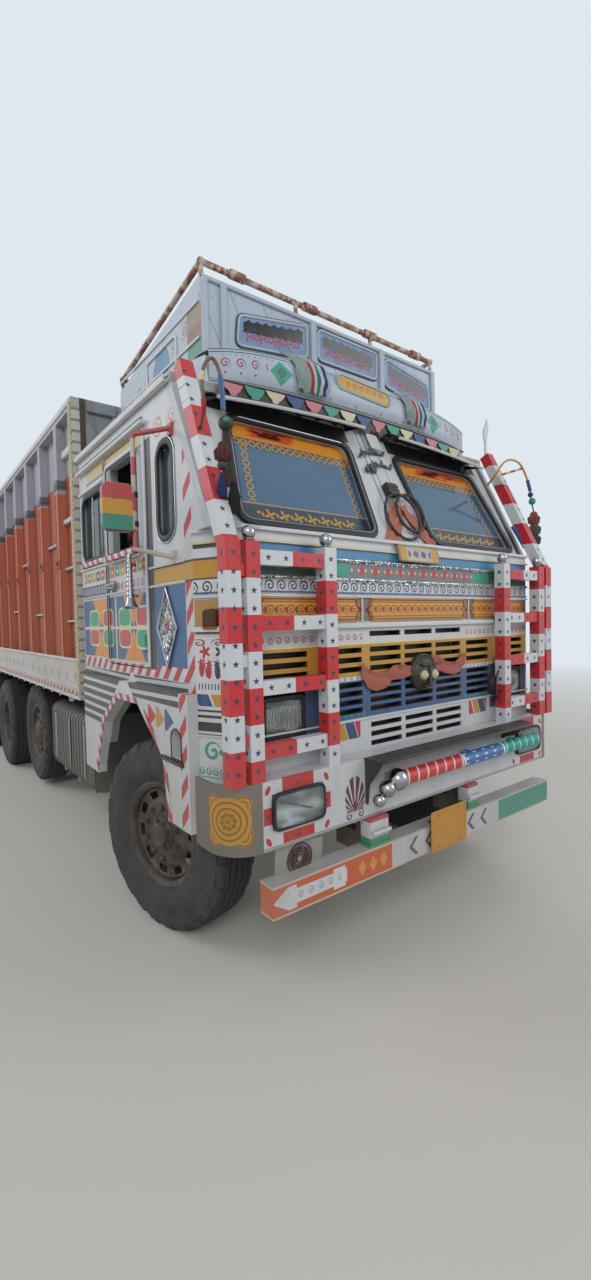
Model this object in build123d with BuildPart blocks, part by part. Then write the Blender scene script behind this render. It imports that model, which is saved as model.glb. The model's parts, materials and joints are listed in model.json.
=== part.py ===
from build123d import *
import os
from math import cos, radians, sin

os.makedirs("parts", exist_ok=True)

# A tall-sided goods truck with a coach-built, painted and decorated cab, in millimetres.
# The front of the truck faces -Y, its right-hand (driver's) side is -X, and +Z is up.
# The origin is on the ground under the middle of the whole truck.

# Overall places along the truck
cab_front = -4247  # the flat lower face of the cab
cab_depth = 1880
load_gap = 60  # between the cab's rear wall and the load body
load_length = 6760

# Widths, each from the centre line to the outer face
cab_half = 1200
skirt_half = 1250
load_half = 1220
corner_run = 110  # how far the cab's front corners cut in from its side
corner_depth = 230  # and how far they reach back

# Heights above the ground
rail_bottom = 720
rail_top = 970
cab_base = 935
cab_floor_top = 1400
sill_top = 2050  # foot of the windscreen frame
cab_top = 2750
roof_thick = 45
crown_top = 3430
load_base = 1145
load_floor_top = 1300
load_top = 3220

# Wall thicknesses
cab_wall = 50
front_wall = 60
crown_wall = 30
load_wall = 35
stake_depth = 60
stake_width = 80

# Wheels and tyres
tyre_radius = 515
tyre_width = 270
bead_radius = 258
rim_flange_radius = 285
seat_gap = 0.3
bore_clearance = 0.08
front_axle_at = 930  # behind the cab's front face
lift_axle_at = 4220
mid_axle_at = 5380
tandem_spacing = 1370
kingpin_half = 875
wheel_offset = 150  # from the kingpin to the middle of the front tyre
lift_wheel_half = 955
dual_half = 905  # middle of the twin wheels
twin_gap = 50  # between the twin tyres
lift_height = 50  # the lift axle is carried just clear of the road
steer_at_rest = 13.5  # degrees to the truck's left

# Chassis
rail_outer = 430
rail_width = 75
rail_web = 10
spring_width = 76
beam_depth = 70
engine_side_gap = 55  # from the engine to each rail's flange

# Cab openings
door_front = 765
door_rear = 1330
door_bottom = 1430
door_top = 2640
door_gap = 6
door_window_bottom = 2060
door_window_top = 2560
quarter_window = (400, 575, 2060, 2500)  # behind the cab's face from and to, height from and to
bunk_window = (1395, 1810, 2080, 2490)
rear_window = (450, 2080, 2450)  # half width, height from and to
sill_setback = 60  # foot of the windscreen frame behind the cab's face
header_setback = 400  # and its head
arch_points = [
    # behind the cab's face, height
    (449, 700),
    (449, 785),
    (498, 1033),
    (797, 1250),
    (1100, 1250),
    (1365, 1079),
    (1495, 792),
    (1495, 700),
]
step_hole_middle = 345  # arched foothold ahead of the wheel
step_hole_radius = 50
step_hole_bottom = 1055
step_hole_top = 1185
skirt_front = 225
skirt_rear = 1760
skirt_top = 1350
skirt_bottom = 745

# Bumper, guards and lower bar
bumper_bottom = 730
bumper_top = 1015
bumper_front = -100  # ahead of the cab's face
bumper_half = 1090
bumper_depth = 90
plate = 12
guard_tube = 65
guard_top = 1975
lower_bar_bottom = 465
lower_bar_top = 600
lower_bar_half = 1080

# Tailgate and hinges
gate_height = 1050
gate_thick = 45
front_board = 50
gate_gap = 8
gate_bottom = 1175
gate_barrel = 15
gate_hinges = (-800, 0, 800)
hinge_pin = 6
door_barrel = 10
door_hinges = (1560, 1960)  # heights of the doors' hinges
post_width = 90
barrel_half = 30  # half the length of each door hinge's middle barrel
hinge_reach = 45
leaf_width = 40
leaf_plate = 4

# Places that follow from the sizes above
cab_rear = cab_front + cab_depth
load_front = cab_rear + load_gap
load_rear = load_front + load_length
deck_front = load_front + front_board
deck_rear = load_rear - gate_thick - 15
front_axle = cab_front + front_axle_at
lift_axle = cab_front + lift_axle_at
mid_axle = cab_front + mid_axle_at
rear_axle = mid_axle + tandem_spacing
bogie_middle = (mid_axle + rear_axle) / 2
dual_pitch = tyre_width + twin_gap


def block(x, y, z, mode=Mode.ADD):
    """A box between the given low and high values on each axis."""
    with Locations(((x[0] + x[1]) / 2, (y[0] + y[1]) / 2, (z[0] + z[1]) / 2)):
        Box(x[1] - x[0], y[1] - y[0], z[1] - z[0], mode=mode)


def prism_x(points, x0, x1, mode=Mode.ADD):
    """A (y, z) outline pushed from x0 to x1."""
    with BuildSketch(Plane.YZ.offset(x0)) as outline:
        with BuildLine():
            Polyline(*points, close=True)
        make_face()
    extrude(outline.sketch, amount=x1 - x0, mode=mode)


def prism_y(points, y0, y1, mode=Mode.ADD):
    """An (x, z) outline pushed from y0 to y1."""
    with BuildSketch(Plane.XZ.offset(-y0)) as outline:
        with BuildLine():
            Polyline(*points, close=True)
        make_face()
    extrude(outline.sketch, amount=-(y1 - y0), mode=mode)


def prism_z(points, z0, z1, mode=Mode.ADD):
    """An (x, y) outline pushed from z0 to z1."""
    with BuildSketch(Plane.XY.offset(z0)) as outline:
        with BuildLine():
            Polyline(*points, close=True)
        make_face()
    extrude(outline.sketch, amount=z1 - z0, mode=mode)


def rod(start, end, radius, mode=Mode.ADD):
    """A round bar from one point to another."""
    along = Vector(*end) - Vector(*start)
    with Locations(Plane(origin=start, z_dir=along).location):
        Cylinder(radius, along.length, align=(Align.CENTER, Align.CENTER, Align.MIN), mode=mode)


def square_bar(start, end, width, mode=Mode.ADD):
    """A square bar from one point to another, with two faces kept across the truck."""
    along = Vector(*end) - Vector(*start)
    with BuildSketch(Plane(origin=start, x_dir=(1, 0, 0), z_dir=along)) as section:
        Rectangle(width, width)
    extrude(section.sketch, amount=along.length, mode=mode)


def finish(builder, label):
    builder.part.label = label
    export_step(builder.part, f"parts/{label}.step")


# Chassis rails: two channels with spring brackets, the bumper's arms and the tow eyes
rail_front = cab_front + 150
rail_rear = load_rear - 120
tow_bore = 20
tow_lug_height = 115
tow_lug_back = 60
lower_arm = 100
lower_bar_rear = cab_front - 50
front_spring_half = 650
front_bracket = 70
front_bracket_foot = 660
rear_bracket_foot = 690
rear_bracket_half = 130
arm_width = 60
arm_back = 60
arm_low = 170  # the bumper's arms below the rail's top
arm_high = 50
with BuildPart() as chassis_rails:
    for side in (-1, 1):
        x_web = sorted((side * rail_outer, side * (rail_outer - rail_web)))
        x_flange = sorted((side * rail_outer, side * (rail_outer - rail_width)))
        block(x_web, (rail_front, rail_rear), (rail_bottom, rail_top))
        block(x_flange, (rail_front, rail_rear), (rail_bottom, rail_bottom + rail_web))
        block(x_flange, (rail_front, rail_rear), (rail_top - rail_web, rail_top))
        for end in (-1, 1):
            y_eye = front_axle + end * front_spring_half
            along = (y_eye - front_bracket / 2, y_eye + front_bracket / 2)
            block(x_flange, along, (front_bracket_foot, rail_bottom))
        rear_bracket = (bogie_middle - rear_bracket_half, bogie_middle + rear_bracket_half)
        block(x_flange, rear_bracket, (rear_bracket_foot, rail_bottom))
        arm = sorted((side * rail_outer, side * (rail_outer - arm_width)))
        upper = (cab_front + bumper_front + plate, rail_front)
        block(arm, upper, (rail_top - arm_low, rail_top - arm_high))
        block(arm, (rail_front, rail_front + arm_back), (lower_bar_top - lower_arm, rail_bottom))
        block(arm, (lower_bar_rear, rail_front + arm_back), (lower_bar_top - lower_arm, lower_bar_top))
        lug = (lower_bar_rear, cab_front + tow_lug_back)
        block(arm, lug, (lower_bar_top, lower_bar_top + tow_lug_height))
        eye_z = lower_bar_top + tow_lug_height / 2
        rod((arm[0], cab_front, eye_z), (arm[1], cab_front, eye_z), tow_bore, Mode.SUBTRACT)
finish(chassis_rails, "chassis_rails")

# Cross members between the rails, the last of them with the tow jaw
jaw_half = 70
jaw_bottom = 785
jaw_top = 925
jaw_mouth = (830, 880)
jaw_front = load_rear - 200
jaw_rear = load_rear - 35
jaw_bore_y = load_rear - 85
jaw_ear = 50  # from the bore to the front of the jaw's mouth
cross_half = 60
cross_bottom = 780
cross_top = 930
cross_places = [
    # distance behind the cab's face, half length along the truck
    (200, 50),
    (1900, cross_half),
    (2950, cross_half),
    (3800, cross_half),
    (4750, cross_half),
    (7300, cross_half),
    (jaw_front - cross_half - cab_front, cross_half),
]
with BuildPart() as cross_members:
    for distance, half in cross_places:
        y = cab_front + distance
        inside = rail_outer - rail_web
        block((-inside, inside), (y - half, y + half), (cross_bottom, cross_top))
    block((-jaw_half, jaw_half), (jaw_front, jaw_rear), (jaw_bottom, jaw_top))
    block((-jaw_half, jaw_half), (jaw_bore_y - jaw_ear, jaw_rear), jaw_mouth, Mode.SUBTRACT)
    rod((0, jaw_bore_y, jaw_bottom), (0, jaw_bore_y, jaw_top), tow_bore, Mode.SUBTRACT)
finish(cross_members, "cross_members")

# Front axle: a dropped beam with an eye at each end for the kingpins
beam_bottom = 410
beam_top = 500
eye_radius = 50
eye_half = 70
kingpin_radius = 22
beam_end_half = 50
arm_in = 560
with BuildPart() as front_axle_beam:
    arm_out = kingpin_half - eye_radius / 2
    outline = [
        (-arm_out, tyre_radius - beam_end_half),
        (-arm_in, beam_bottom),
        (arm_in, beam_bottom),
        (arm_out, tyre_radius - beam_end_half),
        (arm_out, tyre_radius + beam_end_half),
        (arm_in, beam_top),
        (-arm_in, beam_top),
        (-arm_out, tyre_radius + beam_end_half),
    ]
    prism_y(outline, front_axle - beam_depth / 2, front_axle + beam_depth / 2)
    for side in (-1, 1):
        foot = (side * kingpin_half, front_axle, tyre_radius - eye_half)
        head = (side * kingpin_half, front_axle, tyre_radius + eye_half)
        rod(foot, head, eye_radius)
    for side in (-1, 1):
        foot = (side * kingpin_half, front_axle, tyre_radius - eye_half)
        head = (side * kingpin_half, front_axle, tyre_radius + eye_half)
        rod(foot, head, kingpin_radius + bore_clearance, Mode.SUBTRACT)
finish(front_axle_beam, "front_axle")

# Leaf springs: two under the front and one each side over the rear pair of axles
casing_radius = 60
leaf_thick = 35
pack_height = 110
pack_low = tyre_radius + casing_radius + seat_gap
with BuildPart() as leaf_springs:
    for side in (-1, 1):
        x0, x1 = sorted((side * rail_outer, side * (rail_outer - spring_width)))
        tip = front_spring_half + 30
        front_pack = [
            (front_axle - tip, front_bracket_foot - leaf_thick),
            (front_axle - 260, beam_top + 10),
            (front_axle - 120, beam_top),
            (front_axle + 120, beam_top),
            (front_axle + 260, beam_top + 10),
            (front_axle + tip, front_bracket_foot - leaf_thick),
            (front_axle + tip, front_bracket_foot),
            (front_axle, beam_top + pack_height),
            (front_axle - tip, front_bracket_foot),
        ]
        prism_x(front_pack, x0, x1)
        reach = tandem_spacing / 2 + 60
        rear_pack = [
            (bogie_middle - reach, pack_low),
            (bogie_middle - reach + 130, pack_low),
            (bogie_middle - 160, pack_low - 25),
            (bogie_middle + 160, pack_low - 25),
            (bogie_middle + reach - 130, pack_low),
            (bogie_middle + reach, pack_low),
            (bogie_middle + reach, pack_low + 30),
            (bogie_middle + 150, rear_bracket_foot),
            (bogie_middle - 150, rear_bracket_foot),
            (bogie_middle - reach, pack_low + 30),
        ]
        prism_x(rear_pack, x0, x1)
finish(leaf_springs, "leaf_springs")

# Rear axles: a casing with a round gear housing on each of the tandem pair
dual_spindle_radius = 45
pinion_z = tyre_radius + 20
pinion_reach = 260
housing_radius = 175
nose_radius = 70
shaft_flange = housing_radius + 10
dual_inner = dual_half - 180
dual_tip = dual_half + 150
with BuildPart() as rear_axles:
    for y in (mid_axle, rear_axle):
        rod((-dual_inner, y, tyre_radius), (dual_inner, y, tyre_radius), casing_radius)
        rod((-dual_tip, y, tyre_radius), (dual_tip, y, tyre_radius), dual_spindle_radius)
        with Locations((0, y, tyre_radius)):
            Sphere(housing_radius)
        rod((0, y - pinion_reach, pinion_z), (0, y + shaft_flange, pinion_z), nose_radius)
finish(rear_axles, "rear_axles")

# Lift axle: a cranked tube, two air bags under the rails and its spindles
lift_z = tyre_radius + lift_height
spindle_radius = 35
lift_tube = 55
air_bag = 80
lift_inner = lift_wheel_half - 92
lift_tip = lift_wheel_half + 75
trailing_arm = 650
drop = 160
bend_out, bend_in = 330, 220
with BuildPart() as lift_axle_tube:
    rod((-bend_in, lift_axle, lift_z - drop), (bend_in, lift_axle, lift_z - drop), lift_tube)
    for side in (-1, 1):
        high = (side * bend_out, lift_axle, lift_z)
        low = (side * bend_in, lift_axle, lift_z - drop)
        rod(low, high, lift_tube)
        for point in (low, high):
            with Locations(point):
                Sphere(lift_tube)
        rod(high, (side * lift_inner, lift_axle, lift_z), lift_tube)
        rod(high, (side * lift_tip, lift_axle, lift_z), spindle_radius)
        bag = side * (rail_outer - rail_width / 2)
        rod((bag, lift_axle, lift_z), (bag, lift_axle, rail_bottom), air_bag)
        arm = sorted((side * (rail_outer - 60), side * (rail_outer - 15)))
        block(arm, (lift_axle - trailing_arm + 30, lift_axle), (lift_z - 30, lift_z + 30))
        block(arm, (lift_axle - trailing_arm, lift_axle - trailing_arm + 70), (lift_z - 30, rail_bottom))
finish(lift_axle_tube, "lift_axle")

# Engine with its gearbox, as one plain block each side of the bell housing
engine_half = rail_outer - rail_width - engine_side_gap
engine_front = cab_front + 480
bell_front = cab_front + 1500
gearbox_front = cab_front + 1830
gearbox_half = 190
gearbox_rear = cab_front + 2300
with BuildPart() as engine_block:
    block((-engine_half, engine_half), (engine_front, bell_front), (560, 1330))
    block((-gearbox_half, gearbox_half), (bell_front, gearbox_front), (680, 1120))
    block((-gearbox_half, gearbox_half), (gearbox_front, gearbox_rear), (640, 775))
    for side in (-1, 1):
        x = sorted((side * engine_half, side * (rail_outer - rail_web)))
        for y in (engine_front + 140, bell_front - 100):
            block(x, (y - 40, y + 40), (rail_bottom + 30, rail_bottom + 110))
finish(engine_block, "engine_block")

# Propeller shafts, from the gearbox to the first driven axle and from there to the second
shafts = [
    # front end's y and z, rear end's y and z, radius
    (gearbox_rear, 700, mid_axle - pinion_reach, pinion_z, 50),
    (mid_axle + shaft_flange, pinion_z, rear_axle - pinion_reach, pinion_z, 40),
]
with BuildPart() as propeller_shaft:
    for y0, z0, y1, z1, radius in shafts:
        rod((0, y0 + 20, z0), (0, y1 - 20, z1), radius)
        rod((0, y0, z0), (0, y0 + 40, z0), radius + 15)
        rod((0, y1 - 40, z1), (0, y1, z1), radius + 15)
finish(propeller_shaft, "propeller_shaft")

# Fuel tank on the right, air tanks on the left, each hung from the rail by brackets
tank_from = cab_front + 2050
tank_to = cab_front + 3250
tank_middle = (-825, 715)
tank_section = (600, 560)
tank_corner = 90
tank_bracket = 200  # from each end
with BuildPart() as fuel_tank:
    with BuildSketch(Plane.XZ.offset(-tank_from)):
        with Locations(tank_middle):
            RectangleRounded(*tank_section, tank_corner)
    extrude(amount=-(tank_to - tank_from))
    tank_near = tank_middle[0] + tank_section[0] / 2
    for y in (tank_from + tank_bracket, tank_to - tank_bracket):
        block((tank_near - 35, -rail_outer), (y - 30, y + 30), (760, 940))
finish(fuel_tank, "fuel_tank")

air_tank_x = 700
air_tank_z = 790
air_tank_radius = 150
air_tank_length = 560
air_tank_pitch = 650
with BuildPart() as air_tanks:
    for low in (tank_from, tank_from + air_tank_pitch):
        high = low + air_tank_length
        rod((air_tank_x, low, air_tank_z), (air_tank_x, high, air_tank_z), air_tank_radius)
        block((rail_outer, air_tank_x - 80), ((low + high) / 2 - 30, (low + high) / 2 + 30), (760, 900))
finish(air_tanks, "air_tanks")

# Cab floor with the engine hump over it
hump_half = 380
hump_top = 1640
hump_wall = 30
hump_rear = cab_front + 1560
floor_thick = 40
mount_width = 70
mount_half = 50
floor_half = cab_half - cab_wall
floor_front = cab_front + front_wall
with BuildPart() as cab_floor:
    corner = cab_front + corner_depth
    inset = cab_half - corner_run - 10
    plan = [
        (-floor_half, corner),
        (-inset + cab_wall, floor_front),
        (inset - cab_wall, floor_front),
        (floor_half, corner),
        (floor_half, cab_rear - cab_wall),
        (-floor_half, cab_rear - cab_wall),
    ]
    prism_z(plan, cab_floor_top - floor_thick, cab_floor_top)
    block((-hump_half, hump_half), (floor_front, hump_rear), (cab_floor_top, hump_top))
    inner = hump_half - hump_wall
    under = (cab_floor_top - floor_thick, hump_top - hump_wall)
    block((-inner, inner), (floor_front, hump_rear - hump_wall), under, Mode.SUBTRACT)
    for side in (-1, 1):
        x = sorted((side * (rail_outer - mount_width), side * rail_outer))
        for distance in (450, 1750):
            y = cab_front + distance
            block(x, (y - mount_half, y + mount_half), (rail_top, cab_floor_top - floor_thick))
finish(cab_floor, "cab_floor")

# Cab front panel: flat face, cut-back corners, grille slots and headlamp recesses
front_half = cab_half - corner_run
grille_half = 385
lamp_middle = 900
lamp_width = 235
lamp_height = 250
lamp_z = 1235
slot_height = 26
slot_gap = 14
cowl_thick = 25
cowl_depth = 55
recess_back = 12  # left behind each headlamp
grille_rows = [
    # height of the first slot, number of slots, rise from one to the next, groups that it crosses
    (985, 4, 46, ("centre",)),
    (1205, 4, 42, ("centre", "inner")),
    (1405, 3, 46, ("centre", "inner", "outer")),
    (1575, 1, 46, ("centre",)),
]
slot_groups = {
    # nearest to and furthest from the centre line, number of columns
    "centre": (0, grille_half, 3),
    "inner": (425, 655, 1),
    "outer": (765, 1035, 1),
}
with BuildPart() as cab_front_panel:
    outer = [
        (-cab_half, cab_front + corner_depth),
        (-front_half, cab_front),
        (front_half, cab_front),
        (cab_half, cab_front + corner_depth),
        (cab_half - cab_wall, cab_front + corner_depth),
        (front_half - cab_wall + 20, cab_front + front_wall),
        (-front_half + cab_wall - 20, cab_front + front_wall),
        (-cab_half + cab_wall, cab_front + corner_depth),
    ]
    prism_z(outer, cab_base, sill_top)
    block(
        (-front_half + cab_wall, front_half - cab_wall),
        (cab_front + front_wall, cab_front + sill_setback + cowl_depth),
        (sill_top - cowl_thick, sill_top),
    )
    through = (cab_front - 5, cab_front + front_wall + 5)
    for first, count, rise, groups in grille_rows:
        for group in groups:
            near, far, columns = slot_groups[group]
            if near:
                spans = [(near, far), (-far, -near)]
            else:
                column = 2 * far / columns
                middles = [(i - (columns - 1) / 2) * column for i in range(columns)]
                spans = [(x - column / 2 + slot_gap, x + column / 2 - slot_gap) for x in middles]
            for row in range(count):
                z = first + row * rise
                for span in spans:
                    block(span, through, (z, z + slot_height), Mode.SUBTRACT)
    for side in (-1, 1):
        x = side * lamp_middle
        block(
            (x - lamp_width / 2, x + lamp_width / 2),
            (cab_front - 5, cab_front + front_wall - recess_back),
            (lamp_z - lamp_height / 2, lamp_z + lamp_height / 2),
            Mode.SUBTRACT,
        )
finish(cab_front_panel, "cab_front_panel")

# Windscreen frame: a leaning panel with two openings, and the two panes set in them
lean_run = header_setback - sill_setback
lean_rise = cab_top - sill_top
lean_length = (lean_run**2 + lean_rise**2) ** 0.5
lean_out = Vector(0, -lean_rise, lean_run).normalized()
screen_plane = Plane(
    origin=(0, cab_front + sill_setback, sill_top), x_dir=(1, 0, 0), z_dir=tuple(lean_out)
)
pane_thick = 8
pane_depth = 20  # behind the frame's face
pane_corner = 70
pane_low, pane_high = 40, 640  # up the leaning frame
pane_inner = (235, 190)  # from the centre line, at the foot and at the head
pane_outer = (1050, 960)


def pane_corners(side, grow):
    """The outline of one windscreen opening on the leaning plane, grown by a margin."""
    low, high = pane_low - grow, pane_high + grow
    corners = [
        (pane_inner[0] - grow, low),
        (pane_outer[0] + grow, low),
        (pane_outer[1] + grow, high),
        (pane_inner[1] - grow, high),
    ]
    return [(side * x, y) for x, y in corners]


with BuildPart() as windscreen_frame:
    with BuildSketch(screen_plane):
        with Locations((0, lean_length / 2)):
            Rectangle(2 * cab_half, lean_length + 2 * cab_wall)
        for side in (-1, 1):
            with BuildSketch(mode=Mode.SUBTRACT):
                with BuildLine():
                    Polyline(*pane_corners(side, 0), close=True)
                opening = make_face()
                fillet(opening.vertices(), pane_corner)
    extrude(amount=-cab_wall)
    across = (-cab_half - 5, cab_half + 5)
    along = (cab_front - 100, cab_front + header_setback + 200)
    block(across, along, (sill_top - 200, sill_top), Mode.SUBTRACT)
    block(across, along, (cab_top, cab_top + 200), Mode.SUBTRACT)
finish(windscreen_frame, "windscreen_frame")

with BuildPart() as windscreens:
    for side in (-1, 1):
        with BuildSketch(screen_plane.offset(-pane_depth)):
            with BuildLine():
                Polyline(*pane_corners(side, -seat_gap), close=True)
            pane = make_face()
            fillet(pane.vertices(), pane_corner - seat_gap)
        extrude(amount=-pane_thick)
finish(windscreens, "windscreens")

# Cab sides: one wall each, with the doorway, two windows, and the flared skirt round the wheel
header_front = cab_front + header_setback
hinge_half = cab_half + door_barrel
hinge_y = cab_front + door_front + door_gap / 2
side_cuts = [
    # front and rear behind the cab's face, bottom, top
    (door_front, door_rear, door_bottom, door_top),
    quarter_window,
    bunk_window,
]
for side, label in ((-1, "cab_side_right"), (1, "cab_side_left")):
    with BuildPart() as cab_side:
        x_out = side * cab_half
        x_in = side * (cab_half - cab_wall)
        wall = sorted((x_out, x_in))
        step = cab_wall * lean_length / lean_rise + seat_gap  # room for the leaning frame's edge
        outline = [
            (cab_front + corner_depth, cab_base),
            (cab_rear, cab_base),
            (cab_rear, cab_top),
            (header_front + step, cab_top),
            (cab_front + sill_setback + step, sill_top),
            (cab_front + corner_depth, sill_top),
        ]
        prism_x(outline, wall[0], wall[1])
        skirt = sorted((x_out, side * skirt_half))
        block(skirt, (cab_front + skirt_front, cab_front + skirt_rear), (skirt_bottom, skirt_top))
        cut = sorted((side * (skirt_half + 5), side * (cab_half - cab_wall - 5)))
        arch = [(cab_front + y, z) for y, z in arch_points]
        prism_x(arch, cut[0], cut[1], Mode.SUBTRACT)
        head = (cab_front + step_hole_middle, step_hole_top - step_hole_radius)
        hole_y = (head[0] - step_hole_radius, head[0] + step_hole_radius)
        block(cut, hole_y, (step_hole_bottom, head[1]), Mode.SUBTRACT)
        rod((cut[0], *head), (cut[1], *head), step_hole_radius, Mode.SUBTRACT)
        for y0, y1, z0, z1 in side_cuts:
            block(cut, (cab_front + y0, cab_front + y1), (z0, z1), Mode.SUBTRACT)
        for z in door_hinges:
            x = side * hinge_half
            leaf = sorted((x_out, side * (cab_half + leaf_plate)))
            near, far = barrel_half + seat_gap, hinge_reach
            for low, high in ((z - far, z - near), (z + near, z + far)):
                rod((x, hinge_y, low), (x, hinge_y, high), door_barrel)
                block(leaf, (hinge_y - leaf_width, hinge_y), (low, high))
            rod((x, hinge_y, z - hinge_reach), (x, hinge_y, z + hinge_reach), hinge_pin)
    finish(cab_side, label)

# Doors, hinged at their front edges, with the glass wound down
door_wall = 45
door_rail = 70  # each side of the window
for side, label in ((-1, "door_right"), (1, "door_left")):
    with BuildPart() as door:
        wall = sorted((side * cab_half, side * (cab_half - door_wall)))
        y0 = cab_front + door_front + door_gap
        y1 = cab_front + door_rear - door_gap
        block(wall, (y0, y1), (door_bottom + door_gap, door_top - door_gap))
        block(wall, (y0 + door_rail, y1 - door_rail), (door_window_bottom, door_window_top), Mode.SUBTRACT)
        for z in door_hinges:
            x = side * hinge_half
            rod((x, hinge_y, z - barrel_half), (x, hinge_y, z + barrel_half), door_barrel)
            leaf = sorted((side * cab_half, side * (cab_half + leaf_plate)))
            block(leaf, (hinge_y, hinge_y + leaf_width), (z - barrel_half, z + barrel_half))
            hole = hinge_pin + bore_clearance
            rod((x, hinge_y, z - barrel_half - 1), (x, hinge_y, z + barrel_half + 1), hole, Mode.SUBTRACT)
    finish(door, label)

# Cab rear wall with its window, and the roof
with BuildPart() as cab_rear_wall:
    wall = (cab_rear - cab_wall, cab_rear)
    block((-floor_half, floor_half), wall, (cab_floor_top - floor_thick, cab_top))
    half, low, high = rear_window
    block((-half, half), wall, (low, high), Mode.SUBTRACT)
finish(cab_rear_wall, "cab_rear_wall")

with BuildPart() as cab_roof:
    block((-cab_half, cab_half), (header_front, cab_rear), (cab_top, cab_top + roof_thick))
finish(cab_roof, "cab_roof")

# Crown: a hollow board box on the roof, with a bulged band under its upright front
crown_half = 930
crown_front = cab_front + 600
crown_rear = cab_front + 1790
crown_slope = 170  # fall of its top from front to rear
bulge_top = 2975
bulge_half = 1000
bulge_back = 200
roof_top = cab_top + roof_thick
with BuildPart() as crown_box:
    bulge = [
        (header_front + 10, roof_top),
        (cab_front + 430, 2870),
        (cab_front + 440, bulge_top - 35),
        (crown_front, bulge_top),
        (crown_front + bulge_back, bulge_top),
        (crown_front + bulge_back, roof_top),
    ]
    prism_x(bulge, -bulge_half, bulge_half)
    hollow = [
        (header_front + 50, roof_top),
        (cab_front + 470, 2870),
        (cab_front + 480, bulge_top - 65),
        (crown_front, bulge_top - 35),
        (crown_front + bulge_back + 5, bulge_top - 35),
        (crown_front + bulge_back + 5, roof_top),
    ]
    prism_x(hollow, -bulge_half + crown_wall, bulge_half - crown_wall, Mode.SUBTRACT)
    block((-crown_half, crown_half), (crown_front, crown_front + crown_wall), (bulge_top - 5, crown_top))
    side_board = [
        (crown_front, bulge_top - 5),
        (crown_front + bulge_back, roof_top),
        (crown_rear, roof_top),
        (crown_rear, crown_top - crown_slope),
        (crown_front, crown_top),
    ]
    for side in (-1, 1):
        x0, x1 = sorted((side * crown_half, side * (crown_half - crown_wall)))
        prism_x(side_board, x0, x1)
    inner = crown_half - crown_wall
    block((-inner, inner), (crown_rear - crown_wall, crown_rear), (roof_top, crown_top - crown_slope))
finish(crown_box, "crown_box")

# Sun visor over both panes
visor_half = 1050
visor_lip = (cab_front + 240, 2700)
visor_thick = 16
visor_root = header_front - 6
with BuildPart() as sun_visor:
    visor = [
        (visor_root, roof_top + 35),
        visor_lip,
        (visor_lip[0], visor_lip[1] - visor_thick),
        (visor_root, roof_top + 17),
    ]
    prism_x(visor, -visor_half, visor_half)
    block((-visor_half, visor_half), (visor_root, visor_root + 15), (roof_top, roof_top + 60))
finish(sun_visor, "sun_visor")

# Pipe rack round the top of the crown
pipe_radius = 16
corner_radius = 21
post_radius = 12
rack_rise = 75
rack_fall = 165
rack_inset = crown_wall / 2
with BuildPart() as roof_rack:
    front_y = crown_front + rack_inset
    rear_y = crown_rear - rack_inset
    front_z = crown_top + rack_rise
    rear_z = front_z - rack_fall
    rack_x = crown_half - rack_inset
    rod((-rack_x, front_y, front_z), (rack_x, front_y, front_z), pipe_radius)
    rod((-rack_x, rear_y, rear_z), (rack_x, rear_y, rear_z), pipe_radius)
    for x in (-rack_x, rack_x):
        rod((x, front_y, front_z), (x, rear_y, rear_z), pipe_radius)
        for y, z in ((front_y, front_z), (rear_y, rear_z)):
            board = crown_top - crown_slope * (y - rack_inset - crown_front) / (crown_rear - crown_front)
            rod((x, y, board + seat_gap), (x, y, z), post_radius)
            with Locations((x, y, z)):
                Sphere(corner_radius)
    for x in (-rack_x / 3, rack_x / 3):
        rod((x, front_y, crown_top + seat_gap), (x, front_y, front_z), post_radius)
finish(roof_rack, "roof_rack")

# Seats, dashboard and steering wheel
seat_front = cab_front + 950
seat_near, seat_far = 470, 1080
seat_depth = 520
cushion_top = 1790
back_thick = 130
back_top = 2330
bench_top = 1850
bench_depth = 320
with BuildPart() as seats:
    back_rear = seat_front + seat_depth + 30
    for x in ((-seat_far, -seat_near), (seat_near, seat_far)):
        block(x, (seat_front, seat_front + seat_depth), (cab_floor_top, cushion_top))
        block(x, (back_rear - back_thick, back_rear), (cushion_top, back_top))
    bench = (cab_rear - bench_depth, cab_rear - cab_wall)
    block((-seat_far - 20, seat_far + 20), bench, (cab_floor_top, bench_top))
finish(seats, "seats")

with BuildPart() as dashboard:
    dash = [
        (cab_front + front_wall, 1800),
        (cab_front + 330, 1800),
        (cab_front + 360, 1960),
        (cab_front + 200, sill_top - cowl_thick - seat_gap),
        (cab_front + front_wall, sill_top - cowl_thick - seat_gap),
    ]
    prism_x(dash, -front_half + 60, front_half - 60)
finish(dashboard, "dashboard")

wheel_middle = Vector(-720, cab_front + 690, 2010)
column_foot = Vector(-720, cab_front + 480, cab_floor_top + 8)
grip_radius = 235
grip_width = 27
with BuildPart() as steering_wheel:
    column = (wheel_middle - column_foot).normalized()
    with BuildSketch(Plane(origin=tuple(wheel_middle), x_dir=(1, 0, 0), z_dir=tuple(column))):
        Circle(grip_radius)
        Circle(grip_radius - grip_width, mode=Mode.SUBTRACT)
        Rectangle(2 * grip_radius - 40, 40)
        Circle(50)
    extrude(amount=24)
    rod(tuple(column_foot), tuple(wheel_middle), 24)
finish(steering_wheel, "steering_wheel")

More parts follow.
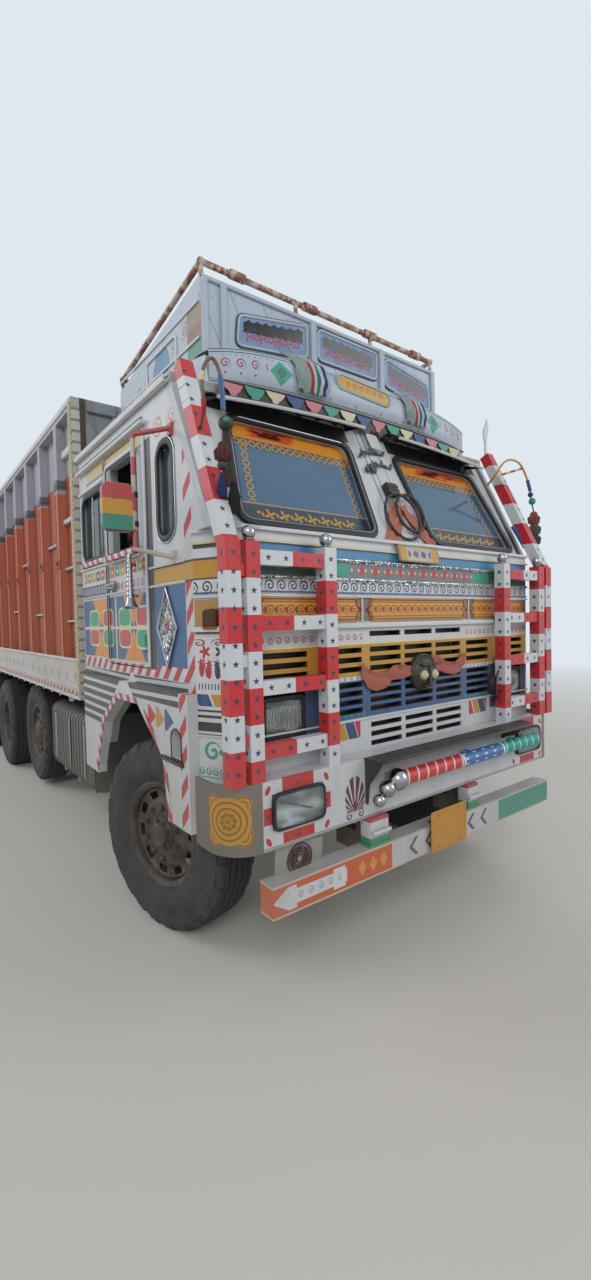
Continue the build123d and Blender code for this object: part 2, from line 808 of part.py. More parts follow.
# Headlamps in their recesses, and fog lamps in the bumper
fog_middle = 910
fog_width = 270
fog_height = 150
fog_z = 882
lamp_side_margin = 15  # from the headlamp to its recess
lamp_top_margin = 100
lamp_foot_margin = 40
with BuildPart() as front_lamps:
    for side in (-1, 1):
        x = side * lamp_middle
        w = lamp_width / 2 - lamp_side_margin
        low = lamp_z - lamp_height / 2 + lamp_foot_margin
        high = lamp_z + lamp_height / 2 - lamp_top_margin
        block((x - w, x + w), (cab_front + 8, cab_front + front_wall - recess_back), (low, high))
        x = side * fog_middle
        w = fog_width / 2 - seat_gap
        h = fog_height / 2 - seat_gap
        y = cab_front + bumper_front
        block((x - w, x + w), (y - 6, y + 70), (fog_z - h, fog_z + h))
finish(front_lamps, "front_lamps")

# Bumper: a pressed channel, and its two curved steel ends
y_bumper = cab_front + bumper_front
with BuildPart() as bumper:
    channel = [
        (y_bumper, bumper_bottom),
        (y_bumper, bumper_top),
        (y_bumper + bumper_depth, bumper_top),
        (y_bumper + bumper_depth, bumper_top - plate),
        (y_bumper + plate, bumper_top - plate),
        (y_bumper + plate, bumper_bottom + plate),
        (y_bumper + bumper_depth, bumper_bottom + plate),
        (y_bumper + bumper_depth, bumper_bottom),
    ]
    prism_x(channel, -bumper_half, bumper_half)
    for side in (-1, 1):
        x = side * fog_middle
        block(
            (x - fog_width / 2, x + fog_width / 2),
            (y_bumper - 5, y_bumper + plate + 5),
            (fog_z - fog_height / 2, fog_z + fog_height / 2),
            Mode.SUBTRACT,
        )
finish(bumper, "bumper")

end_radius = skirt_half - bumper_half
with BuildPart() as bumper_ends:
    for side in (-1, 1):
        with BuildSketch(Plane.XY.offset(bumper_bottom)):
            with BuildLine():
                start = (side * bumper_half, y_bumper)
                turn = (side * skirt_half, y_bumper + end_radius)
                back = (side * skirt_half, y_bumper + end_radius + 110)
                middle = (
                    side * (bumper_half + end_radius * sin(radians(45))),
                    y_bumper + end_radius * (1 - cos(radians(45))),
                )
                inner_middle = (middle[0] - side * plate * 0.707, middle[1] + plate * 0.707)
                ThreePointArc(start, middle, turn)
                Polyline(
                    turn,
                    back,
                    (back[0] - side * plate, back[1]),
                    (turn[0] - side * plate, turn[1]),
                )
                ThreePointArc((turn[0] - side * plate, turn[1]), inner_middle, (start[0], start[1] + plate))
                Line((start[0], start[1] + plate), start)
            make_face()
        extrude(amount=bumper_top - bumper_bottom)
finish(bumper_ends, "bumper_ends")

# Tube roller on the bumper's face, with a string of balls that hangs from its near end
roller_y = y_bumper - 75
roller_z = 905
roller_radius = 36
ball_stem = 8
roller_from, roller_to = -380, 860
with BuildPart() as bumper_roller:
    rod((roller_from, roller_y, roller_z), (roller_to, roller_y, roller_z), roller_radius)
    balls = [
        # place across the truck, drop below the roller, radius
        (-380, 0, 46),
        (-448, 28, 34),
        (-506, 72, 27),
    ]
    for x, drop, radius in balls:
        with Locations((x, roller_y, roller_z - drop)):
            Sphere(radius)
    for (x0, drop0, _), (x1, drop1, _) in zip(balls, balls[1:]):
        rod((x0, roller_y, roller_z - drop0), (x1, roller_y, roller_z - drop1), ball_stem)
    for x in (-370, 240, 700):
        block((x - 20, x + 20), (roller_y, y_bumper), (roller_z - 22, roller_z + 22))
finish(bumper_roller, "bumper_roller")

# Lower bar across the front, below the bumper
lower_bar_depth = 90
with BuildPart() as lower_bar:
    along = (lower_bar_rear - lower_bar_depth, lower_bar_rear)
    block((-lower_bar_half, lower_bar_half), along, (lower_bar_bottom, lower_bar_top))
finish(lower_bar, "lower_bar")

# Guard frames each side of the grille, standing on the bumper, with a leaning outer post
guard_y = y_bumper + guard_tube / 2
posts = [
    # name, middle of the post across the truck
    ("outer", 1197),
    ("middle", 1106),
    ("inner", 702),
]
rail_heights = (1130, 1390, 1650, 1915)
tie_heights = (1190, 1505, 1860)
lean_head = (1170, cab_front + 330, 2800)
rail_half = 30
tie_half = 24
tie_y = (guard_y - tie_half, guard_y + tie_half)
ball_radius = 28
ball_rise = 36
with BuildPart() as front_guards:
    for side in (-1, 1):
        for name, middle in posts:
            x = side * middle
            half = guard_tube / 2
            block((x - half, x + half), (guard_y - half, guard_y + half), (bumper_top, guard_top))
            if name != "outer":
                rod((x, guard_y, guard_top - 5), (x, guard_y, guard_top + 20), 12)
                with Locations((x, guard_y, guard_top + ball_rise)):
                    Sphere(ball_radius)
        inner = side * posts[2][1]
        middle = side * posts[1][1]
        outer = side * posts[0][1]
        for z in rail_heights:
            block(sorted((inner, middle)), tie_y, (z - rail_half, z + rail_half))
        for z in tie_heights:
            block(sorted((middle, outer)), tie_y, (z - tie_half, z + tie_half))
        head = (side * lean_head[0], lean_head[1], lean_head[2])
        square_bar((outer, guard_y, guard_top - 30), head, guard_tube)
finish(front_guards, "front_guards")

# Mirrors on bent tube brackets at the front of each cab side
mirror_y = cab_front + 450
mirror_low, mirror_high = 2065, 2275
mirror_near, mirror_far = 1360, 1505
mirror_tube = 11
with BuildPart() as mirrors:
    for side in (-1, 1):
        low, high = mirror_low, mirror_high
        near, far = side * mirror_near, side * mirror_far
        with BuildSketch(Plane.XZ.offset(-mirror_y)):
            with Locations(((near + far) / 2, (low + high) / 2)):
                RectangleRounded(abs(far - near), high - low, 35)
        extrude(amount=-30)
        tube_x = side * mirror_near
        y = mirror_y + 15
        foot_face = side * (cab_half + 10)
        route = [
            (foot_face, y - 60, 2540),
            (tube_x, y, 2500),
            (tube_x, y, 1995),
            (foot_face, y - 60, 1960),
        ]
        for point in (route[0], route[-1]):
            foot = sorted((side * cab_half, side * (cab_half + 14)))
            block(foot, (point[1] - 20, point[1] + 20), (point[2] - 30, point[2] + 30))
        for start, end in zip(route, route[1:]):
            rod(start, end, mirror_tube)
        for point in route[1:3]:
            with Locations(point):
                Sphere(mirror_tube)
finish(mirrors, "mirrors")

# Load body: floor on cross bearers, two staked sides, a front wall and a drop tailgate
inner_half = load_half - stake_depth - load_wall
deck_thick = 60
bearers = 12
bearer_half = 40
bearer_inset = 60
bearer_pitch = (deck_rear - deck_front - 2 * bearer_inset) / (bearers - 1)
bearer_places = [deck_front + bearer_inset + i * bearer_pitch for i in range(bearers)]
with BuildPart() as load_floor:
    block((-inner_half, inner_half), (deck_front, deck_rear), (load_floor_top - deck_thick, load_floor_top))
    for side in (-1, 1):
        x = sorted((side * (rail_outer - mount_width), side * rail_outer))
        block(x, (deck_front, deck_rear), (rail_top, load_base))
finish(load_floor, "load_floor")

with BuildPart() as load_bearers:
    for y in bearer_places:
        beam = (y - bearer_half, y + bearer_half)
        block((-inner_half, inner_half), beam, (load_base, load_floor_top - deck_thick))
    for x in gate_hinges:
        for ear in (x - 41, x + 31):
            block((ear, ear + 10), (deck_rear - 40, load_rear - 12), (gate_bottom - 45, gate_bottom - 18))
            block((ear, ear + 10), (load_rear - 24, load_rear - 4), (gate_bottom - 45, gate_bottom - 4))
            rod((ear, load_rear, gate_bottom), (ear + 10, load_rear, gate_bottom), 2 * hinge_pin)
        block((x - 41, x + 41), (deck_rear - 40, deck_rear), (gate_bottom - 45, load_base + 20))
        rod((x - 41, load_rear, gate_bottom), (x + 41, load_rear, gate_bottom), hinge_pin)
finish(load_bearers, "load_bearers")

first_stake = 470  # behind the front of the load body
stake_pitch = 553
band_top = 1430
for side, label in ((-1, "load_side_right"), (1, "load_side_left")):
    with BuildPart() as load_side:
        out = side * load_half
        face = side * (load_half - stake_depth)
        back = side * inner_half
        sheet = sorted((face, back))
        post = sorted((out, face))
        block(sheet, (load_front, load_rear), (load_base, load_top))
        block(post, (load_front, load_rear), (load_base, band_top))
        block(post, (load_front, load_rear), (load_top - 70, load_top))
        block(post, (load_front, load_front + post_width), (band_top, load_top))
        block(post, (load_rear - post_width, load_rear), (band_top, load_top))
        y = load_front + first_stake
        while y < load_rear - post_width - stake_width:
            block(post, (y - stake_width / 2, y + stake_width / 2), (band_top, load_top - 70))
            y += stake_pitch
    finish(load_side, label)

with BuildPart() as load_front_wall:
    block((-inner_half, inner_half), (load_front, deck_front), (load_base, load_top))
finish(load_front_wall, "load_front_wall")

with BuildPart() as tailgate:
    half = inner_half - gate_gap
    block((-half, half), (load_rear - gate_thick, load_rear), (gate_bottom, gate_bottom + gate_height))
    for x in gate_hinges:
        notch = (load_rear - gate_thick - 5, load_rear + 5)
        block((x - 47, x + 47), notch, (gate_bottom - 5, gate_bottom + 25), Mode.SUBTRACT)
        block((x - 30, x + 30), (load_rear - 30, load_rear), (gate_bottom, gate_bottom + 40))
        rod((x - 30, load_rear, gate_bottom), (x + 30, load_rear, gate_bottom), gate_barrel)
        hole = hinge_pin + bore_clearance
        rod((x - 31, load_rear, gate_bottom), (x + 31, load_rear, gate_bottom), hole, Mode.SUBTRACT)
finish(tailgate, "tailgate")

with BuildPart() as rear_header:
    block((-inner_half, inner_half), (load_rear - 80, load_rear), (load_top - 120, load_top))
finish(rear_header, "rear_header")

# Mud flaps behind the tandem, and the bar under the tail
flap_half = dual_pitch / 2 + tyre_width / 2 - 5
flap_room = 80  # least distance from the rear tyres to their flaps
flap_y = next(y for y in bearer_places if y > rear_axle + tyre_radius + flap_room)  # hung from a floor bearer
with BuildPart() as mud_flaps:
    for side in (-1, 1):
        x = sorted((side * (dual_half - flap_half), side * (dual_half + flap_half)))
        block(x, (flap_y - 6, flap_y + 6), (420, load_base))
finish(mud_flaps, "mud_flaps")

rear_bar_half = 1150
rear_bar = (load_rear - 56, load_rear - 6)  # behind the tow jaw's bore, so that its pin drops clear
rear_bar_bottom, rear_bar_top = 520, 640
with BuildPart() as rear_bumper:
    block((-rear_bar_half, rear_bar_half), rear_bar, (rear_bar_bottom, rear_bar_top))
    for side in (-1, 1):
        x = sorted((side * (rail_outer - arm_width), side * rail_outer))
        block(x, (rail_rear, rear_bar[0]), (rear_bar_bottom, rail_top))
finish(rear_bumper, "rear_bumper")

# Steering knuckles: a yoke on the kingpin, a web, a spindle and the brake's back plate
steer = radians(steer_at_rest)
plate_low = tyre_radius - eye_half - 35
plate_high = tyre_radius + eye_half + 35
yoke_radius = 58
for side, label in ((-1, "knuckle_right"), (1, "knuckle_left")):
    pin = Vector(side * kingpin_half, front_axle, 0)
    out = Vector(side * cos(steer), side * sin(steer), 0)
    with BuildPart() as knuckle:
        for low, high in ((plate_low, plate_low + 30), (plate_high - 30, plate_high)):
            rod((pin.X, pin.Y, low), (pin.X, pin.Y, high), yoke_radius)
        rod((pin.X, pin.Y, plate_low), (pin.X, pin.Y, plate_high), kingpin_radius)
        with BuildSketch(Plane(origin=(pin.X, pin.Y, plate_low), x_dir=tuple(out), z_dir=(0, 0, 1))):
            with Locations((69, 0)):
                Rectangle(22, 110)
        extrude(amount=plate_high - plate_low)
        for low, high in ((plate_low, plate_low + 30), (plate_high - 30, plate_high)):
            with BuildSketch(Plane(origin=(pin.X, pin.Y, low), x_dir=tuple(out), z_dir=(0, 0, 1))):
                with Locations((35, 0)):
                    Rectangle(70, 90)
            extrude(amount=high - low)
        axis = Vector(pin.X, pin.Y, tyre_radius)
        rod(tuple(axis + out * 75), tuple(axis + out * (wheel_offset + 75)), spindle_radius)
        rod(tuple(axis + out * 78), tuple(axis + out * 88), 190)
    finish(knuckle, label)


def wheel_plane(centre, outward):
    """A plane through the wheel's middle: local x runs outboard and local y up."""
    normal = outward.cross(Vector(0, 0, 1))
    return Plane(origin=tuple(centre), x_dir=tuple(outward), z_dir=tuple(normal))


def turned(centre, outward, points, mode=Mode.ADD):
    """An (along the axle, radius) outline turned round the axle."""
    with BuildSketch(wheel_plane(centre, outward)) as outline:
        with BuildLine():
            Polyline(*points, close=True)
        make_face()
    revolve(outline.sketch, axis=Axis(tuple(centre), tuple(outward)), mode=mode)


bead_half = 98


def tyre_outline(shift):
    half = tyre_width / 2
    rows = [
        # along the axle, radius
        (bead_half, bead_radius),
        (bead_half, rim_flange_radius + 8),
        (half, bead_radius + 130),
        (half - 5, bead_radius + 200),
        (half - 25, tyre_radius - 12),
        (half - 42, tyre_radius),
    ]
    low_side = [(-t, r) for t, r in reversed(rows)]
    return [(t + shift, r) for t, r in rows + low_side]


def barrel_outline(shift):
    seat = bead_radius - seat_gap
    flange = bead_half + seat_gap + 8
    return [
        (shift - flange, rim_flange_radius),
        (shift - flange, seat - 10),
        (shift + flange, seat - 10),
        (shift + flange, rim_flange_radius),
        (shift + flange - 8, rim_flange_radius),
        (shift + flange - 8, seat),
        (shift - flange + 8, seat),
        (shift - flange + 8, rim_flange_radius),
    ]


hub_bore = spindle_radius + bore_clearance
dual_bore = dual_spindle_radius + bore_clearance
single_disc = [
    # along the axle, radius, from the bore outwards and back
    (-52, hub_bore),
    (80, hub_bore),
    (80, 0),
    (128, 0),
    (120, 62),
    (88, 80),
    (78, 150),
    (60, 175),
    (72, bead_radius - 8),
    (60, bead_radius - 5),
    (44, 180),
    (44, 200),
    (-54, 200),
    (-54, 185),
    (30, 185),
    (30, 100),
    (-52, 90),
]
dual_disc = [
    (-172, dual_bore),
    (160, dual_bore),
    (160, 0),
    (190, 0),
    (184, 78),
    (40, 95),
    (12, 120),
    (12, 175),
    (92, bead_radius - 8),
    (78, bead_radius - 5),
    (0, 195),
    (-78, bead_radius - 5),
    (-92, bead_radius - 8),
    (-24, 190),
    (-160, 190),
    (-160, 170),
    (-24, 170),
    (-24, 110),
    (-172, 100),
]
wheels = [
    # name, side, axle, middle of the tyre from the centre line, height, twin, steered
    ("front_right", -1, front_axle, kingpin_half, tyre_radius, False, True),
    ("front_left", 1, front_axle, kingpin_half, tyre_radius, False, True),
    ("lift_right", -1, lift_axle, lift_wheel_half, lift_z, False, False),
    ("lift_left", 1, lift_axle, lift_wheel_half, lift_z, False, False),
    ("mid_right", -1, mid_axle, dual_half, tyre_radius, True, False),
    ("mid_left", 1, mid_axle, dual_half, tyre_radius, True, False),
    ("rear_right", -1, rear_axle, dual_half, tyre_radius, True, False),
    ("rear_left", 1, rear_axle, dual_half, tyre_radius, True, False),
]
for name, side, axle_y, half, height, twin, steered in wheels:
    angle = steer if steered else 0
    outward = Vector(side * cos(angle), side * sin(angle), 0)
    centre = Vector(side * half, axle_y, height)
    if steered:
        centre = centre + outward * wheel_offset
    shifts = (-dual_pitch / 2, dual_pitch / 2) if twin else (0,)
    plural = "s" if twin else ""
    with BuildPart() as tyre:
        for shift in shifts:
            turned(centre, outward, tyre_outline(shift))
    finish(tyre, f"tyre{plural}_{name}")
    with BuildPart() as rim:
        for shift in shifts:
            turned(centre, outward, barrel_outline(shift))
        turned(centre, outward, dual_disc if twin else single_disc)
    finish(rim, f"rim{plural}_{name}")
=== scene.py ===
import bpy
import bmesh
import json
import math
import random
from mathutils import Matrix, Vector

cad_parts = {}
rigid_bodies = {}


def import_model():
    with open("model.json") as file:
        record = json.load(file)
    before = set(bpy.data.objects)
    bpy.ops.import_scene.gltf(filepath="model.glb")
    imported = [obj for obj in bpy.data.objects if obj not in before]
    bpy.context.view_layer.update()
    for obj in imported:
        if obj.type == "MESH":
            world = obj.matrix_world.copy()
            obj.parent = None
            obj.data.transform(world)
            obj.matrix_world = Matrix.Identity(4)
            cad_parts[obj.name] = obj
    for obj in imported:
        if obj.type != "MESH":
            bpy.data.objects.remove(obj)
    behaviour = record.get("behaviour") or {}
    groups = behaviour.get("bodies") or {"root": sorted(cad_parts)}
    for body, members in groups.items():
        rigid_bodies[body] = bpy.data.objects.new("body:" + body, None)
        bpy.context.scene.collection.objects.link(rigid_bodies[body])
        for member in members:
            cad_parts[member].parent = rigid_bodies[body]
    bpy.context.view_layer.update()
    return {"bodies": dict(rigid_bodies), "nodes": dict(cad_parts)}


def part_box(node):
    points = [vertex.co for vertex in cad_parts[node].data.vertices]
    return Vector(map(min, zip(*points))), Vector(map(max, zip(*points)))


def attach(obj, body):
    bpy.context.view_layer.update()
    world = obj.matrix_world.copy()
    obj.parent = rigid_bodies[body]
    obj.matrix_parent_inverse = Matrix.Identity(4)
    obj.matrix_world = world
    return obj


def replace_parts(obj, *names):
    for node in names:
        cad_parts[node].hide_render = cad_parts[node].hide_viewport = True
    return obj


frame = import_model()
nodes = frame["nodes"]
random.seed(7)
print("frame loaded,", len(nodes), "nodes")

# Places that most pieces share, in metres: the truck's front faces -Y and its right side is -X
cab = {
    "face": -4.247,       # the flat lower face of the cab
    "half": 1.2,
    "skirt": 1.25,
    "edge": 1.09,         # half the width of the flat front, where the cut-back corners start
    "cornerDepth": 0.23,  # how far back they end
    "cornerWide": 0.255,  # and their width on the slant
    "sill": 2.05,         # foot of the windscreen
    "top": 2.75,
    "rear": -2.367,
    "footBack": 0.06,     # how far the windscreen's foot and head stand behind the face
    "headBack": 0.40,
}
load = {"front": -2.307, "rear": 4.453, "half": 1.22, "floor": 1.3, "top": 3.22}


def rotation(degrees, axis):
    return Matrix.Rotation(math.radians(degrees), 4, axis)


def lifted(height):  # up local Z
    return Matrix.Translation((0, 0, height))


xToZ = rotation(-90, "Y")  # stands a turned piece's axis up along local Z

# Camera, lamps and floor
view = {"place": (-2.2316, -6.0786, 1.6531), "turn": 37.405, "tilt": -1.959, "roll": -1.308, "lens": 14.754}
bpy.ops.object.camera_add()
camera = bpy.context.object
camera.matrix_world = (
    Matrix.Translation(view["place"])
    @ rotation(-view["turn"], "Z")
    @ rotation(90 + view["tilt"], "X")
    @ rotation(view["roll"], "Z")
)
camera.data.lens = view["lens"]
camera.data.clip_end = 300
bpy.context.scene.camera = camera
bpy.context.scene.view_settings.view_transform = "Standard"


def rgb(code):  # a screen colour such as "c8202a" as the linear colour that the shader wants
    parts = [int(code[i:i + 2], 16) / 255 for i in (0, 2, 4)]
    return tuple(c / 12.92 if c <= 0.04045 else ((c + 0.055) / 1.055) ** 2.4 for c in parts) + (1.0,)


# The painted colours of the truck
tone = {
    "white": "d3d6da", "cream": "d6cda8", "red": "bb1a26", "navy": "1d2a4c", "sky": "3f87b8",
    "blue": "184d84", "deepBlue": "163e6b", "teal": "1d9a83", "green": "2a9a72", "gold": "c28f27",
    "orange": "dd8a2b", "brown": "75675c", "salmon": "cf6f5c", "plum": "5e1733", "black": "1b1c1f",
    "pink": "cf7f88",
}


def hue(colour):  # a name from the palette or a screen colour, as the colour that the shader wants
    return rgb(tone.get(colour, colour)) if isinstance(colour, str) else colour


lights = {
    "sky": 0.39,
    "skyTint": (0.90, 0.97, 1.06, 1.0),
    "seenSky": (0.74, 0.81, 0.87, 1.0),
    "lamps": [
        # place, aim, size, power
        ((-9.0, -14.0, 9.0), (0, -3, 1.5), 7.0, 740),
        ((8.0, -12.0, 6.0), (0, -3, 1.5), 7.0, 320),
        ((-10.0, 6.0, 8.0), (0, 1, 1.5), 8.0, 480),
        ((10.0, 8.0, 9.0), (0, 1, 1.5), 8.0, 480),
    ],
    "floor": "d9d4cb",
    "fade": (5.5, 11.0),  # how far out the floor starts to fade, and over what distance
}
world = bpy.data.worlds.new("studio")
bpy.context.scene.world = world
world.use_nodes = True
sky = world.node_tree
sky.nodes["Background"].inputs[0].default_value = lights["skyTint"]
sky.nodes["Background"].inputs[1].default_value = lights["sky"]
# what the camera, mirrors and glass see is paler than what lights the truck
seenRays = ("Is Camera Ray", "Is Glossy Ray", "Is Transmission Ray")
seenSky = sky.nodes.new("ShaderNodeBackground")
seenSky.inputs[0].default_value = lights["seenSky"]
rays = sky.nodes.new("ShaderNodeLightPath")
seen = rays.outputs[seenRays[0]]
for ray in seenRays[1:]:
    either = sky.nodes.new("ShaderNodeMath")
    either.operation = "MAXIMUM"
    sky.links.new(seen, either.inputs[0])
    sky.links.new(rays.outputs[ray], either.inputs[1])
    seen = either.outputs[0]
skyBlend = sky.nodes.new("ShaderNodeMixShader")
for socket, wire in enumerate((seen, sky.nodes["Background"].outputs[0], seenSky.outputs[0])):
    sky.links.new(wire, skyBlend.inputs[socket])
sky.links.new(skyBlend.outputs[0], sky.nodes["World Output"].inputs[0])
for place, aim, size, power in lights["lamps"]:
    bpy.ops.object.light_add(type="AREA", location=place)
    lamp = bpy.context.object
    lamp.rotation_euler = (Vector(aim) - Vector(place)).to_track_quat("-Z", "Y").to_euler()
    lamp.data.shape = "DISK"
    lamp.data.size = size
    lamp.data.energy = power
print("camera and lamps set")


# Materials: sums on sockets, and one method that makes every other node
class Wire:
    def __init__(self, paint, socket):
        self.paint = paint
        self.socket = socket

    def __add__(self, other): return self.paint.maths("ADD", self, other)
    def __radd__(self, other): return self.paint.maths("ADD", other, self)
    def __sub__(self, other): return self.paint.maths("SUBTRACT", self, other)
    def __rsub__(self, other): return self.paint.maths("SUBTRACT", other, self)
    def __mul__(self, other): return self.paint.maths("MULTIPLY", self, other)
    def __rmul__(self, other): return self.paint.maths("MULTIPLY", other, self)
    def __truediv__(self, other): return self.paint.maths("DIVIDE", self, other)
    def __mod__(self, step): return self.paint.maths("FLOORED_MODULO", self, step)
    def __pow__(self, power): return self.paint.maths("POWER", self, power)
    def __abs__(self): return self.paint.maths("ABSOLUTE", self)
    def __gt__(self, other): return self.paint.maths("GREATER_THAN", self, other)
    def __lt__(self, other): return self.paint.maths("LESS_THAN", self, other)
    def __or__(self, other): return self.paint.maths("MAXIMUM", self, other)
    def __and__(self, other): return self.paint.maths("MINIMUM", self, other)

    def within(self, low, high): return self.paint.maths("COMPARE", self, (low + high) / 2, (high - low) / 2)
    def cell(self, pitch): return self.paint.maths("FLOORED_MODULO", self, pitch) - pitch / 2
    def row(self, pitch): return self.paint.maths("FLOOR", self / pitch)
    def fold(self, step): return self.paint.maths("PINGPONG", self, step)
    def sine(self): return self.paint.maths("SINE", self)
    def clamped(self): return self.paint.maths("MULTIPLY", self, 1.0, clamp=True)


class Paint:
    def __init__(self, name):
        self.material = bpy.data.materials.new(name)
        self.material.use_nodes = True
        self.tree = self.material.node_tree
        self.shader = self.tree.nodes["Principled BSDF"]
        self.place, self.normal = self.node("ShaderNodeTexCoord", {}, {}, ("Object", "Normal"))
        self.x, self.y, self.z = self.node("ShaderNodeSeparateXYZ", {}, {0: self.place}, (0, 1, 2))

    def node(self, kind, settings, inputs, wanted=(0,)):
        made = self.tree.nodes.new(kind)
        for key, value in settings.items():
            if key == "stops":
                ramp = made.color_ramp
                while len(ramp.elements) < len(value):
                    ramp.elements.new(0.5)
                for element, (place, colour) in zip(ramp.elements, value):
                    element.position, element.color = place, colour
            else:
                setattr(made, key, value)
        for key, value in inputs.items():
            if isinstance(value, Wire):
                self.tree.links.new(value.socket, made.inputs[key])
            else:
                made.inputs[key].default_value = value
        wires = tuple(Wire(self, made.outputs[key]) for key in wanted)
        return wires if len(wires) > 1 else wires[0]

    def maths(self, operation, *values, clamp=False):
        settings = {"operation": operation, "use_clamp": clamp}
        return self.node("ShaderNodeMath", settings, dict(enumerate(values)))

    def mix(self, mask, under, over):
        return self.node("ShaderNodeMix", {"data_type": "RGBA"}, {0: mask, 6: hue(under), 7: hue(over)}, (2,))

    def layers(self, base, *over):  # each of over is a mask and the colour that it lays on
        for mask, colour in over:
            base = self.mix(mask, base, colour)
        return base

    def noise(self, scale, detail=3.0, stretch=None, rough=0.5):
        place = self.place
        if stretch:
            place = self.node("ShaderNodeVectorMath", {"operation": "MULTIPLY"}, {0: self.place, 1: stretch})
        return self.node(
            "ShaderNodeTexNoise", {},
            {"Vector": place, "Scale": scale, "Detail": detail, "Roughness": rough}
        )

    def attribute(self, name):
        return self.node("ShaderNodeAttribute", {"attribute_name": name}, {}, ("Fac",))

    def angle(self, u, v): return self.maths("ARCTAN2", u, v)
    def length(self, u, v): return (u * u + v * v) ** 0.5

    # ornaments, each a mask round the point where u and v are nothing
    def disc(self, u, v, radius): return u * u + v * v < radius * radius
    def diamond(self, u, v, halfU, halfV): return abs(u) * (1 / halfU) + abs(v) * (1 / halfV) < 1
    def panel(self, u, v, halfU, halfV): return (abs(u) < halfU) & (abs(v) < halfV)

    def star(self, u, v, radius):
        wedge = self.angle(u, v).fold(math.pi / 5)
        far = self.length(u, v)
        inner = 0.4 * radius  # the waist between two points
        side = inner * math.sin(math.pi / 5)
        rise = radius - inner * math.cos(math.pi / 5)
        return self.maths("COSINE", wedge) * far * side + wedge.sine() * far * rise < side * radius

    def rose(self, u, v, radius, petals, depth=0.35):
        edge = (self.angle(u, v) * petals).sine() * (depth * radius) + radius * (1 - depth)
        return self.length(u, v) < edge

    def scroll(self, u, v, radius, turns=2.0):
        far = self.length(u, v)
        arm = (self.angle(u, v) + far * (turns * 2 * math.pi / radius)).sine() > 0.15
        return arm & (far < radius)

    def weather(self, colour, dust="9c8b76", low=0.3, high=1.6, most=0.55, least=0.10):
        # grime in patches over the whole surface, and road dust that thickens towards the ground
        patches = self.noise(2.3, 5.0, rough=0.62)
        fine = self.noise(38.0, 2.0)
        rise = ((high - self.z) * (1 / (high - low))).clamped()
        amount = (rise * most + least) * (patches * 1.5 - 0.15) + (fine - 0.5) * 0.12
        return self.mix(amount.clamped(), colour, dust), patches, fine

    def finish(self, colour, roughness=0.5, metallic=0.0, bump=None, bumpDepth=0.002):
        pairs = {"Base Color": colour, "Roughness": roughness, "Metallic": metallic}
        if bump is not None:
            pairs["Normal"] = self.node(
                "ShaderNodeBump", {}, {"Strength": 1.0, "Distance": bumpDepth, "Height": bump}
            )
        for key, value in pairs.items():
            if isinstance(value, Wire):
                self.tree.links.new(value.socket, self.shader.inputs[key])
            else:
                self.shader.inputs[key].default_value = value
        return self.material


# Mesh work
def chooseNone():
    bpy.ops.object.select_all(action="DESELECT")


def choose(piece):
    chooseNone()
    piece.select_set(True)
    bpy.context.view_layer.objects.active = piece


def openMesh(piece):
    choose(piece)
    bpy.ops.object.mode_set(mode="EDIT")
    bpy.ops.mesh.select_all(action="DESELECT")
    return bmesh.from_edit_mesh(piece.data)


def closeMesh():
    bpy.ops.object.mode_set(mode="OBJECT")


def facesOut():  # turns the open mesh's faces outwards and closes it
    bpy.ops.mesh.select_all(action="SELECT")
    bpy.ops.mesh.normals_make_consistent(inside=False)
    closeMesh()


def pickFaces(piece, test):  # selects the faces that pass, in edit mode
    shape = bmesh.from_edit_mesh(piece.data)
    bpy.ops.mesh.select_mode(type="FACE")
    bpy.ops.mesh.select_all(action="DESELECT")
    for face in shape.faces:
        face.select_set(bool(test(face)))
    bmesh.update_edit_mesh(piece.data)


def place(piece):  # puts the piece's place into its mesh
    choose(piece)
    bpy.ops.object.transform_apply(location=True, rotation=True, scale=True)
    return piece


def boxPiece(name, low, high, bevel=0.004, segments=2):  # between two opposite corners
    middle = [(a + b) / 2 for a, b in zip(low, high)]
    chooseNone()
    bpy.ops.mesh.primitive_cube_add(size=1, location=middle)
    piece = bpy.context.object
    piece.name = name
    piece.scale = [abs(b - a) for a, b in zip(low, high)]
    place(piece)
    if bevel:
        openMesh(piece)
        bpy.ops.mesh.select_all(action="SELECT")
        bpy.ops.mesh.bevel(offset=bevel, segments=segments, affect="EDGES")
        closeMesh()
    return piece


# a box between two x, two y behind the face, and two z
def cabBox(name, x, y, z, bevel=0.003, segments=1, face=cab["face"]):
    return boxPiece(name, *zip(x, [face + v for v in y], z), bevel, segments)


def meshPiece(name, points, faces=(), edges=()):
    data = bpy.data.meshes.new(name)
    data.from_pydata([tuple(p) for p in points], edges, faces)
    piece = bpy.data.objects.new(name, data)
    bpy.context.scene.collection.objects.link(piece)
    return piece


def turnedPiece(name, outline, steps=32, matrix=None):
    # outline of (along X, radius) spun round the X axis, then laid in place by the matrix
    edges = [(i, i + 1) for i in range(len(outline) - 1)]
    piece = meshPiece(name, [(a, 0, r) for a, r in outline], edges=edges)
    openMesh(piece)
    bpy.ops.mesh.select_all(action="SELECT")
    bpy.ops.mesh.spin(steps=steps, angle=2 * math.pi, center=(0, 0, 0), axis=(1, 0, 0))
    bpy.ops.mesh.select_all(action="SELECT")
    bpy.ops.mesh.remove_doubles(threshold=0.00002)
    facesOut()
    if matrix:
        piece.data.transform(matrix)
    return piece


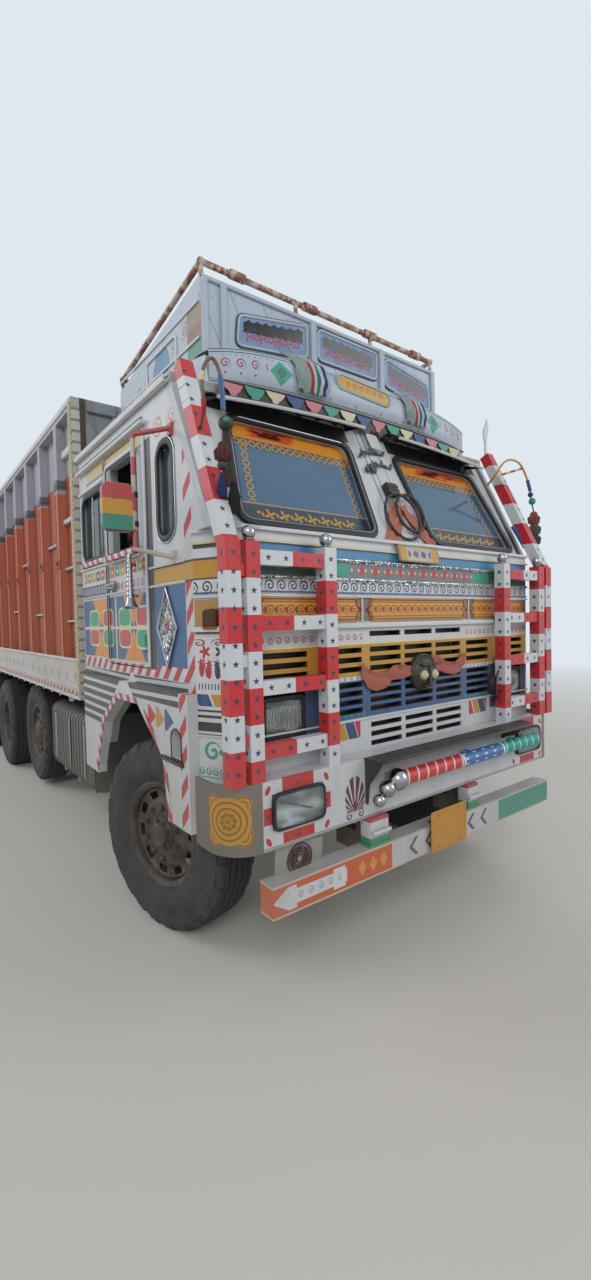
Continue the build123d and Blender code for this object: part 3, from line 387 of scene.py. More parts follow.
def raised(piece, thick, matrix, bevel=0.0, segments=1):
    # flat faces on XY pushed up Z, their upper edges rounded, then laid in place by the matrix
    openMesh(piece)
    bpy.ops.mesh.select_all(action="SELECT")
    bpy.ops.mesh.extrude_region_move(TRANSFORM_OT_translate={"value": (0, 0, thick)})
    if bevel:
        pickFaces(piece, lambda face: face.calc_center_median().z > thick * 0.99 and abs(face.normal.z) > 0.5)
        bpy.ops.mesh.bevel(offset=bevel, segments=segments, affect="EDGES")
    facesOut()
    piece.data.transform(matrix)
    return piece


def platePiece(name, outline, thick, matrix, bevel=0.0, segments=1):  # a flat outline pushed up
    piece = meshPiece(name, [(u, v, 0) for u, v in outline], [tuple(range(len(outline)))])
    return raised(piece, thick, matrix, bevel, segments)


def pipePiece(name, points, radius, sides=8, curved=False, closed=False, taper=None):
    data = bpy.data.curves.new(name, "CURVE")
    data.dimensions = "3D"
    data.bevel_depth = radius
    data.bevel_resolution = max(0, sides // 4 - 1)
    data.use_fill_caps = not closed
    line = data.splines.new("NURBS" if curved else "POLY")
    line.points.add(len(points) - 1)
    for i, point in enumerate(points):
        line.points[i].co = (*point, 1)
        if taper:
            line.points[i].radius = taper[i]
    if curved:
        line.order_u = 3
        line.use_endpoint_u = not closed
        data.resolution_u = 5
    line.use_cyclic_u = closed
    piece = bpy.data.objects.new(name, data)
    bpy.context.scene.collection.objects.link(piece)
    choose(piece)
    bpy.ops.object.convert(target="MESH")
    return bpy.context.object


def copyPiece(piece, name, matrix):
    twin = piece.copy()
    twin.data = piece.data.copy()
    twin.name = name
    twin.data.transform(matrix)
    if matrix.to_3x3().determinant() < 0:
        twin.data.flip_normals()
    bpy.context.scene.collection.objects.link(twin)
    return twin


def joined(name, parts):
    chooseNone()
    for part in parts:
        part.select_set(True)
    bpy.context.view_layer.objects.active = parts[0]
    if len(parts) > 1:
        bpy.ops.object.join()
    piece = bpy.context.view_layer.objects.active
    piece.name = name
    return piece


def removePiece(piece):
    bpy.data.objects.remove(piece, do_unlink=True)


def coat(piece, *materials):
    piece.data.materials.clear()
    for material in materials:
        piece.data.materials.append(material)
    return piece


def settle(piece, finish, smooth=35.0, body="chassis"):  # the last step of each piece
    place(coat(piece, finish))
    if smooth:
        bpy.ops.object.shade_smooth_by_angle(angle=math.radians(smooth))
    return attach(piece, body)


def applied(piece, kind, **settings):
    choose(piece)
    change = piece.modifiers.new(kind.lower(), kind)
    for key, value in settings.items():
        setattr(change, key, value)
    bpy.ops.object.modifier_apply(modifier=change.name)
    return piece


def mirrored(piece, name):  # the same piece on the truck's other side
    return copyPiece(piece, name, Matrix.Scale(-1, 4, (1, 0, 0)))


floorFinish = Paint("studioFloor")
floorTone = floorFinish.mix(floorFinish.noise(0.35, 2.0) * 0.25, lights["floor"], "cfc8bd")
floorFinish.finish(floorTone, 0.9)
# far from the truck the floor is seen as the pale sky, so that no horizon stands behind it
camRay, glossRay, clearRay = floorFinish.node("ShaderNodeLightPath", {}, {}, seenRays)
fadeStart, fadeRun = lights["fade"]
fade = ((floorFinish.length(floorFinish.x, floorFinish.y) - fadeStart) * (1 / fadeRun)).clamped()
paleFar = floorFinish.node("ShaderNodeEmission", {}, {0: lights["seenSky"], 1: 1.0})
floorBlend = floorFinish.node(
    "ShaderNodeMixShader", {},
    {
        0: fade * (camRay | glossRay | clearRay), 1: Wire(floorFinish, floorFinish.shader.outputs[0]),
        2: paleFar
    }
)
floorFinish.tree.links.new(floorBlend.socket, floorFinish.tree.nodes["Material Output"].inputs[0])
chooseNone()
bpy.ops.mesh.primitive_plane_add(size=160, location=(0, 0, -0.001))
floor = bpy.context.object
floor.name = "studioFloor"
coat(floor, floorFinish.material)


def chips(paint, amount=0.62, scale=9.0):  # small worn spots, more where the noise is high
    return paint.noise(scale, 6.0, rough=0.7) > amount


def enamel(paint, colour, dust="8f8372", low=0.4, high=2.2, most=0.42, least=0.06, rough=0.33, worn=0.69):
    # hand-brushed gloss paint: chipped to what is under it, then dusty and streaked
    streak = paint.noise(6.0, 3.0, stretch=(3.0, 3.0, 0.35))
    colour = paint.mix(chips(paint, worn, 17.0), colour, "6d625a")
    colour = paint.mix((streak - 0.45).clamped() * 0.5, colour, dust)
    colour, patches, fine = paint.weather(colour, dust, low, high, most, least)
    shine = patches * 0.35 + rough - 0.1
    return paint.finish(colour, shine, 0.0, fine * 0.4 + streak * 0.6, 0.0012)


# front panel: bands by height, and the same bands carried round the cut-back corners
def frontPaint():
    p = Paint("cabFrontPaint")
    x, z = p.x, p.z
    out = abs(x)
    corner = out > 1.089
    # along the corner, from its front edge
    run = (out - cab["edge"]) * (cab["cornerWide"] / (cab["half"] - cab["edge"]))
    flat = 1 - corner
    scrollBand = p.scroll(x.cell(0.062), z - 1.812, 0.027, 1.6)
    lozenges = p.diamond(x.cell(0.092), z - 1.895, 0.036, 0.024)
    gems = p.diamond(x.cell(0.046), z - 1.895, 0.008, 0.010)
    slant = (x + (z - 1.14) * 0.35)
    bars = (out.within(0.445, 0.625)) & z.within(1.085, 1.165)
    barTone = p.layers(
        "white", (slant.cell(0.18) < -0.03, "deepBlue"), (slant.cell(0.18).within(-0.025, 0.025), "red"),
        (slant.cell(0.18).within(0.035, 0.085), "gold")
    )
    foot = p.scroll(x.cell(0.05), z - 0.95, 0.021, 1.5) | (z.within(0.926, 0.930))
    tealRow = p.scroll(x.cell(0.04), z - 1.198, 0.014, 1.4) & out.within(0.40, 0.63)
    redRow = p.scroll(x.cell(0.045), z - 1.572, 0.017, 1.4) & (out > 0.42)
    navyRow = p.scroll(x.cell(0.04), z - 1.374, 0.010, 1.4)
    colour = p.layers(
        "white",
        (z.within(1.948, 1.995) & flat, "sky"),
        (z.within(1.858, 1.932) & flat, "70777c"),
        (z.within(1.864, 1.926) & out.within(0.50, 0.66), "teal"),
        (z.within(1.858, 1.932) & flat & (out > 0.66), "25584f"),
        (lozenges & (out < 0.49), "red"),
        (gems & (out < 0.49), "d9c9b0"),
        (scrollBand & z.within(1.789, 1.836) & flat, "navy"),
        (z.within(1.649, 1.768) & flat, "brown"),
        (z.within(1.763, 1.771), "navy"),
        (redRow & z.within(1.548, 1.60), "a83a3a"),
        (z.within(1.37, 1.545) & (out < 1.075), "gold"),
        (z.within(1.537, 1.545), "e6d9a8"),
        (z.within(1.18, 1.368) & (out < 1.075), "blue"),
        (z.within(1.364, 1.384) & (out < 0.75), "white"),
        (navyRow & (out < 0.75), "navy"),
        (z.within(1.10, 1.37) & out.within(0.66, 1.075), "deepBlue"),
        (tealRow, "teal"),
        (bars, barTone),
        (foot, "navy"),
    )
    # corner: flowers, slanted blocks, black lines and green scrolls
    bloomU, bloomV = (run - 0.165).fold(0.5) - 0.040, z - 1.535
    blooms = p.rose(bloomU, bloomV, 0.030, 5, 0.3) | p.rose(
        bloomU - 0.022, bloomV + 0.045, 0.018, 5, 0.3
    ) | p.rose(bloomU + 0.020, bloomV + 0.050, 0.018, 5, 0.3)
    stem = (abs(bloomU - (z - 1.46) * 0.18) < 0.0035) & z.within(1.425, 1.52)
    leaf = p.disc((bloomU + 0.018) * 2.4, z - 1.452, 0.034) | p.disc((bloomU - 0.02) * 2.4, z - 1.46, 0.034)
    flowerTone = p.mix(run > 0.165, "navy", "b8283c")
    ticks = (run.cell(0.017) < -0.002) & z.within(1.372, 1.398)
    slope = (run - (z - 1.325) * 0.45)
    blocks = z.within(1.300, 1.352) & (slope.cell(0.085) > -0.030)
    blockTone = p.layers("red", (slope.within(0.085, 0.17), "gold"), (slope > 0.17, "blue"))
    lines = z.within(1.192, 1.232) | z.within(1.250, 1.262) | z.within(1.276, 1.285) | z.within(1.176, 1.181)
    leaves = (p.scroll((run - 0.1275).fold(0.3) - 0.05, z - 1.105, 0.045, 1.3)
              | p.disc((run - 0.1275) * 0.7, z - 1.105, 0.014)) & (run > 0.012)
    lace = p.scroll(run.cell(0.036), z - 1.018, 0.018, 1.2) | z.within(0.992, 0.996)
    # painted shade: the walls inside the grille's slots are painted near black, as the depth of the slots
    # would shade them
    slotShade = flat & (p.y > cab["face"] + 0.007) & (z < 1.66)  # the dark insides of the grille's slots
    colour = p.layers(
        colour,
        (slotShade, "101114"),
        (corner & z.within(1.85, 1.93), "gold"),
        (corner & (z.within(1.925, 1.935) | z.within(1.842, 1.850) | z.within(1.975, 1.995)), "4a3f36"),
        (corner & p.scroll(run.cell(0.075), z - 1.81, 0.030, 1.7), "navy"),
        (corner & z.within(1.625, 1.757), "b2864a"),
        (corner & z.within(1.610, 1.625), "6b5a45"),
        (corner & p.rose(run - 0.155, z - 1.69, 0.034, 8, 0.4), "navy"),
        (corner & p.disc(run - 0.155, z - 1.69, 0.008), "white"),
        (corner & (blooms | leaf | stem), flowerTone),
        (corner & ticks, "39404d"),
        (corner & blocks & (run > 0.01), blockTone),
        (corner & lines, "23232a"),
        (corner & (leaves | lace), "teal"),
        (corner & (run < 0.004), "8a8d90"),
    )
    return enamel(p, colour, worn=0.70)


# doors and cab sides: one pattern by length and height
def sidePaint():
    p = Paint("cabSidePaint")
    y, z = p.y - cab["face"], p.z
    inside = abs(p.x) < cab["half"] - 0.004
    diag = (y + z * 0.9).cell(0.115) > 0.0
    # belt of coloured tiles, each with a darker eye
    tileU, tileV = y.cell(0.088), z - 1.968
    tileTone = p.layers("teal", ((y.cell(0.264) > 0.044), "salmon"), ((y.cell(0.264) < -0.044), "gold"))
    tileTone = p.mix(
        y.cell(0.528) > 0.0, tileTone,
        p.layers("red", ((y.cell(0.264) > 0.044), "blue"), ((y.cell(0.264) < -0.044), "green"))
    )
    tiles = p.panel(tileU, tileV, 0.038, 0.030)
    eyes = p.disc(tileU, tileV, 0.012)
    # the two blue modules of the door panel
    u = y - (y > 1.23) * 0.56 - 0.955
    v = z - 1.643
    rise = abs(v)
    arrows = (abs(u) < rise * 0.92 - 0.008) & (rise < 0.178)
    cupU, cupV = (abs(u) - 0.135), (rise - 0.058)
    cups = (cupU * (1 / 0.088)) ** 4.0 + (cupV * (1 / 0.046)) ** 4.0 < 1
    rims = (cupU * (1 / 0.100)) ** 4.0 + (cupV * (1 / 0.058)) ** 4.0 < 1
    cupTone = p.mix(abs((u > 0) - (v > 0)) > 0.5, "green", "c1433f")
    module = z.within(1.458, 1.828) & y.within(0.735, 1.868)
    scallop = (v * v < 0.000081) | (abs(y - 1.235) < 0.012) | (abs(rise - 0.183) < 0.004)
    # stripes on white below
    bars = (z - abs(y - 1.0) * 0.02).cell(0.052) > -0.006
    apex = abs(y - 1.005) < (1.405 - z) * 1.15
    points = (y - 0.365).cell(0.10)
    darts = (points + 0.05 > abs(z - 1.215) * 1.6) & z.within(1.165, 1.265) & y.within(0.365, 0.665)
    dartTone = p.layers("red", (y < 0.465, "blue"), (y.within(0.465, 0.565), "gold"))
    lace = p.scroll(y.cell(0.06), z - 1.878, 0.024, 1.5)
    upperVine = p.scroll(y.cell(0.16), z - 2.60, 0.055, 2.0) & (y < 0.70) & (z > 2.53)
    colour = p.layers(
        "c9cdd1",
        (upperVine, "b5745f"),
        (z.within(2.575, 2.69) & y.within(0.76, 1.70), "c8b482"),
        ((z.within(2.56, 2.575) | z.within(2.69, 2.705)) & y.within(0.74, 1.72), "6b6f72"),
        ((z > 2.03) & (z < 2.56) & y.within(0.235, 0.31) & ((z + y).cell(0.16) > 0.02), "red"),
        (z.within(1.925, 2.012) & (y > 0.73), "cfc7b2"),
        (tiles & (y > 0.73) & (y < 1.83), tileTone),
        (eyes & (y > 0.73) & (y < 1.83), "ead9b8"),
        (z.within(1.846, 1.915) & (y > 0.73), p.mix(y > 1.2, "cfd0d2", "4b5566")),
        (lace & z.within(1.846, 1.912) & (y > 0.73), p.mix(y > 1.2, "b0323c", "aab4c4")),
        (z.within(1.85, 1.925) & (y < 0.66), "gold"),
        ((z.within(1.925, 1.935) | z.within(1.840, 1.850)) & (y < 0.66), "3e3a36"),
        (z.within(1.455, 1.835) & y.within(0.31, 0.66), "245b8e"),
        (module, "29598a"),
        (module & arrows, "orange"),
        (module & rims, "cream"),
        (module & cups, cupTone),
        (module & scallop, "cream"),
        (z.within(1.392, 1.455) & (y > 0.30), "white"),
        (z.within(1.392, 1.455) & (y > 0.30) & diag, "red"),
        (z.within(1.06, 1.388) & bars & (y > 1.02), "2b2b30"),
        (z.within(1.285, 1.388) & bars & (y < 1.0) & (y > 0.31), "2b2b30"),
        (z.within(1.06, 1.405) & apex, "white"),
        (darts, dartTone),
        ((z < 1.84) & y.within(0.238, 0.305) & diag, "red"),
        ((z < 1.392) & (y < 0.235), "white"),
    )
    # painted shade of the gap ahead of the door
    doorGapShade = y.within(0.655, 0.745) & z.within(1.43, 2.58)
    colour = p.mix(doorGapShade, colour, "20242b")
    shell = p.mix(p.noise(3.0, 4.0), "7d8a83", "98a39b")
    colour = p.mix(inside, colour, shell)
    return enamel(p, colour, worn=0.71)


def guardPaint():
    p = Paint("guardPaint")
    x, y, z = p.x, p.y - cab["face"], p.z
    out = abs(x)
    nx = p.node("ShaderNodeSeparateXYZ", {}, {0: p.normal})
    lean = z > 1.985
    outer, middle, inner = (out > 1.163) | lean, out.within(1.072, 1.14), out.within(0.668, 0.736)
    outerRed = (z - 1.015).cell(0.28) < 0.0
    middleRed = (1.975 - z).cell(0.29) < 0.0
    innerRed = (1.975 - z).cell(0.29) > 0.0
    leanRed = (z - 1.995).cell(0.29) > 0.0
    post = outer | middle | inner
    postRed = (outer & outerRed & (z < 1.985)) | (middle & middleRed) | (inner & innerRed) | (lean & leanRed)
    near = out > 0.905
    level = (z - 1.0).row(0.26)                  # rail heights 1.13, 1.39, 1.65, 1.915
    oddRail = (level % 2.0) > 0.5               # the second and fourth rails are white outboard
    railRed = (near & (1 - oddRail)) | ((1 - near) & oddRail)
    tie = out.within(1.14, 1.163) & (z < 1.985)
    tieRed = tie & (1 - z.within(1.45, 1.56))
    red = (post & postRed) | ((1 - post) & (1 - tie) & railRed) | tieRed
    # stars down the posts' front and side faces, and along the rails
    centre = outer * 1.197 + middle * 1.106 + inner * 0.702
    faceU = (abs(nx) > 0.6) * (y + 0.0675) + (abs(nx) < 0.6) * (out - centre)
    upStars = p.star(faceU, (z - 1.03).cell(0.0715), 0.0165) & post & (1 - lean)
    tilt = (z - 1.995).cell(0.0715)
    leanStars = p.star((out - centre), tilt, 0.0155) & lean
    heights = (z - 1.0).cell(0.26)
    railStars = p.star((out - 0.72).cell(0.088), heights - (z > 1.8) * 0.005, 0.0165) & (1 - post) & (1 - tie)
    stars = upStars | leanStars | railStars
    colour = p.layers("cfd2d6", (red, "c41f2a"), (stars, "navy"))
    return enamel(p, colour, high=1.6, most=0.25, rough=0.28, worn=0.72)


def bumperPaint():
    p = Paint("bumperPaint")
    x, y, z = p.x, p.y - cab["face"], p.z
    out = abs(x)
    front = y < -0.09
    # frame of the fog lamp, its red blocks and corner leaves
    u, v = out - 0.91, z - 0.872
    frameRed = (abs(u) < 0.083) & (abs(v) > 0.083) & (abs(v) < 0.145)
    sideRed = (abs(v) < 0.035) & (abs(u) > 0.137) & (abs(u) < 0.178)
    leaf = p.disc(
        (abs(u) - 0.155) + (abs(v) - 0.105) * 0.7, (abs(v) - 0.105) * 0.5 - (abs(u) - 0.155) * 0.5, 0.014
    )
    stars = p.star(u, abs(v) - 0.108, 0.013) | p.star(abs(u) - 0.158, v, 0.012)
    # plum flower: a fan of petals over curling leaves
    fu, fv = out - 0.585, z - 0.825
    fan = (
        abs((p.angle(fu, fv + 0.055)) .cell(0.26)) < 0.085
    ) & (fv > -0.045) & (p.length(fu * 1.6, fv - 0.02) < 0.098)
    heart = p.disc(fu * 1.6, fv + 0.02, 0.022)
    curls = p.scroll(
        abs(fu) - 0.034, fv + 0.060, 0.021, 1.2
    ) | p.scroll(abs(fu) - 0.018, fv + 0.093, 0.014, 1.0)
    flower = (fan | heart | curls) & (x < 0)
    colour = p.layers(
        "c9ccd0",
        (front & (out < 1.12) & frameRed, "red"),
        (front & sideRed, "red"),
        (front & leaf, "red"),
        (front & stars, "navy"),
        (front & flower, "plum"),
        ((z < 0.7445) & front, "9a9da0"),
    )
    return enamel(p, colour, high=1.3, most=0.30, least=0.10, rough=0.36, worn=0.70)


# bare steel bumper ends with a yellow ring pattern on the outer curve
def bumperEndPaint():
    p = Paint("bumperEndSteel")
    x, y, z = p.x, p.y - cab["face"], p.z
    out = abs(x)
    bend = p.angle(out - 1.09, 0.06 - y)           # round the curved end: 0 in front, pi/2 at the side
    along = bend * 0.16 - 0.145
    u, v = along, z - 0.872
    far = p.length(u, v)
    lobes = p.length((abs(u) - 0.062), (abs(v) - 0.062))
    ground = (far < 0.098) | (lobes < 0.040)
    lines = ((far < 0.098) & (far.cell(0.024) < -0.0035)) | ((far > 0.098) & (lobes.cell(0.016) < -0.002))
    lines = lines | (p.rose(u, v, 0.045, 8, 0.6) & far.within(0.014, 0.04))
    decal = p.mix(lines, "gold", "8d5f16")
    brushed = p.noise(30.0, 3.0, stretch=(1.0, 1.0, 9.0))
    rust = chips(p, 0.66, 6.0)
    steel = p.layers("8b867f", (brushed * 0.35, "5c5751"), (rust * 0.5, "6d4d38"))
    colour = p.mix(ground, steel, decal)
    dusty, patches, fine = p.weather(colour, "8b7c68", 0.3, 1.4, 0.45, 0.05)
    return p.finish(dusty, patches * 0.3 + 0.28, (1 - ground) * 0.75, brushed * 0.5 + fine * 0.2, 0.0008)


def rollerPaint():
    p = Paint("rollerPaint")
    x, y, z = p.x, p.y - cab["face"], p.z
    ang = p.angle(y + 0.175, z - 0.905)
    wave = abs(x.cell(0.07) - ang.sine() * 0.022)
    loops = (wave < 0.005) & (x < 0.10)
    dots = p.diamond(x.cell(0.085), ang.fold(0.8) - 0.4, 0.018, 0.16) & x.within(0.115, 0.46)
    arcs = (wave < 0.005) & (x > 0.48)
    colour = p.layers("c3362f", (x > 0.105, "3b6ea6"), (x > 0.476, "1b8f86"),
                      (abs(x - 0.105) < 0.008, "white"), (abs(x - 0.476) < 0.008, "white"),
                      (loops, "white"), (dots, "d9dade"), (arcs, "9fd9cf"))
    balls = x < -0.372  # bright metal
    colour = p.mix(balls, colour, "c9c9c9")
    patches = p.noise(7.0, 4.0)
    return p.finish(colour, (1 - balls) * 0.3 + 0.08 + patches * 0.1, balls, p.noise(40.0, 2.0), 0.0006)


def lowerBarPaint():
    p = Paint("lowerBarPaint")
    x, z = p.x, p.z
    top = p.node("ShaderNodeSeparateXYZ", {}, {0: p.normal}, (2,)) > 0.6
    u, v = x + 0.86, z - 0.532
    shaft = (abs(u - 0.03) < 0.15) & (abs(v) < 0.030)
    head = (u + 0.22 > abs(v) * 1.6) & (u < -0.10) & (abs(v) < 0.048) & (u > -0.215)
    tail = (u > 0.10) & (u < 0.17) & (abs(v) < 0.045) & ((u - 0.10) * 0.5 + 0.012 < abs(v) + 0.028)
    arrow = shaft | head | tail
    fill = (abs(v) < 0.019) & (abs(u - 0.02) < 0.125)
    vine = p.scroll(u.cell(0.055), v, 0.017, 1.3) & fill
    leaves = p.diamond((x + 0.48).cell(0.07), z - 0.532, 0.026, 0.036) & x.within(-0.62, -0.41)
    chevrons = ((x - abs(z - 0.532)).cell(0.12) > 0.035) & x.within(-0.30, 0.42) & (abs(z - 0.532) < 0.045)
    colour = p.layers(
        "cb5221",
        (leaves, "dd8f32"),
        (arrow, "white"), (vine, "9a9da3"),
        (x > -0.387, "c3c6ca"),
        (chevrons, "33405c"),
        (x > 0.52, "1f8f83"),
        (top, "b9bab8"),
        ((abs(v) > 0.058) & (1 - top), "c9b9a6"),
    )
    return enamel(p, colour, high=1.2, most=0.35, least=0.12, worn=0.70)


def screenPaint():  # windscreen frame: white, with a dark strip down each outer pillar
    p = Paint("screenFramePaint")
    x, z = p.x, p.z
    out = abs(x)
    strip = out.within(1.115, 1.165)
    lines = x.within(-0.062, -0.055) | x.within(-0.020, -0.014) | (x + (z - 2.4) * 0.06).within(0.078, 0.083)
    # the dark band across the frame's head, above the panes, is painted shadow of the visor
    colour = p.layers("cdd1d5", (strip, "1f2229"), (out > 1.165, "b9bec3"),
                      (lines, "3d4f66"), ((z > 2.655) & (abs(x - 0.01) > 0.16) & (out < 1.06), "23262f"))
    return enamel(p, colour, high=2.2, most=0.2)


def crownPaint():
    p = Paint("crownPaint")
    x, y, z = p.x, p.y - cab["face"], p.z
    out = abs(x)
    side = out > 0.92
    front = y < 0.62
    seams = (abs((x + z * 0.5).cell(0.21)) < 0.004) & front
    sideVine = p.scroll((y + z * 0.3).cell(0.13), (z + y * 0.16) - 3.36, 0.042, 1.8)
    sideBlocks = ((y + z).cell(0.12) > 0.0) & ((z + y * 0.145) - 3.05).within(0.0, 0.07)
    patch = side & y.within(0.60, 0.76)
    colour = p.layers(
        "b3c1d2",
        (seams, "8496ad"),
        (side & sideVine, "8a6a6c"),
        (side & sideBlocks, "a8484e"),
        (side & ((y - 1.10) * (y - 1.10) + (z - 3.16) * (z - 3.16) < 0.012), "3b7fae"),
        (patch & z.within(3.20, 3.30), "8c7a62"),
        (patch & z.within(3.14, 3.20), "8a4a44"),
        (patch & z.within(3.02, 3.14), "23836c"),
    )
    return enamel(p, colour, low=2.6, high=3.6, most=0.10, least=0.16, worn=0.66)


def visorPaint():
    p = Paint("visorPaint")
    lip = (p.z < 2.712) & (p.y - cab["face"] < 0.262)
    colour = p.mix(lip, "23252b", "b9b6ac")
    return enamel(p, colour, low=2.4, high=3.2, most=0.10, least=0.2)


def roofPaint():
    p = Paint("cabRoofPaint")
    rust = chips(p, 0.60, 4.0)
    colour = p.layers("9ea6aa", (rust * 0.6, "7b5b45"))
    return enamel(p, colour, low=2.6, high=3.2, most=0.25, least=0.3)


def loadPaint():  # boards between stakes: red below, grey above, a white lace band at the foot
    p = Paint("loadBodyPaint")
    x, y, z = p.x, p.y - load["front"], p.z
    out = abs(x)
    onPost = out > 1.165
    board = abs(y.cell(0.185)) > 0.0895
    wear = p.noise(5.0, 6.0, stretch=(1.0, 1.0, 0.25), rough=0.65)
    tintRow = p.noise(1.3, 2.0, stretch=(0.2, 4.0, 0.05))
    body = p.layers(
        "a4452f", ((tintRow - 0.35).clamped(), "c05a3f"), ((wear > 0.62) * 0.7, "7c4a3a"),
        (onPost * 0.6, "c46a4d")
    )
    upper = p.layers("9aa1aa", ((wear > 0.60) * 0.6, "7f7d7c"), (onPost * 0.5, "a9a4b5"))
    edge = z - 2.77 + onPost * 0.12
    colour = p.mix(edge > 0, body, upper)
    colour = p.mix(board & (out < 1.165), colour, "38302d")
    # the band at the foot and the frames round it
    petals = p.rose(y.cell(0.24), z - 1.30, 0.055, 6, 0.5)
    pins = p.diamond(y.cell(0.24), z - 1.30, 0.014, 0.02)
    band = z < 1.432
    colour = p.layers(
        colour,
        (band & onPost, "c9c6c1"),
        (band & onPost & petals, "9db0b8"),
        (band & onPost & pins, "a33a3a"),
        (band & onPost & (z < 1.20) & ((y + z).cell(0.11) > 0.0), "b24a42"),
        ((z.within(1.418, 1.432)) & onPost, "a8342f"),
        (onPost & (y < 0.092), "cfcdc8"),
        (onPost & (y < 0.092) & ((z + y * 1.3).cell(0.075) > 0.018), "8e8b87"),
        ((z > 3.15) & onPost, "b7b5b0"),
    )
    return enamel(p, colour, dust="97856f", low=1.0, high=2.9, most=0.35, least=0.12, rough=0.5, worn=0.66)


def wallPaint():  # the load body's front wall and header, grey sheet
    p = Paint("loadWallPaint")
    seams = abs(p.x.cell(0.46)) > 0.226
    wear = p.noise(4.0, 5.0, stretch=(1.0, 1.0, 0.3))
    colour = p.layers("8f979e", ((wear > 0.58) * 0.5, "74716c"), (seams, "555a5f"))
    return enamel(p, colour, low=1.0, high=3.2, most=0.25, least=0.15)


def gatePaint():
    p = Paint("tailgatePaint")
    x, z = p.x, p.z - 1.175
    u, v = x.cell(0.72), z - 0.53
    frameLine = (abs(u) > 0.335) | (abs(v) > 0.47)
    inner = (abs(u) < 0.30) & (abs(v) < 0.43)
    sun = p.rose(u, v, 0.19, 12, 0.25)
    heart = p.disc(u, v, 0.075)
    petals = p.rose(u, v, 0.12, 8, 0.45)
    corners = p.disc(abs(u) - 0.30, abs(v) - 0.43, 0.10)
    trim = ((x + z).cell(0.13) > 0) & frameLine
    # the inside is plain
    colour = p.layers(
        "b4452f", (inner, "29598a"), (inner & corners, "gold"), (sun, "gold"), (petals, "c1332f"),
        (heart, "cream"), (p.disc(u, v, 0.03), "teal"), (frameLine, "c9c8c4"), (trim, "red"),
        (p.y < 4.44, "94402c")
    )
    return enamel(p, colour, low=0.9, high=2.6, most=0.35, least=0.12)


def plainPaint(name, colour, under="6d5a4b", most=0.45, least=0.12, low=0.3, high=1.6, rough=0.5):
    p = Paint(name)
    bare = chips(p, 0.66, 8.0)
    shade = p.noise(3.5, 4.0)
    base = p.layers(colour, ((shade - 0.4).clamped() * 0.6, under), (bare * 0.6, under))
    dusty, patches, fine = p.weather(base, "8c7a66", low, high, most, least)
    return p.finish(dusty, patches * 0.3 + rough - 0.12, 0.0, fine + shade * 0.5, 0.0015)


def mirrorPaint():
    p = Paint("mirrorPaint")
    x, z = p.x, p.z
    head = (abs(x) > 1.374) & z.within(2.066, 2.274)
    bands = p.layers("c2424a", (z < 2.205, "d39a32"), (z < 2.138, "23907a"), (z < 2.073, "20242a"))
    tubeRed = (z.cell(0.16) > 0.0)
    colour = p.layers("c0b6a8", (tubeRed, "b0434a"), (head, bands))
    return enamel(p, colour, low=1.8, high=2.9, most=0.15, least=0.12)


def rackPaint():
    p = Paint("rackPaint")
    band = (p.x + p.y).cell(0.5) > 0.0
    colour = p.layers("8f4b41", (band, "a06a55"), (chips(p, 0.52, 14.0), "c9bfb0"))
    return enamel(p, colour, low=3.2, high=3.7, most=0.05, least=0.25, rough=0.5)


def timber():
    p = Paint("deckTimber")
    plank = abs(p.x.cell(0.19)) > 0.0925
    grain = p.noise(3.0, 8.0, stretch=(14.0, 0.8, 3.0), rough=0.7)
    tint = p.noise(1.0, 1.0, stretch=(5.0, 0.05, 0.05))
    colour = p.layers(
        "7a6247", ((grain - 0.35).clamped() * 1.4, "4f3c29"), ((tint - 0.4).clamped(), "94795a"),
        (plank, "1d1712")
    )
    steel = p.z < 1.238
    colour = p.mix(steel, colour, "3b3633")
    dusty = p.weather(colour, "93816a", 0.9, 1.5, 0.3, 0.15)[0]
    return p.finish(dusty, 0.8, 0.0, grain - plank, 0.002)


def rubberPaint():
    p = Paint("blackRubber")
    cloud = p.noise(9.0, 4.0)
    base = p.mix((cloud - 0.4).clamped() * 0.5, "18191b", "4a443d")
    return p.finish(base, cloud * 0.3 + 0.40, 0.0, p.noise(120.0, 2.0), 0.0004)


def tyrePaint():
    p = Paint("dustyTyre")
    far = p.attribute("radial")
    cloud = p.noise(5.0, 6.0, rough=0.65)
    fine = p.noise(70.0, 3.0)
    rings = (far.cell(0.030) > 0.011) & far.within(0.33, 0.455)
    base = p.layers(
        "26262a", ((cloud - 0.30).clamped() * 1.3, "5b5752"), ((fine - 0.5).clamped() * 0.8, "75706a")
    )
    base = p.mix((far > 0.498) * 0.45, base, "2a2826")
    return p.finish(base, cloud * 0.2 + 0.72, 0.0, fine * 0.35 + rings + cloud * 0.3, 0.003)


def rimPaint():
    p = Paint("dustyWheelSteel")
    cloud = p.noise(9.0, 6.0, rough=0.65)
    grit = p.noise(60.0, 2.0)
    base = p.layers("3a3532", ((cloud - 0.35).clamped() * 1.3, "8a7866"), (chips(p, 0.62, 12.0), "5c4434"))
    return p.finish(base, cloud * 0.2 + 0.55, 0.25, grit * 0.6 + cloud, 0.002)


def chromePaint():
    p = Paint("wornChrome")
    cloud = p.noise(12.0, 4.0)
    base = p.mix((cloud > 0.60) * 0.25, "a6a8ab", "75695c")
    return p.finish(base, cloud * 0.18 + 0.05, 1.0, cloud, 0.0004)


def tinselPaint():
    p = Paint("silverTinsel")
    # painted glints: random bright and dark cells stand in for light caught by the crinkled foil
    sparkle = p.node(
        "ShaderNodeTexVoronoi", {"feature": "F1"}, {"Vector": p.place, "Scale": 130.0}, ("Color",)
    )
    tint = p.node("ShaderNodeSeparateColor", {}, {0: sparkle}, (0,))
    base = p.layers("a9adb1", (tint > 0.55, "e6e9ec"), (tint < 0.25, "55595e"))
    return p.finish(base, 0.22, 0.75, tint, 0.0015)


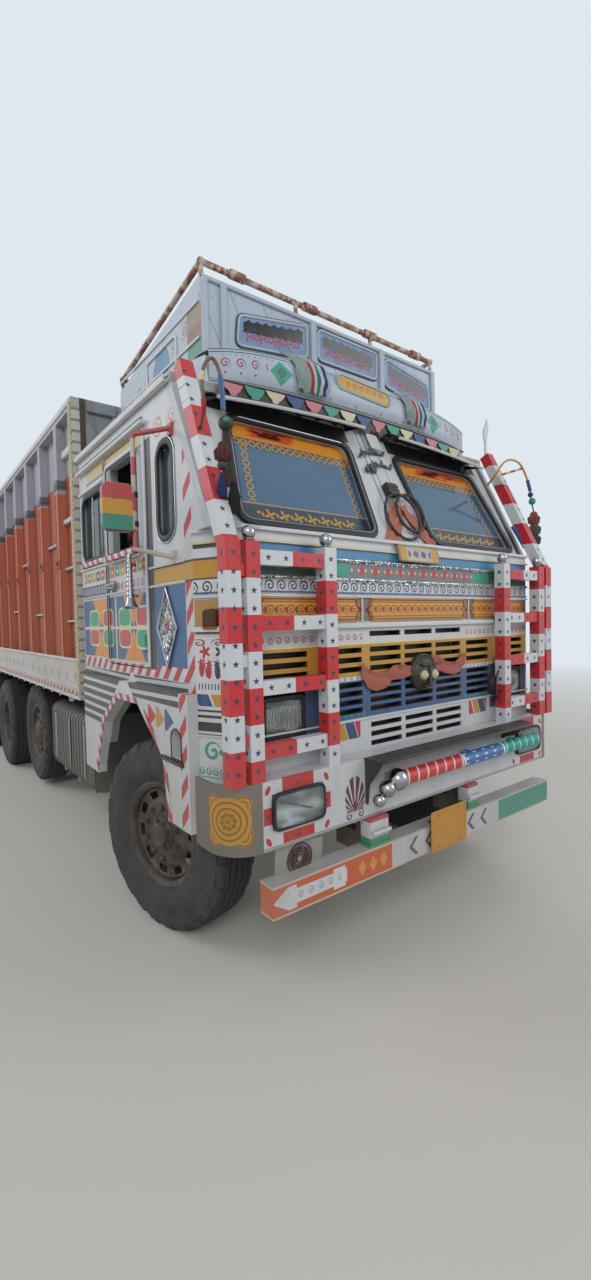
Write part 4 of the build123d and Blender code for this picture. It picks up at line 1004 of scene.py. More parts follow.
# tinted pane with a painted film at its head, a gold lace border and a gold row at the foot
def glassPaint():
    p = Paint("windscreenGlass")
    up = (p.z - cab["sill"]) * 1.1  # about the distance up the leaning pane
    out = abs(p.x)
    head = up > 0.535
    laceSide = (
        p.length(out - (1.0 - (up - 0.1) * 0.145) + 0.055, up.cell(0.045)).within(0.013, 0.020)
    ) & up.within(0.16, 0.52)
    laceIn = p.length(
        up.cell(0.045), (out - (0.232 - (up - 0.1) * 0.07) - 0.050)
    ).within(0.013, 0.020) & up.within(0.16, 0.52)
    headLace = p.length(out.cell(0.045), up - 0.508).within(0.012, 0.021)
    sideLine = laceSide | laceIn
    footBand = up.within(0.05, 0.145)
    motifs = p.rose(out.cell(0.082), up - 0.098, 0.034, 4, 0.45) & out.within(0.33, 0.93) & footBand
    buds = p.diamond((out + 0.041).cell(0.082), up - 0.098, 0.009, 0.016) & out.within(0.33, 0.93)
    footLine = up.within(0.150, 0.156)
    brush = p.noise(7.0, 4.0, stretch=(0.5, 1.0, 3.0))
    film = p.layers(
        "d98e2c", (up.within(0.555, 0.66) & (brush > 0.52), "c9502f"),
        (up.within(0.565, 0.66) & (brush > 0.60), "3c1a14")
    )
    painted = head | headLace | sideLine | motifs | buds | footLine | footBand
    colour = p.layers(
        "gold", (head, film), (footBand, "35424e"), (motifs | buds, "gold"),
        (up.within(0.528, 0.535), "e8c468")
    )
    solid = p.node("ShaderNodeBsdfPrincipled", {}, {"Base Color": colour, "Roughness": 0.32})
    smoke = p.noise(2.0, 3.0)
    p.finish(p.mix(smoke, "4a7193", "7399b8"), 0.05, 0.0, None)
    p.shader.inputs["Transmission Weight"].default_value = 0.40
    p.shader.inputs["IOR"].default_value = 1.45
    blend = p.node("ShaderNodeMixShader", {}, {0: painted, 1: Wire(p, p.shader.outputs[0]), 2: solid})
    p.tree.links.new(blend.socket, p.tree.nodes["Material Output"].inputs[0])
    return p.material


def seatCloth():
    p = Paint("seatCloth")
    x, y, z = p.x, p.y, p.z
    weave = ((x * 900.0).sine() * (z * 900.0).sine() + (y * 900.0).sine()) * 0.25
    flower = p.rose(x.cell(0.11), (y + z).cell(0.11), 0.034, 5, 0.4)
    colour = p.layers("5d1f2a", (flower, "a78345"), (p.noise(4.0, 4.0) > 0.6, "471820"))
    return p.finish(colour, 0.85, 0.0, weave + flower * 0.5, 0.0012)


paints = {
    "front": frontPaint(), "side": sidePaint(), "guard": guardPaint(), "bumper": bumperPaint(),
    "bumperEnd": bumperEndPaint(), "roller": rollerPaint(), "lowerBar": lowerBarPaint(),
    "screen": screenPaint(), "crown": crownPaint(), "visor": visorPaint(), "roof": roofPaint(),
    "load": loadPaint(), "wall": wallPaint(), "gate": gatePaint(), "mirror": mirrorPaint(),
    "rack": rackPaint(), "timber": timber(), "rubber": rubberPaint(), "tyre": tyrePaint(),
    "rim": rimPaint(), "chrome": chromePaint(), "tinsel": tinselPaint(), "glass": glassPaint(),
    "seat": seatCloth(),
    "chassis": plainPaint("dustyChassis", "2c2a28", "6a5a4a", most=0.6, least=0.25, high=1.4, rough=0.65),
    "tank": plainPaint("tankPaint", "565c60", "6d6a62", most=0.5, high=1.5, rough=0.5),
    "white": plainPaint("plainWhitePaint", "cdd0d3", "9a968e", rough=0.4, most=0.3),
    "cream": plainPaint("creamPaint", "cfc6a2", "9a8f70", rough=0.4, most=0.3),
    "gold": plainPaint("goldPaint", "c4952e", "8f6a22", rough=0.4, most=0.25),
    "blue": plainPaint("bluePaint", "1d5791", "17406b", rough=0.4, most=0.25),
    "red": plainPaint("redPaint", "bd222b", "7f2026", rough=0.38, most=0.25),
    "dash": plainPaint("dashPlastic", "26282a", "3d3c3a", most=0.3, high=2.2, rough=0.6),
    "shell": plainPaint("cabInterior", "8a958d", "5f675f", most=0.25, high=2.6, rough=0.6),
    "flap": plainPaint("flapRubber", "1b1b1c", "3a342d", most=0.7, high=1.2, rough=0.75),
    "orange": plainPaint("orangeEnamel", "d6822b", "a35c20", rough=0.38, most=0.2),
    "teal": plainPaint("tealEnamel", "1f927d", "17695b", rough=0.38, most=0.2),
    "black": plainPaint("blackPaint", "1a1b1e", "35312d", rough=0.45, most=0.3),
    "salmon": plainPaint("salmonCloth", "b9705c", "8f4a3c", rough=0.8, most=0.15),
}
cadFinish = {
    "front": ["cab_front_panel"], "side": ["cab_side_right", "cab_side_left", "door_right", "door_left"],
    "guard": ["front_guards"], "bumper": ["bumper"], "bumperEnd": ["bumper_ends"],
    "roller": ["bumper_roller"], "lowerBar": ["lower_bar"], "screen": ["windscreen_frame"],
    "crown": ["crown_box"], "visor": ["sun_visor"], "roof": ["cab_roof"],
    "load": ["load_side_right", "load_side_left"], "wall": ["load_front_wall", "rear_header"],
    "gate": ["tailgate"], "mirror": ["mirrors"], "rack": ["roof_rack"], "timber": ["load_floor"],
    "glass": ["windscreens"], "seat": ["seats"], "dash": ["dashboard", "steering_wheel"],
    "shell": ["cab_floor", "cab_rear_wall"], "tank": ["fuel_tank", "air_tanks"], "flap": ["mud_flaps"],
    "red": ["rear_bumper"], "chrome": ["front_lamps"],
    "chassis": [
        "chassis_rails", "cross_members", "load_bearers", "front_axle", "lift_axle", "rear_axles",
        "leaf_springs", "propeller_shaft", "engine_block", "knuckle_right", "knuckle_left"
    ],
}
for finishName, names in cadFinish.items():
    for name in names:
        coat(nodes[name], paints[finishName])
for name, node in nodes.items():
    if name.startswith("tyre"):
        coat(node, paints["tyre"])
    if name.startswith("rim"):
        coat(node, paints["rim"])
print("paints mixed")

# Tyres and wheels: turned about the axle, outboard along local X
wheelShape = {
    "steps": 96, "discSteps": 60, "discThick": 0.009, "steer": 13.5, "spread": 0.160,
    "tyre": [  # along the axle, radius, from the outboard bead to the middle of the tread
        (0.098, 0.258), (0.1025, 0.268), (0.1065, 0.2845), (0.108, 0.296), (0.1165, 0.312), (0.1285, 0.340),
        (0.1335, 0.368),
        (0.1345, 0.374), (0.1345, 0.382), (0.1335, 0.388), (0.1345, 0.420), (0.1310, 0.444),
        (0.1300, 0.452), (0.1310, 0.458),
        (0.1275, 0.470), (0.1190, 0.490), (0.1120, 0.501), (0.1000, 0.510), (0.0920, 0.5125),
        (0.0700, 0.5140), (0.0670, 0.5060),
        (0.0600, 0.5060), (0.0570, 0.5145), (0.0280, 0.5148), (0.0250, 0.5065), (0.0180, 0.5065),
        (0.0150, 0.5150),
    ],
    "barrel": [
        (0.1062, 0.2855), (0.1085, 0.2790), (0.1050, 0.2640), (0.0990, 0.2580), (0.0620, 0.2500),
        (-0.0620, 0.2500), (-0.0990, 0.2580),
        (-0.1050, 0.2640), (-0.1085, 0.2790), (-0.1062, 0.2855), (-0.1020, 0.2820), (-0.1000, 0.2680),
        (-0.0940, 0.2520),
        (-0.0600, 0.2440), (0.0600, 0.2440), (0.0940, 0.2520), (0.1000, 0.2680), (0.1020, 0.2820),
        (0.1062, 0.2855),
    ],
    "singleDisc": [(0.079, 0.086), (0.080, 0.104), (0.080, 0.150), (0.077, 0.164), (0.066, 0.179),
        (0.060, 0.190), (0.060, 0.204),
                   (0.061, 0.218), (0.064, 0.232), (0.068, 0.240), (0.070, 0.246)],
    "singleHub": [(0.078, 0.092), (0.092, 0.090), (0.096, 0.084), (0.097, 0.068), (0.110, 0.064),
        (0.122, 0.061), (0.1265, 0.054),
                  (0.1275, 0.030), (0.1285, 0.0)],
    "liftHub": [(0.078, 0.110), (0.094, 0.108), (0.101, 0.096), (0.112, 0.086), (0.121, 0.066),
        (0.126, 0.040), (0.128, 0.0)],
    "twinDisc": [(0.040, 0.098), (0.016, 0.120), (0.012, 0.150), (0.013, 0.172), (0.030, 0.190),
        (0.042, 0.202), (0.054, 0.216),
                 (0.070, 0.230), (0.082, 0.240), (0.090, 0.247)],
    "twinHub": [(0.014, 0.118), (0.040, 0.112), (0.044, 0.098), (0.120, 0.090), (0.126, 0.094),
        (0.134, 0.094), (0.138, 0.086),
                (0.172, 0.082), (0.186, 0.072), (0.189, 0.050), (0.190, 0.0)],
    "nuts": {"count": 10, "single": 0.1375, "twin": 0.1460, "across": 0.0165, "stud": 0.0095},
}


def columnOf(point, steps):
    return round(math.atan2(point.z, point.y) / (2 * math.pi / steps)) % steps


def nutsPiece(name, ring, base, across, stud, count, rise=0.020):
    parts = []
    for i in range(count):
        turn = 2 * math.pi * (i + 0.5) / count
        at = (math.cos(turn) * ring, math.sin(turn) * ring)
        for radius, length, sides in ((across * 1.25, 0.006, 12), (across, rise, 6), (stud, rise + 0.010, 8)):
            chooseNone()
            bpy.ops.mesh.primitive_cylinder_add(
                vertices=sides, radius=radius, depth=length, location=(base + length / 2, *at),
                rotation=(turn, math.pi / 2, 0)
            )
            parts.append(place(bpy.context.object))
    return joined(name, parts)


def discPiece(name, outline, hand):
    # a pressed disc with hand holes: three columns of every six are open between the two radii
    disc = turnedPiece(name, outline, wheelShape["discSteps"])

    def isHole(face):
        x, y, z = face.calc_center_median()
        column = int((math.atan2(z, y) % (2 * math.pi)) / (2 * math.pi / wheelShape["discSteps"]))
        return hand[0] < math.hypot(y, z) < hand[1] and column % 6 < 3

    openMesh(disc)
    pickFaces(disc, isHole)
    bpy.ops.mesh.delete(type="FACE")
    closeMesh()
    applied(disc, "SOLIDIFY", thickness=wheelShape["discThick"], offset=-1)
    return applied(disc, "SUBSURF", levels=1)


half = wheelShape["tyre"]
tyreMaster = turnedPiece("tyreMaster", half + [(-a, r) for a, r in reversed(half)], wheelShape["steps"])
openMesh(tyreMaster)
shape = bmesh.from_edit_mesh(tyreMaster.data)
bpy.ops.mesh.select_mode(type="VERT")
for point in shape.verts:  # zigzag grooves: every other pair of columns leans over
    tread = point.co.yz.length > 0.5055 and abs(point.co.x) < 0.071
    point.select_set(tread and columnOf(point.co, wheelShape["steps"]) % 4 in (1, 2))
shape.select_flush_mode()
bmesh.update_edit_mesh(tyreMaster.data)
bpy.ops.transform.translate(value=(0.007, 0, 0))


def isLug(face):  # every other block of the tyre's shoulder stands proud
    middle = face.calc_center_median()
    column = columnOf(middle + Vector((0, 0, 0.002)), wheelShape["steps"] // 2)
    return middle.yz.length > 0.470 and abs(middle.x) > 0.090 and column % 2 == 0


pickFaces(tyreMaster, isLug)
bpy.ops.mesh.extrude_region_shrink_fatten(TRANSFORM_OT_shrink_fatten={"value": -0.0055})
facesOut()
radial = tyreMaster.data.attributes.new("radial", "FLOAT", "POINT")
for i, point in enumerate(tyreMaster.data.vertices):
    radial.data[i].value = point.co.yz.length

nuts = wheelShape["nuts"]
barrel = turnedPiece("barrel", wheelShape["barrel"], 72)
singleParts = {
    "front": [
        barrel, discPiece("frontDisc", wheelShape["singleDisc"], (0.186, 0.229)),
        turnedPiece("frontHub", wheelShape["singleHub"], 40),
        nutsPiece("frontNuts", nuts["single"], 0.079, nuts["across"], nuts["stud"], nuts["count"]),
        nutsPiece("frontHubBolts", 0.0760, 0.0965, 0.0065, 0.004, 8, 0.006)
    ],
    "lift": [
        copyPiece(barrel, "liftBarrel", Matrix()),
        discPiece("liftDisc", wheelShape["singleDisc"], (0.186, 0.229)),
        turnedPiece("liftHub", wheelShape["liftHub"], 40),
        nutsPiece("liftNuts", nuts["single"], 0.079, nuts["across"], nuts["stud"], nuts["count"])
    ],
}
outer = Matrix.Translation((wheelShape["spread"], 0, 0))
inner = Matrix.Translation((-wheelShape["spread"], 0, 0))
twinDisc = discPiece("twinDisc", wheelShape["twinDisc"], (0.176, 0.236))
backDisc = copyPiece(twinDisc, "twinBackDisc", Matrix.Scale(-1, 4, (1, 0, 0)))
twinParts = [
    copyPiece(barrel, "twinBarrelOuter", outer), copyPiece(barrel, "twinBarrelInner", inner), twinDisc,
    backDisc, turnedPiece("twinHub", wheelShape["twinHub"], 40),
    nutsPiece("twinNuts", nuts["twin"], 0.013, nuts["across"], nuts["stud"], nuts["count"], 0.026),
    nutsPiece("twinHubBolts", 0.0620, 0.1860, 0.0075, 0.004, 8, 0.003)
]
rimMasters = {kind: joined(kind + "RimMaster", parts) for kind, parts in singleParts.items()}
rimMasters["twin"] = joined("twinRimMaster", twinParts)

for body in frame["bodies"]:
    if not body.startswith("wheel_"):
        continue
    name = body.removeprefix("wheel_")
    twin = name.startswith(("mid", "rear"))
    side = -1 if name.endswith("right") else 1
    tyreNode = f"tyre{'s' if twin else ''}_{name}"
    rimNode = f"rim{'s' if twin else ''}_{name}"
    low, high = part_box(tyreNode)
    turn = math.radians(wheelShape["steer"]) if name.startswith("front") else 0.0
    at = Matrix.Translation((Vector(low) + Vector(high)) / 2) @ Matrix.Rotation(turn, 4, "Z")
    at = at @ (Matrix.Rotation(math.pi, 4, "Z") if side < 0 else Matrix())
    tyres = [copyPiece(tyreMaster, "tyre", at @ shift) for shift in ((outer, inner) if twin else (Matrix(),))]
    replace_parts(settle(joined(f"{name}Tyre", tyres), paints["tyre"], 40, body), tyreNode)
    kind = "twin" if twin else name.split("_")[0]
    rim = copyPiece(rimMasters[kind], f"{name}Rim", at)
    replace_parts(settle(rim, paints["rim"], 32, body), rimNode)
for master in [tyreMaster, *rimMasters.values()]:
    removePiece(master)
print("wheels made")


# Helpers for trims: outlines on a plane, strips round the cab's front, and rings
def roundedBox(halfU, halfV, radius, steps=5):
    points = []
    for signU, signV, start in ((1, 1, 0), (-1, 1, 90), (-1, -1, 180), (1, -1, 270)):
        for i in range(steps + 1):
            turn = math.radians(start + 90 * i / steps)
            points.append((signU * (halfU - radius) + radius * math.cos(turn),
                           signV * (halfV - radius) + radius * math.sin(turn)))
    return points


def facing(x, y, z, lean=0.0, turn=0.0):  # local Z points forwards out of the truck's front, local Y up
    return (Matrix.Translation((x, cab["face"] + y, z)) @ rotation(turn, "Z")
            @ rotation(90 - lean, "X"))


# local Z points outwards from the truck's side, local X to the rear on the right side
def sideways(x, y, z, side):
    turn = -90 if side < 0 else 90
    return Matrix.Translation((x, y, z)) @ rotation(turn, "Z") @ rotation(90, "X")


def acrossAt(x):  # a side view's outline: local X is world Y, local Y is up, and Z runs across from x
    return Matrix(((0, 0, 1, x), (1, 0, 0, 0), (0, 1, 0, 0), (0, 0, 0, 1)))


def frontStrip(name, low, high, out):  # a moulding round the front and its cut-back corners
    plan = [  # each corner, and the way it moves when the strip stands out by one
        (-cab["half"], cab["cornerDepth"], 0.902, 0.431), (-cab["edge"], 0.0, 0.63, 1.0),
        (cab["edge"], 0.0, -0.63, 1.0), (cab["half"], cab["cornerDepth"], -0.902, 0.431),
    ]
    outer = [(x - out * nx, y - out * ny) for x, y, nx, ny in plan]
    inner = [(x, y - 0.0005) for x, y, nx, ny in reversed(plan)]
    return platePiece(name, outer + inner, high - low, Matrix.Translation((0, cab["face"], low)), 0.003, 2)


# a flat frame that follows an outline
def ringPiece(name, outline, outwards, inwards, thick, matrix, bevel=0.0):
    count = len(outline)
    loops = []
    for shift in (outwards, -inwards):
        loop = []
        for i, (u, v) in enumerate(outline):
            before, after = outline[i - 1], outline[(i + 1) % count]
            along = Vector((after[0] - before[0], after[1] - before[1])).normalized()
            loop.append((u + along.y * shift, v - along.x * shift, 0))
        loops.append(loop)
    faces = [(i, (i + 1) % count, count + (i + 1) % count, count + i) for i in range(count)]
    return raised(meshPiece(name, loops[0] + loops[1], faces), thick, matrix, bevel, 2)


def ballPiece(name, middle, radius, rows=12, squash=1.0):
    chooseNone()
    bpy.ops.mesh.primitive_uv_sphere_add(segments=rows * 2, ring_count=rows, radius=radius, location=middle)
    ball = bpy.context.object
    ball.name = name
    ball.scale.z = squash
    return place(ball)


# Front of the cab: a black board behind the slots as painted shade, mouldings, tinsel ropes and name panels
# left blank
frontTrim = {
    "shadeBoard": ((-1.06, 1.06), (0.0605, 0.066), (0.93, 1.63), 0.001),
    "mouldings": [  # low, high, how far proud, paint
        (0.921, 0.936, 0.014, "white"), (1.170, 1.178, 0.008, "white"), (1.620, 1.642, 0.022, "white"),
        (1.764, 1.774, 0.010, "white"), (1.783, 1.789, 0.007, "blue"), (1.992, 2.002, 0.012, "cream"),
        (2.040, 2.056, 0.018, "white"),
    ],
    "joints": (-0.42, 0.449),
    "tinsel": {"heights": (1.939, 1.848), "half": 1.085, "thick": 0.007, "tuft": 0.0125, "leaves": 9,
        "pitch": 0.022},
    "cartouches": [(-0.735, 0.300), (0.020, 0.400), (0.760, 0.285)],
}
# a black board behind the slots, a dark sheet standing in for the shade of the engine space behind them
settle(cabBox("slotShadeBoard", *frontTrim["shadeBoard"]), paints["black"])
byPaint = {}
for i, (low, high, out, finish) in enumerate(frontTrim["mouldings"]):
    byPaint.setdefault(finish, []).append(frontStrip(f"moulding{i}", low, high, out))
for x in frontTrim["joints"]:
    byPaint["white"].append(
        cabBox("bandJoint", (x - 0.006, x + 0.006), (-0.005, -0.0005), (1.642, 1.766), 0.002)
    )
for finish, strips in byPaint.items():
    settle(joined(f"{finish}FrontMouldings", strips), paints[finish], 30)

tinsel = frontTrim["tinsel"]
tuft = []
for i in range(tinsel["leaves"]):  # one tuft of foil leaves, copied along each rope
    turn = 2 * math.pi * i / tinsel["leaves"]
    chooseNone()
    bpy.ops.mesh.primitive_plane_add(size=1)
    leaf = bpy.context.object
    leaf.scale = (0.006, tinsel["tuft"], 1)
    place(leaf)
    leaf.data.transform(
        Matrix.Rotation(turn, 4, "X") @ Matrix.Translation((0.002 * (i % 3), tinsel["tuft"] * 0.5, 0))
        @ Matrix.Rotation(0.7, 4, "Y")
    )
    tuft.append(leaf)
tuftMaster = joined("tuftMaster", tuft)
for row, height in enumerate(tinsel["heights"]):
    at = Vector((0, cab["face"] - 0.010, height))
    rope = [
        pipePiece("tinselCore", [(-tinsel["half"], *at.yz), (tinsel["half"], *at.yz)], tinsel["thick"], 8)
    ]
    steps = int(2 * tinsel["half"] / tinsel["pitch"])
    for i in range(steps):
        x = -tinsel["half"] + (i + 0.5) * tinsel["pitch"]
        dip = 0.003 * math.sin(x * 21.0 + row)
        spot = Matrix.Translation((x, at.y, at.z + dip)) @ Matrix.Rotation(random.uniform(0, 6.28), 4, "X")
        rope.append(copyPiece(tuftMaster, "tuft", spot @ Matrix.Scale(random.uniform(0.75, 1.05), 4)))
    rope = joined(f"tinselRope{row}", rope)
    settle(rope, paints["tinsel"], 0)
removePiece(tuftMaster)


def cartouchePaint():  # yellow panel with an orange border line and a vine where a name would stand
    p = Paint("cartouchePaint")
    x, z = p.x, p.z
    inner = z.within(1.676, 1.740)
    vine = p.scroll(x.cell(0.055), z - 1.708, 0.025, 1.7)
    leaves = p.diamond(
        x.cell(0.055) - 0.0275, z - 1.708, 0.010, 0.020
    ) | p.diamond(x.cell(0.055) + 0.0275, z - 1.708, 0.010, 0.020)
    colour = p.layers("cf8a24", (inner, "d99a2c"), (inner & vine, "a9401f"), (inner & leaves, "7d2b1c"),
                      (z.within(1.671, 1.6755) | z.within(1.7405, 1.745), "6e4a1d"))
    return enamel(p, colour, worn=0.72)


cartoucheFinish = cartouchePaint()
panels = []
for i, (middle, half) in enumerate(frontTrim["cartouches"]):
    tip, notch, tall = half, half - 0.035, 0.046
    outline = [
        (tip, 0), (notch + 0.012, 0.014), (notch, tall), (-notch, tall), (-notch - 0.012, 0.014), (-tip, 0),
        (-notch - 0.012, -0.014), (-notch, -tall), (notch, -tall), (notch + 0.012, -0.014)
    ]
    panels.append(platePiece(f"bandPanel{i}", outline, 0.005, facing(middle, -0.0005, 1.706), 0.002, 1))
    rimLine = [(u + (0.010 if u > 0 else -0.010), v * 1.16) for u, v in outline]
    panels.append(
        ringPiece(f"bandPanelEdge{i}", rimLine, 0.003, 0.003, 0.008, facing(middle, -0.0005, 1.706), 0.001)
    )
settle(joined("bandPanels", panels), cartoucheFinish, 30)
print("front mouldings, tinsel and panels made")


# Ornament on the grille: a black disc with two small round lamps, and a salmon cloth bow either side
ornament = {
    "disc": (0.012, 1.372, 0.098),
    "bars": [  # about the disc's middle: across, ahead of the cab's face, height
        ("ornamentBar", (-0.062, 0.062), (-0.070, -0.040), (0.036, 0.048)),
        ("ornamentPost", (-0.009, 0.009), (-0.072, -0.040), (-0.075, 0.038)),
        ("ornamentFoot", (-0.036, 0.036), (-0.066, -0.034), (-0.078, -0.066)),
    ],
    "eyes": [(-0.040, -0.012), (0.044, -0.012)],
    "left": [(-0.060, 1.405), (-0.130, 1.421), (-0.212, 1.424), (-0.275, 1.395), (-0.330, 1.392),
        (-0.390, 1.410), (-0.436, 1.452),
             (-0.446, 1.438), (-0.440, 1.372), (-0.400, 1.322), (-0.350, 1.302), (-0.290, 1.312),
             (-0.235, 1.345), (-0.150, 1.345), (-0.062, 1.368)],
    "right": [(0.076, 1.444), (0.120, 1.460), (0.160, 1.450), (0.215, 1.416), (0.270, 1.408),
              (0.330, 1.432), (0.400, 1.460), (0.412, 1.444), (0.380, 1.386), (0.330, 1.350),
              (0.270, 1.336), (0.210, 1.346), (0.150, 1.369), (0.076, 1.386)],
}
middleX, middleZ, size = ornament["disc"]
disc = turnedPiece(
    "ornamentDisc",
    [
        (0, 0.0001), (0.0, size), (0.022, size), (0.028, size * 0.94), (0.024, size * 0.84),
        (0.046, size * 0.66), (0.058, size * 0.30), (0.060, 0.0001)
    ],
    40, facing(middleX, -0.004, middleZ) @ xToZ
)
bars = [disc]
for name, across, y, up in ornament["bars"]:
    bars.append(cabBox(name, [middleX + u for u in across], y, [middleZ + v for v in up]))
settle(joined("grilleOrnament", bars), paints["black"])
eyes = []
for u, v in ornament["eyes"]:
    eyes.append(
        turnedPiece(
            "ornamentLamp",
            [
                (0.0, 0.025), (0.012, 0.025), (0.015, 0.0225), (0.017, 0.020), (0.026, 0.013),
                (0.029, 0.0001)
            ],
            24, facing(middleX + u, -0.050, middleZ + v) @ xToZ
        )
    )
settle(joined("ornamentLamps", eyes), paints["cream"])


def bowPaint():
    p = Paint("bowCloth")
    weave = ((p.x * 1400.0).sine() + (p.z * 1400.0).sine()) * 0.25
    cloud = p.noise(14.0, 4.0)
    marks = p.scroll(p.x.cell(0.11), p.z - 1.405, 0.016, 1.6)
    colour = p.layers("b0675a", ((cloud - 0.45).clamped() * 0.9, "81463d"), (marks * 0.8, "55302b"))
    return p.finish(colour, 0.85, 0.0, weave + cloud, 0.0015)


bowFinish = bowPaint()
for key in ("left", "right"):
    bow = platePiece(f"bow_{key}", ornament[key], 0.004, facing(0, -0.010, 0))
    applied(bow, "REMESH", mode="VOXEL", voxel_size=0.0035)
    for point in bow.data.vertices:  # the cloth billows between its pinned ends
        u = point.co.x
        point.co.y -= 0.007 * (1 + math.sin(abs(u) * 26.0)) * min(1.0, abs(u) * 6.0) + 0.003 * math.sin(
            point.co.z * 95.0 + u * 20.0
        )
    applied(bow, "SMOOTH", factor=0.5, iterations=3)
    low, high = bow.bound_box[0], bow.bound_box[6]
    outline = ornament[key]
    area = abs(
        sum(
            outline[i - 1][0] * outline[i][1] - outline[i][0] * outline[i - 1][1]
            for i in range(len(outline))
        )
    ) / 2
    settle(bow, bowFinish, 60)
    abs(high[0] - low[0]) * 1.04
    abs(high[2] - low[2]) * 1.04
    area * 1.06
print("ornament made")


# Lamps: fluted head lamps, fog lamps in the bumper, corner indicators, horn
lampSet = {
    "head": {
        "middle": (0.900, 1.238), "half": (0.104, 0.082), "radius": 0.016, "front": 0.006, "flutes": 26
    },
    "fog": {
        "middle": (0.910, 0.882), "half": (0.135, 0.075), "radius": 0.030, "front": -0.108, "flutes": 9,
        "rim": 0.004
    },
    "indicator": {"along": 0.62, "height": 1.670, "half": (0.036, 0.040)}, "horn": (0.700, -0.020, 1.243),
}


def lensFinish(name, tint, rough):
    p = Paint(name)
    dust = p.noise(22.0, 4.0)
    material = p.finish(
        p.mix((dust - 0.4).clamped() * 0.25, tint, "a39c90"), dust * 0.12 + rough, 0.0, dust, 0.0005
    )
    p.shader.inputs["Transmission Weight"].default_value = 0.94
    p.shader.inputs["IOR"].default_value = 1.45
    return material


def reflectorFinish():
    p = Paint("lampReflector")
    x, z = p.x, p.z
    haze = p.noise(30.0, 3.0)
    cloud = p.noise(9.0, 3.0, stretch=(1.0, 1.0, 1.6))
    # painted reflections: the flute pattern gives the head lamps' bumps and also dark stripes painted between
    # them; cloudy glints and a bright band across the fog lamps are painted highlights
    flute = ((x * (math.pi * 2 / 0.0083)).sine() * 0.5 + 0.5) * (z > 1.05)
    streak = (1 - abs(z - 0.868) * 26.0).clamped() * (z < 1.05)
    glint = ((cloud - 0.50) * 5.0).clamped()
    # the glints, flute stripes and bright band below are painted light on the reflector's colour
    colour = p.layers(
        p.mix(z > 1.05, "6a7277", "3c4347"), (glint, "e9eef0"), (flute * 0.55, "1f2427"),
        (streak * 0.8, "f2f6f8")
    )
    return p.finish(colour, haze * 0.1 + 0.14, 0.85, haze + flute, 0.0008)


paints["lens"] = lensFinish("clearLens", "e8ebea", 0.05)
paints["amber"] = lensFinish("amberLens", "e07a18", 0.12)
paints["redLens"] = lensFinish("redLens", "b31b1b", 0.12)
paints["reflector"] = reflectorFinish()


def lampPiece(name, facts, x, bowed=0.010):
    halfU, halfV = facts["half"]
    at = facing(x, facts["front"], facts["middle"][1])
    shape = roundedBox(halfU, halfV, facts["radius"])
    frameRing = ringPiece(
        name + "Frame", shape, facts.get("rim", 0.014), 0.004, 0.014, at @ lifted(-0.006), 0.003
    )
    lip = ringPiece(name + "Lip", shape, 0.002, 0.008, 0.004, at @ lifted(0.006), 0.0015)
    bowl = platePiece(name + "Bowl", shape, 0.030, at @ lifted(-0.033))
    openMesh(bowl)
    ahead = (at.to_3x3() @ Vector((0, 0, 1))).normalized()
    pickFaces(bowl, lambda face: face.normal.dot(ahead) > 0.9)
    bpy.ops.mesh.inset(thickness=0.006)
    bpy.ops.mesh.extrude_region_move(TRANSFORM_OT_translate={"value": tuple(ahead * -0.014)})
    bpy.ops.mesh.inset(thickness=min(halfU, halfV) * 0.45)
    bpy.ops.transform.translate(value=tuple(ahead * -0.010))
    closeMesh()
    # the lens is a bowed grid with upright flutes
    chooseNone()
    bpy.ops.mesh.primitive_grid_add(x_subdivisions=facts["flutes"] * 4, y_subdivisions=12, size=1)
    lens = bpy.context.object
    lens.name = name + "Lens"
    for point in lens.data.vertices:
        u, v = point.co.x * 2, point.co.y * 2
        flute = 0.0012 * math.cos(u * facts["flutes"] * math.pi)
        bow = bowed * (1 - 0.5 * u * u - 0.5 * v * v)
        point.co = Vector((u * (halfU - 0.003), v * (halfV - 0.003), bow + flute * (abs(v) < 0.82)))
    lens.data.transform(at)
    applied(lens, "SOLIDIFY", thickness=0.003, offset=-1)
    return [frameRing, lip], bowl, lens


def bulbPiece(name, x, y, z):
    bulb = turnedPiece(
        name, [(-0.022, 0.009), (-0.004, 0.009), (0.004, 0.010), (0.012, 0.007), (0.015, 0.0001)], 16,
        facing(x, y, z) @ xToZ
    )
    return bulb


frames, bowls, lenses = [], [], []
for side in (-1, 1):
    for kind in ("head", "fog"):
        facts = lampSet[kind]
        x = side * facts["middle"][0]
        ring, bowl, lens = lampPiece(f"{kind}Lamp{side}", facts, x, 0.012 if kind == "head" else 0.020)
        frames += ring
        bowls += [bowl, bulbPiece(f"{kind}Bulb{side}", x, facts["front"] + 0.018, facts["middle"][1])]
        lenses.append(lens)
settle(joined("lampFrames", frames), paints["rubber"], 30)
settle(joined("lampReflectors", bowls), paints["reflector"], 30)
lampLenses = settle(joined("lampLenses", lenses), paints["lens"], 50)
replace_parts(lampLenses, "front_lamps")

cornerRun = cab["half"] - cab["edge"]
cornerTurn = math.degrees(math.atan2(cab["cornerDepth"], cornerRun))
bases, ambers = [], []
for side in (-1, 1):
    along = lampSet["indicator"]["along"]
    x, y = side * (cab["edge"] + cornerRun * along), cab["cornerDepth"] * along
    at = facing(x, y, lampSet["indicator"]["height"], 0, side * cornerTurn)
    halfU, halfV = lampSet["indicator"]["half"]
    bases.append(
        platePiece("indicatorBase", roundedBox(halfU + 0.006, halfV + 0.006, 0.010), 0.012, at, 0.003, 2)
    )
    lens = platePiece("indicatorLens", roundedBox(halfU, halfV, 0.009), 0.030, at @ lifted(0.002), 0.006, 2)
    ambers.append(lens)
settle(joined("indicatorBases", bases), paints["rubber"], 30)
settle(joined("indicatorLenses", ambers), paints["amber"], 30)

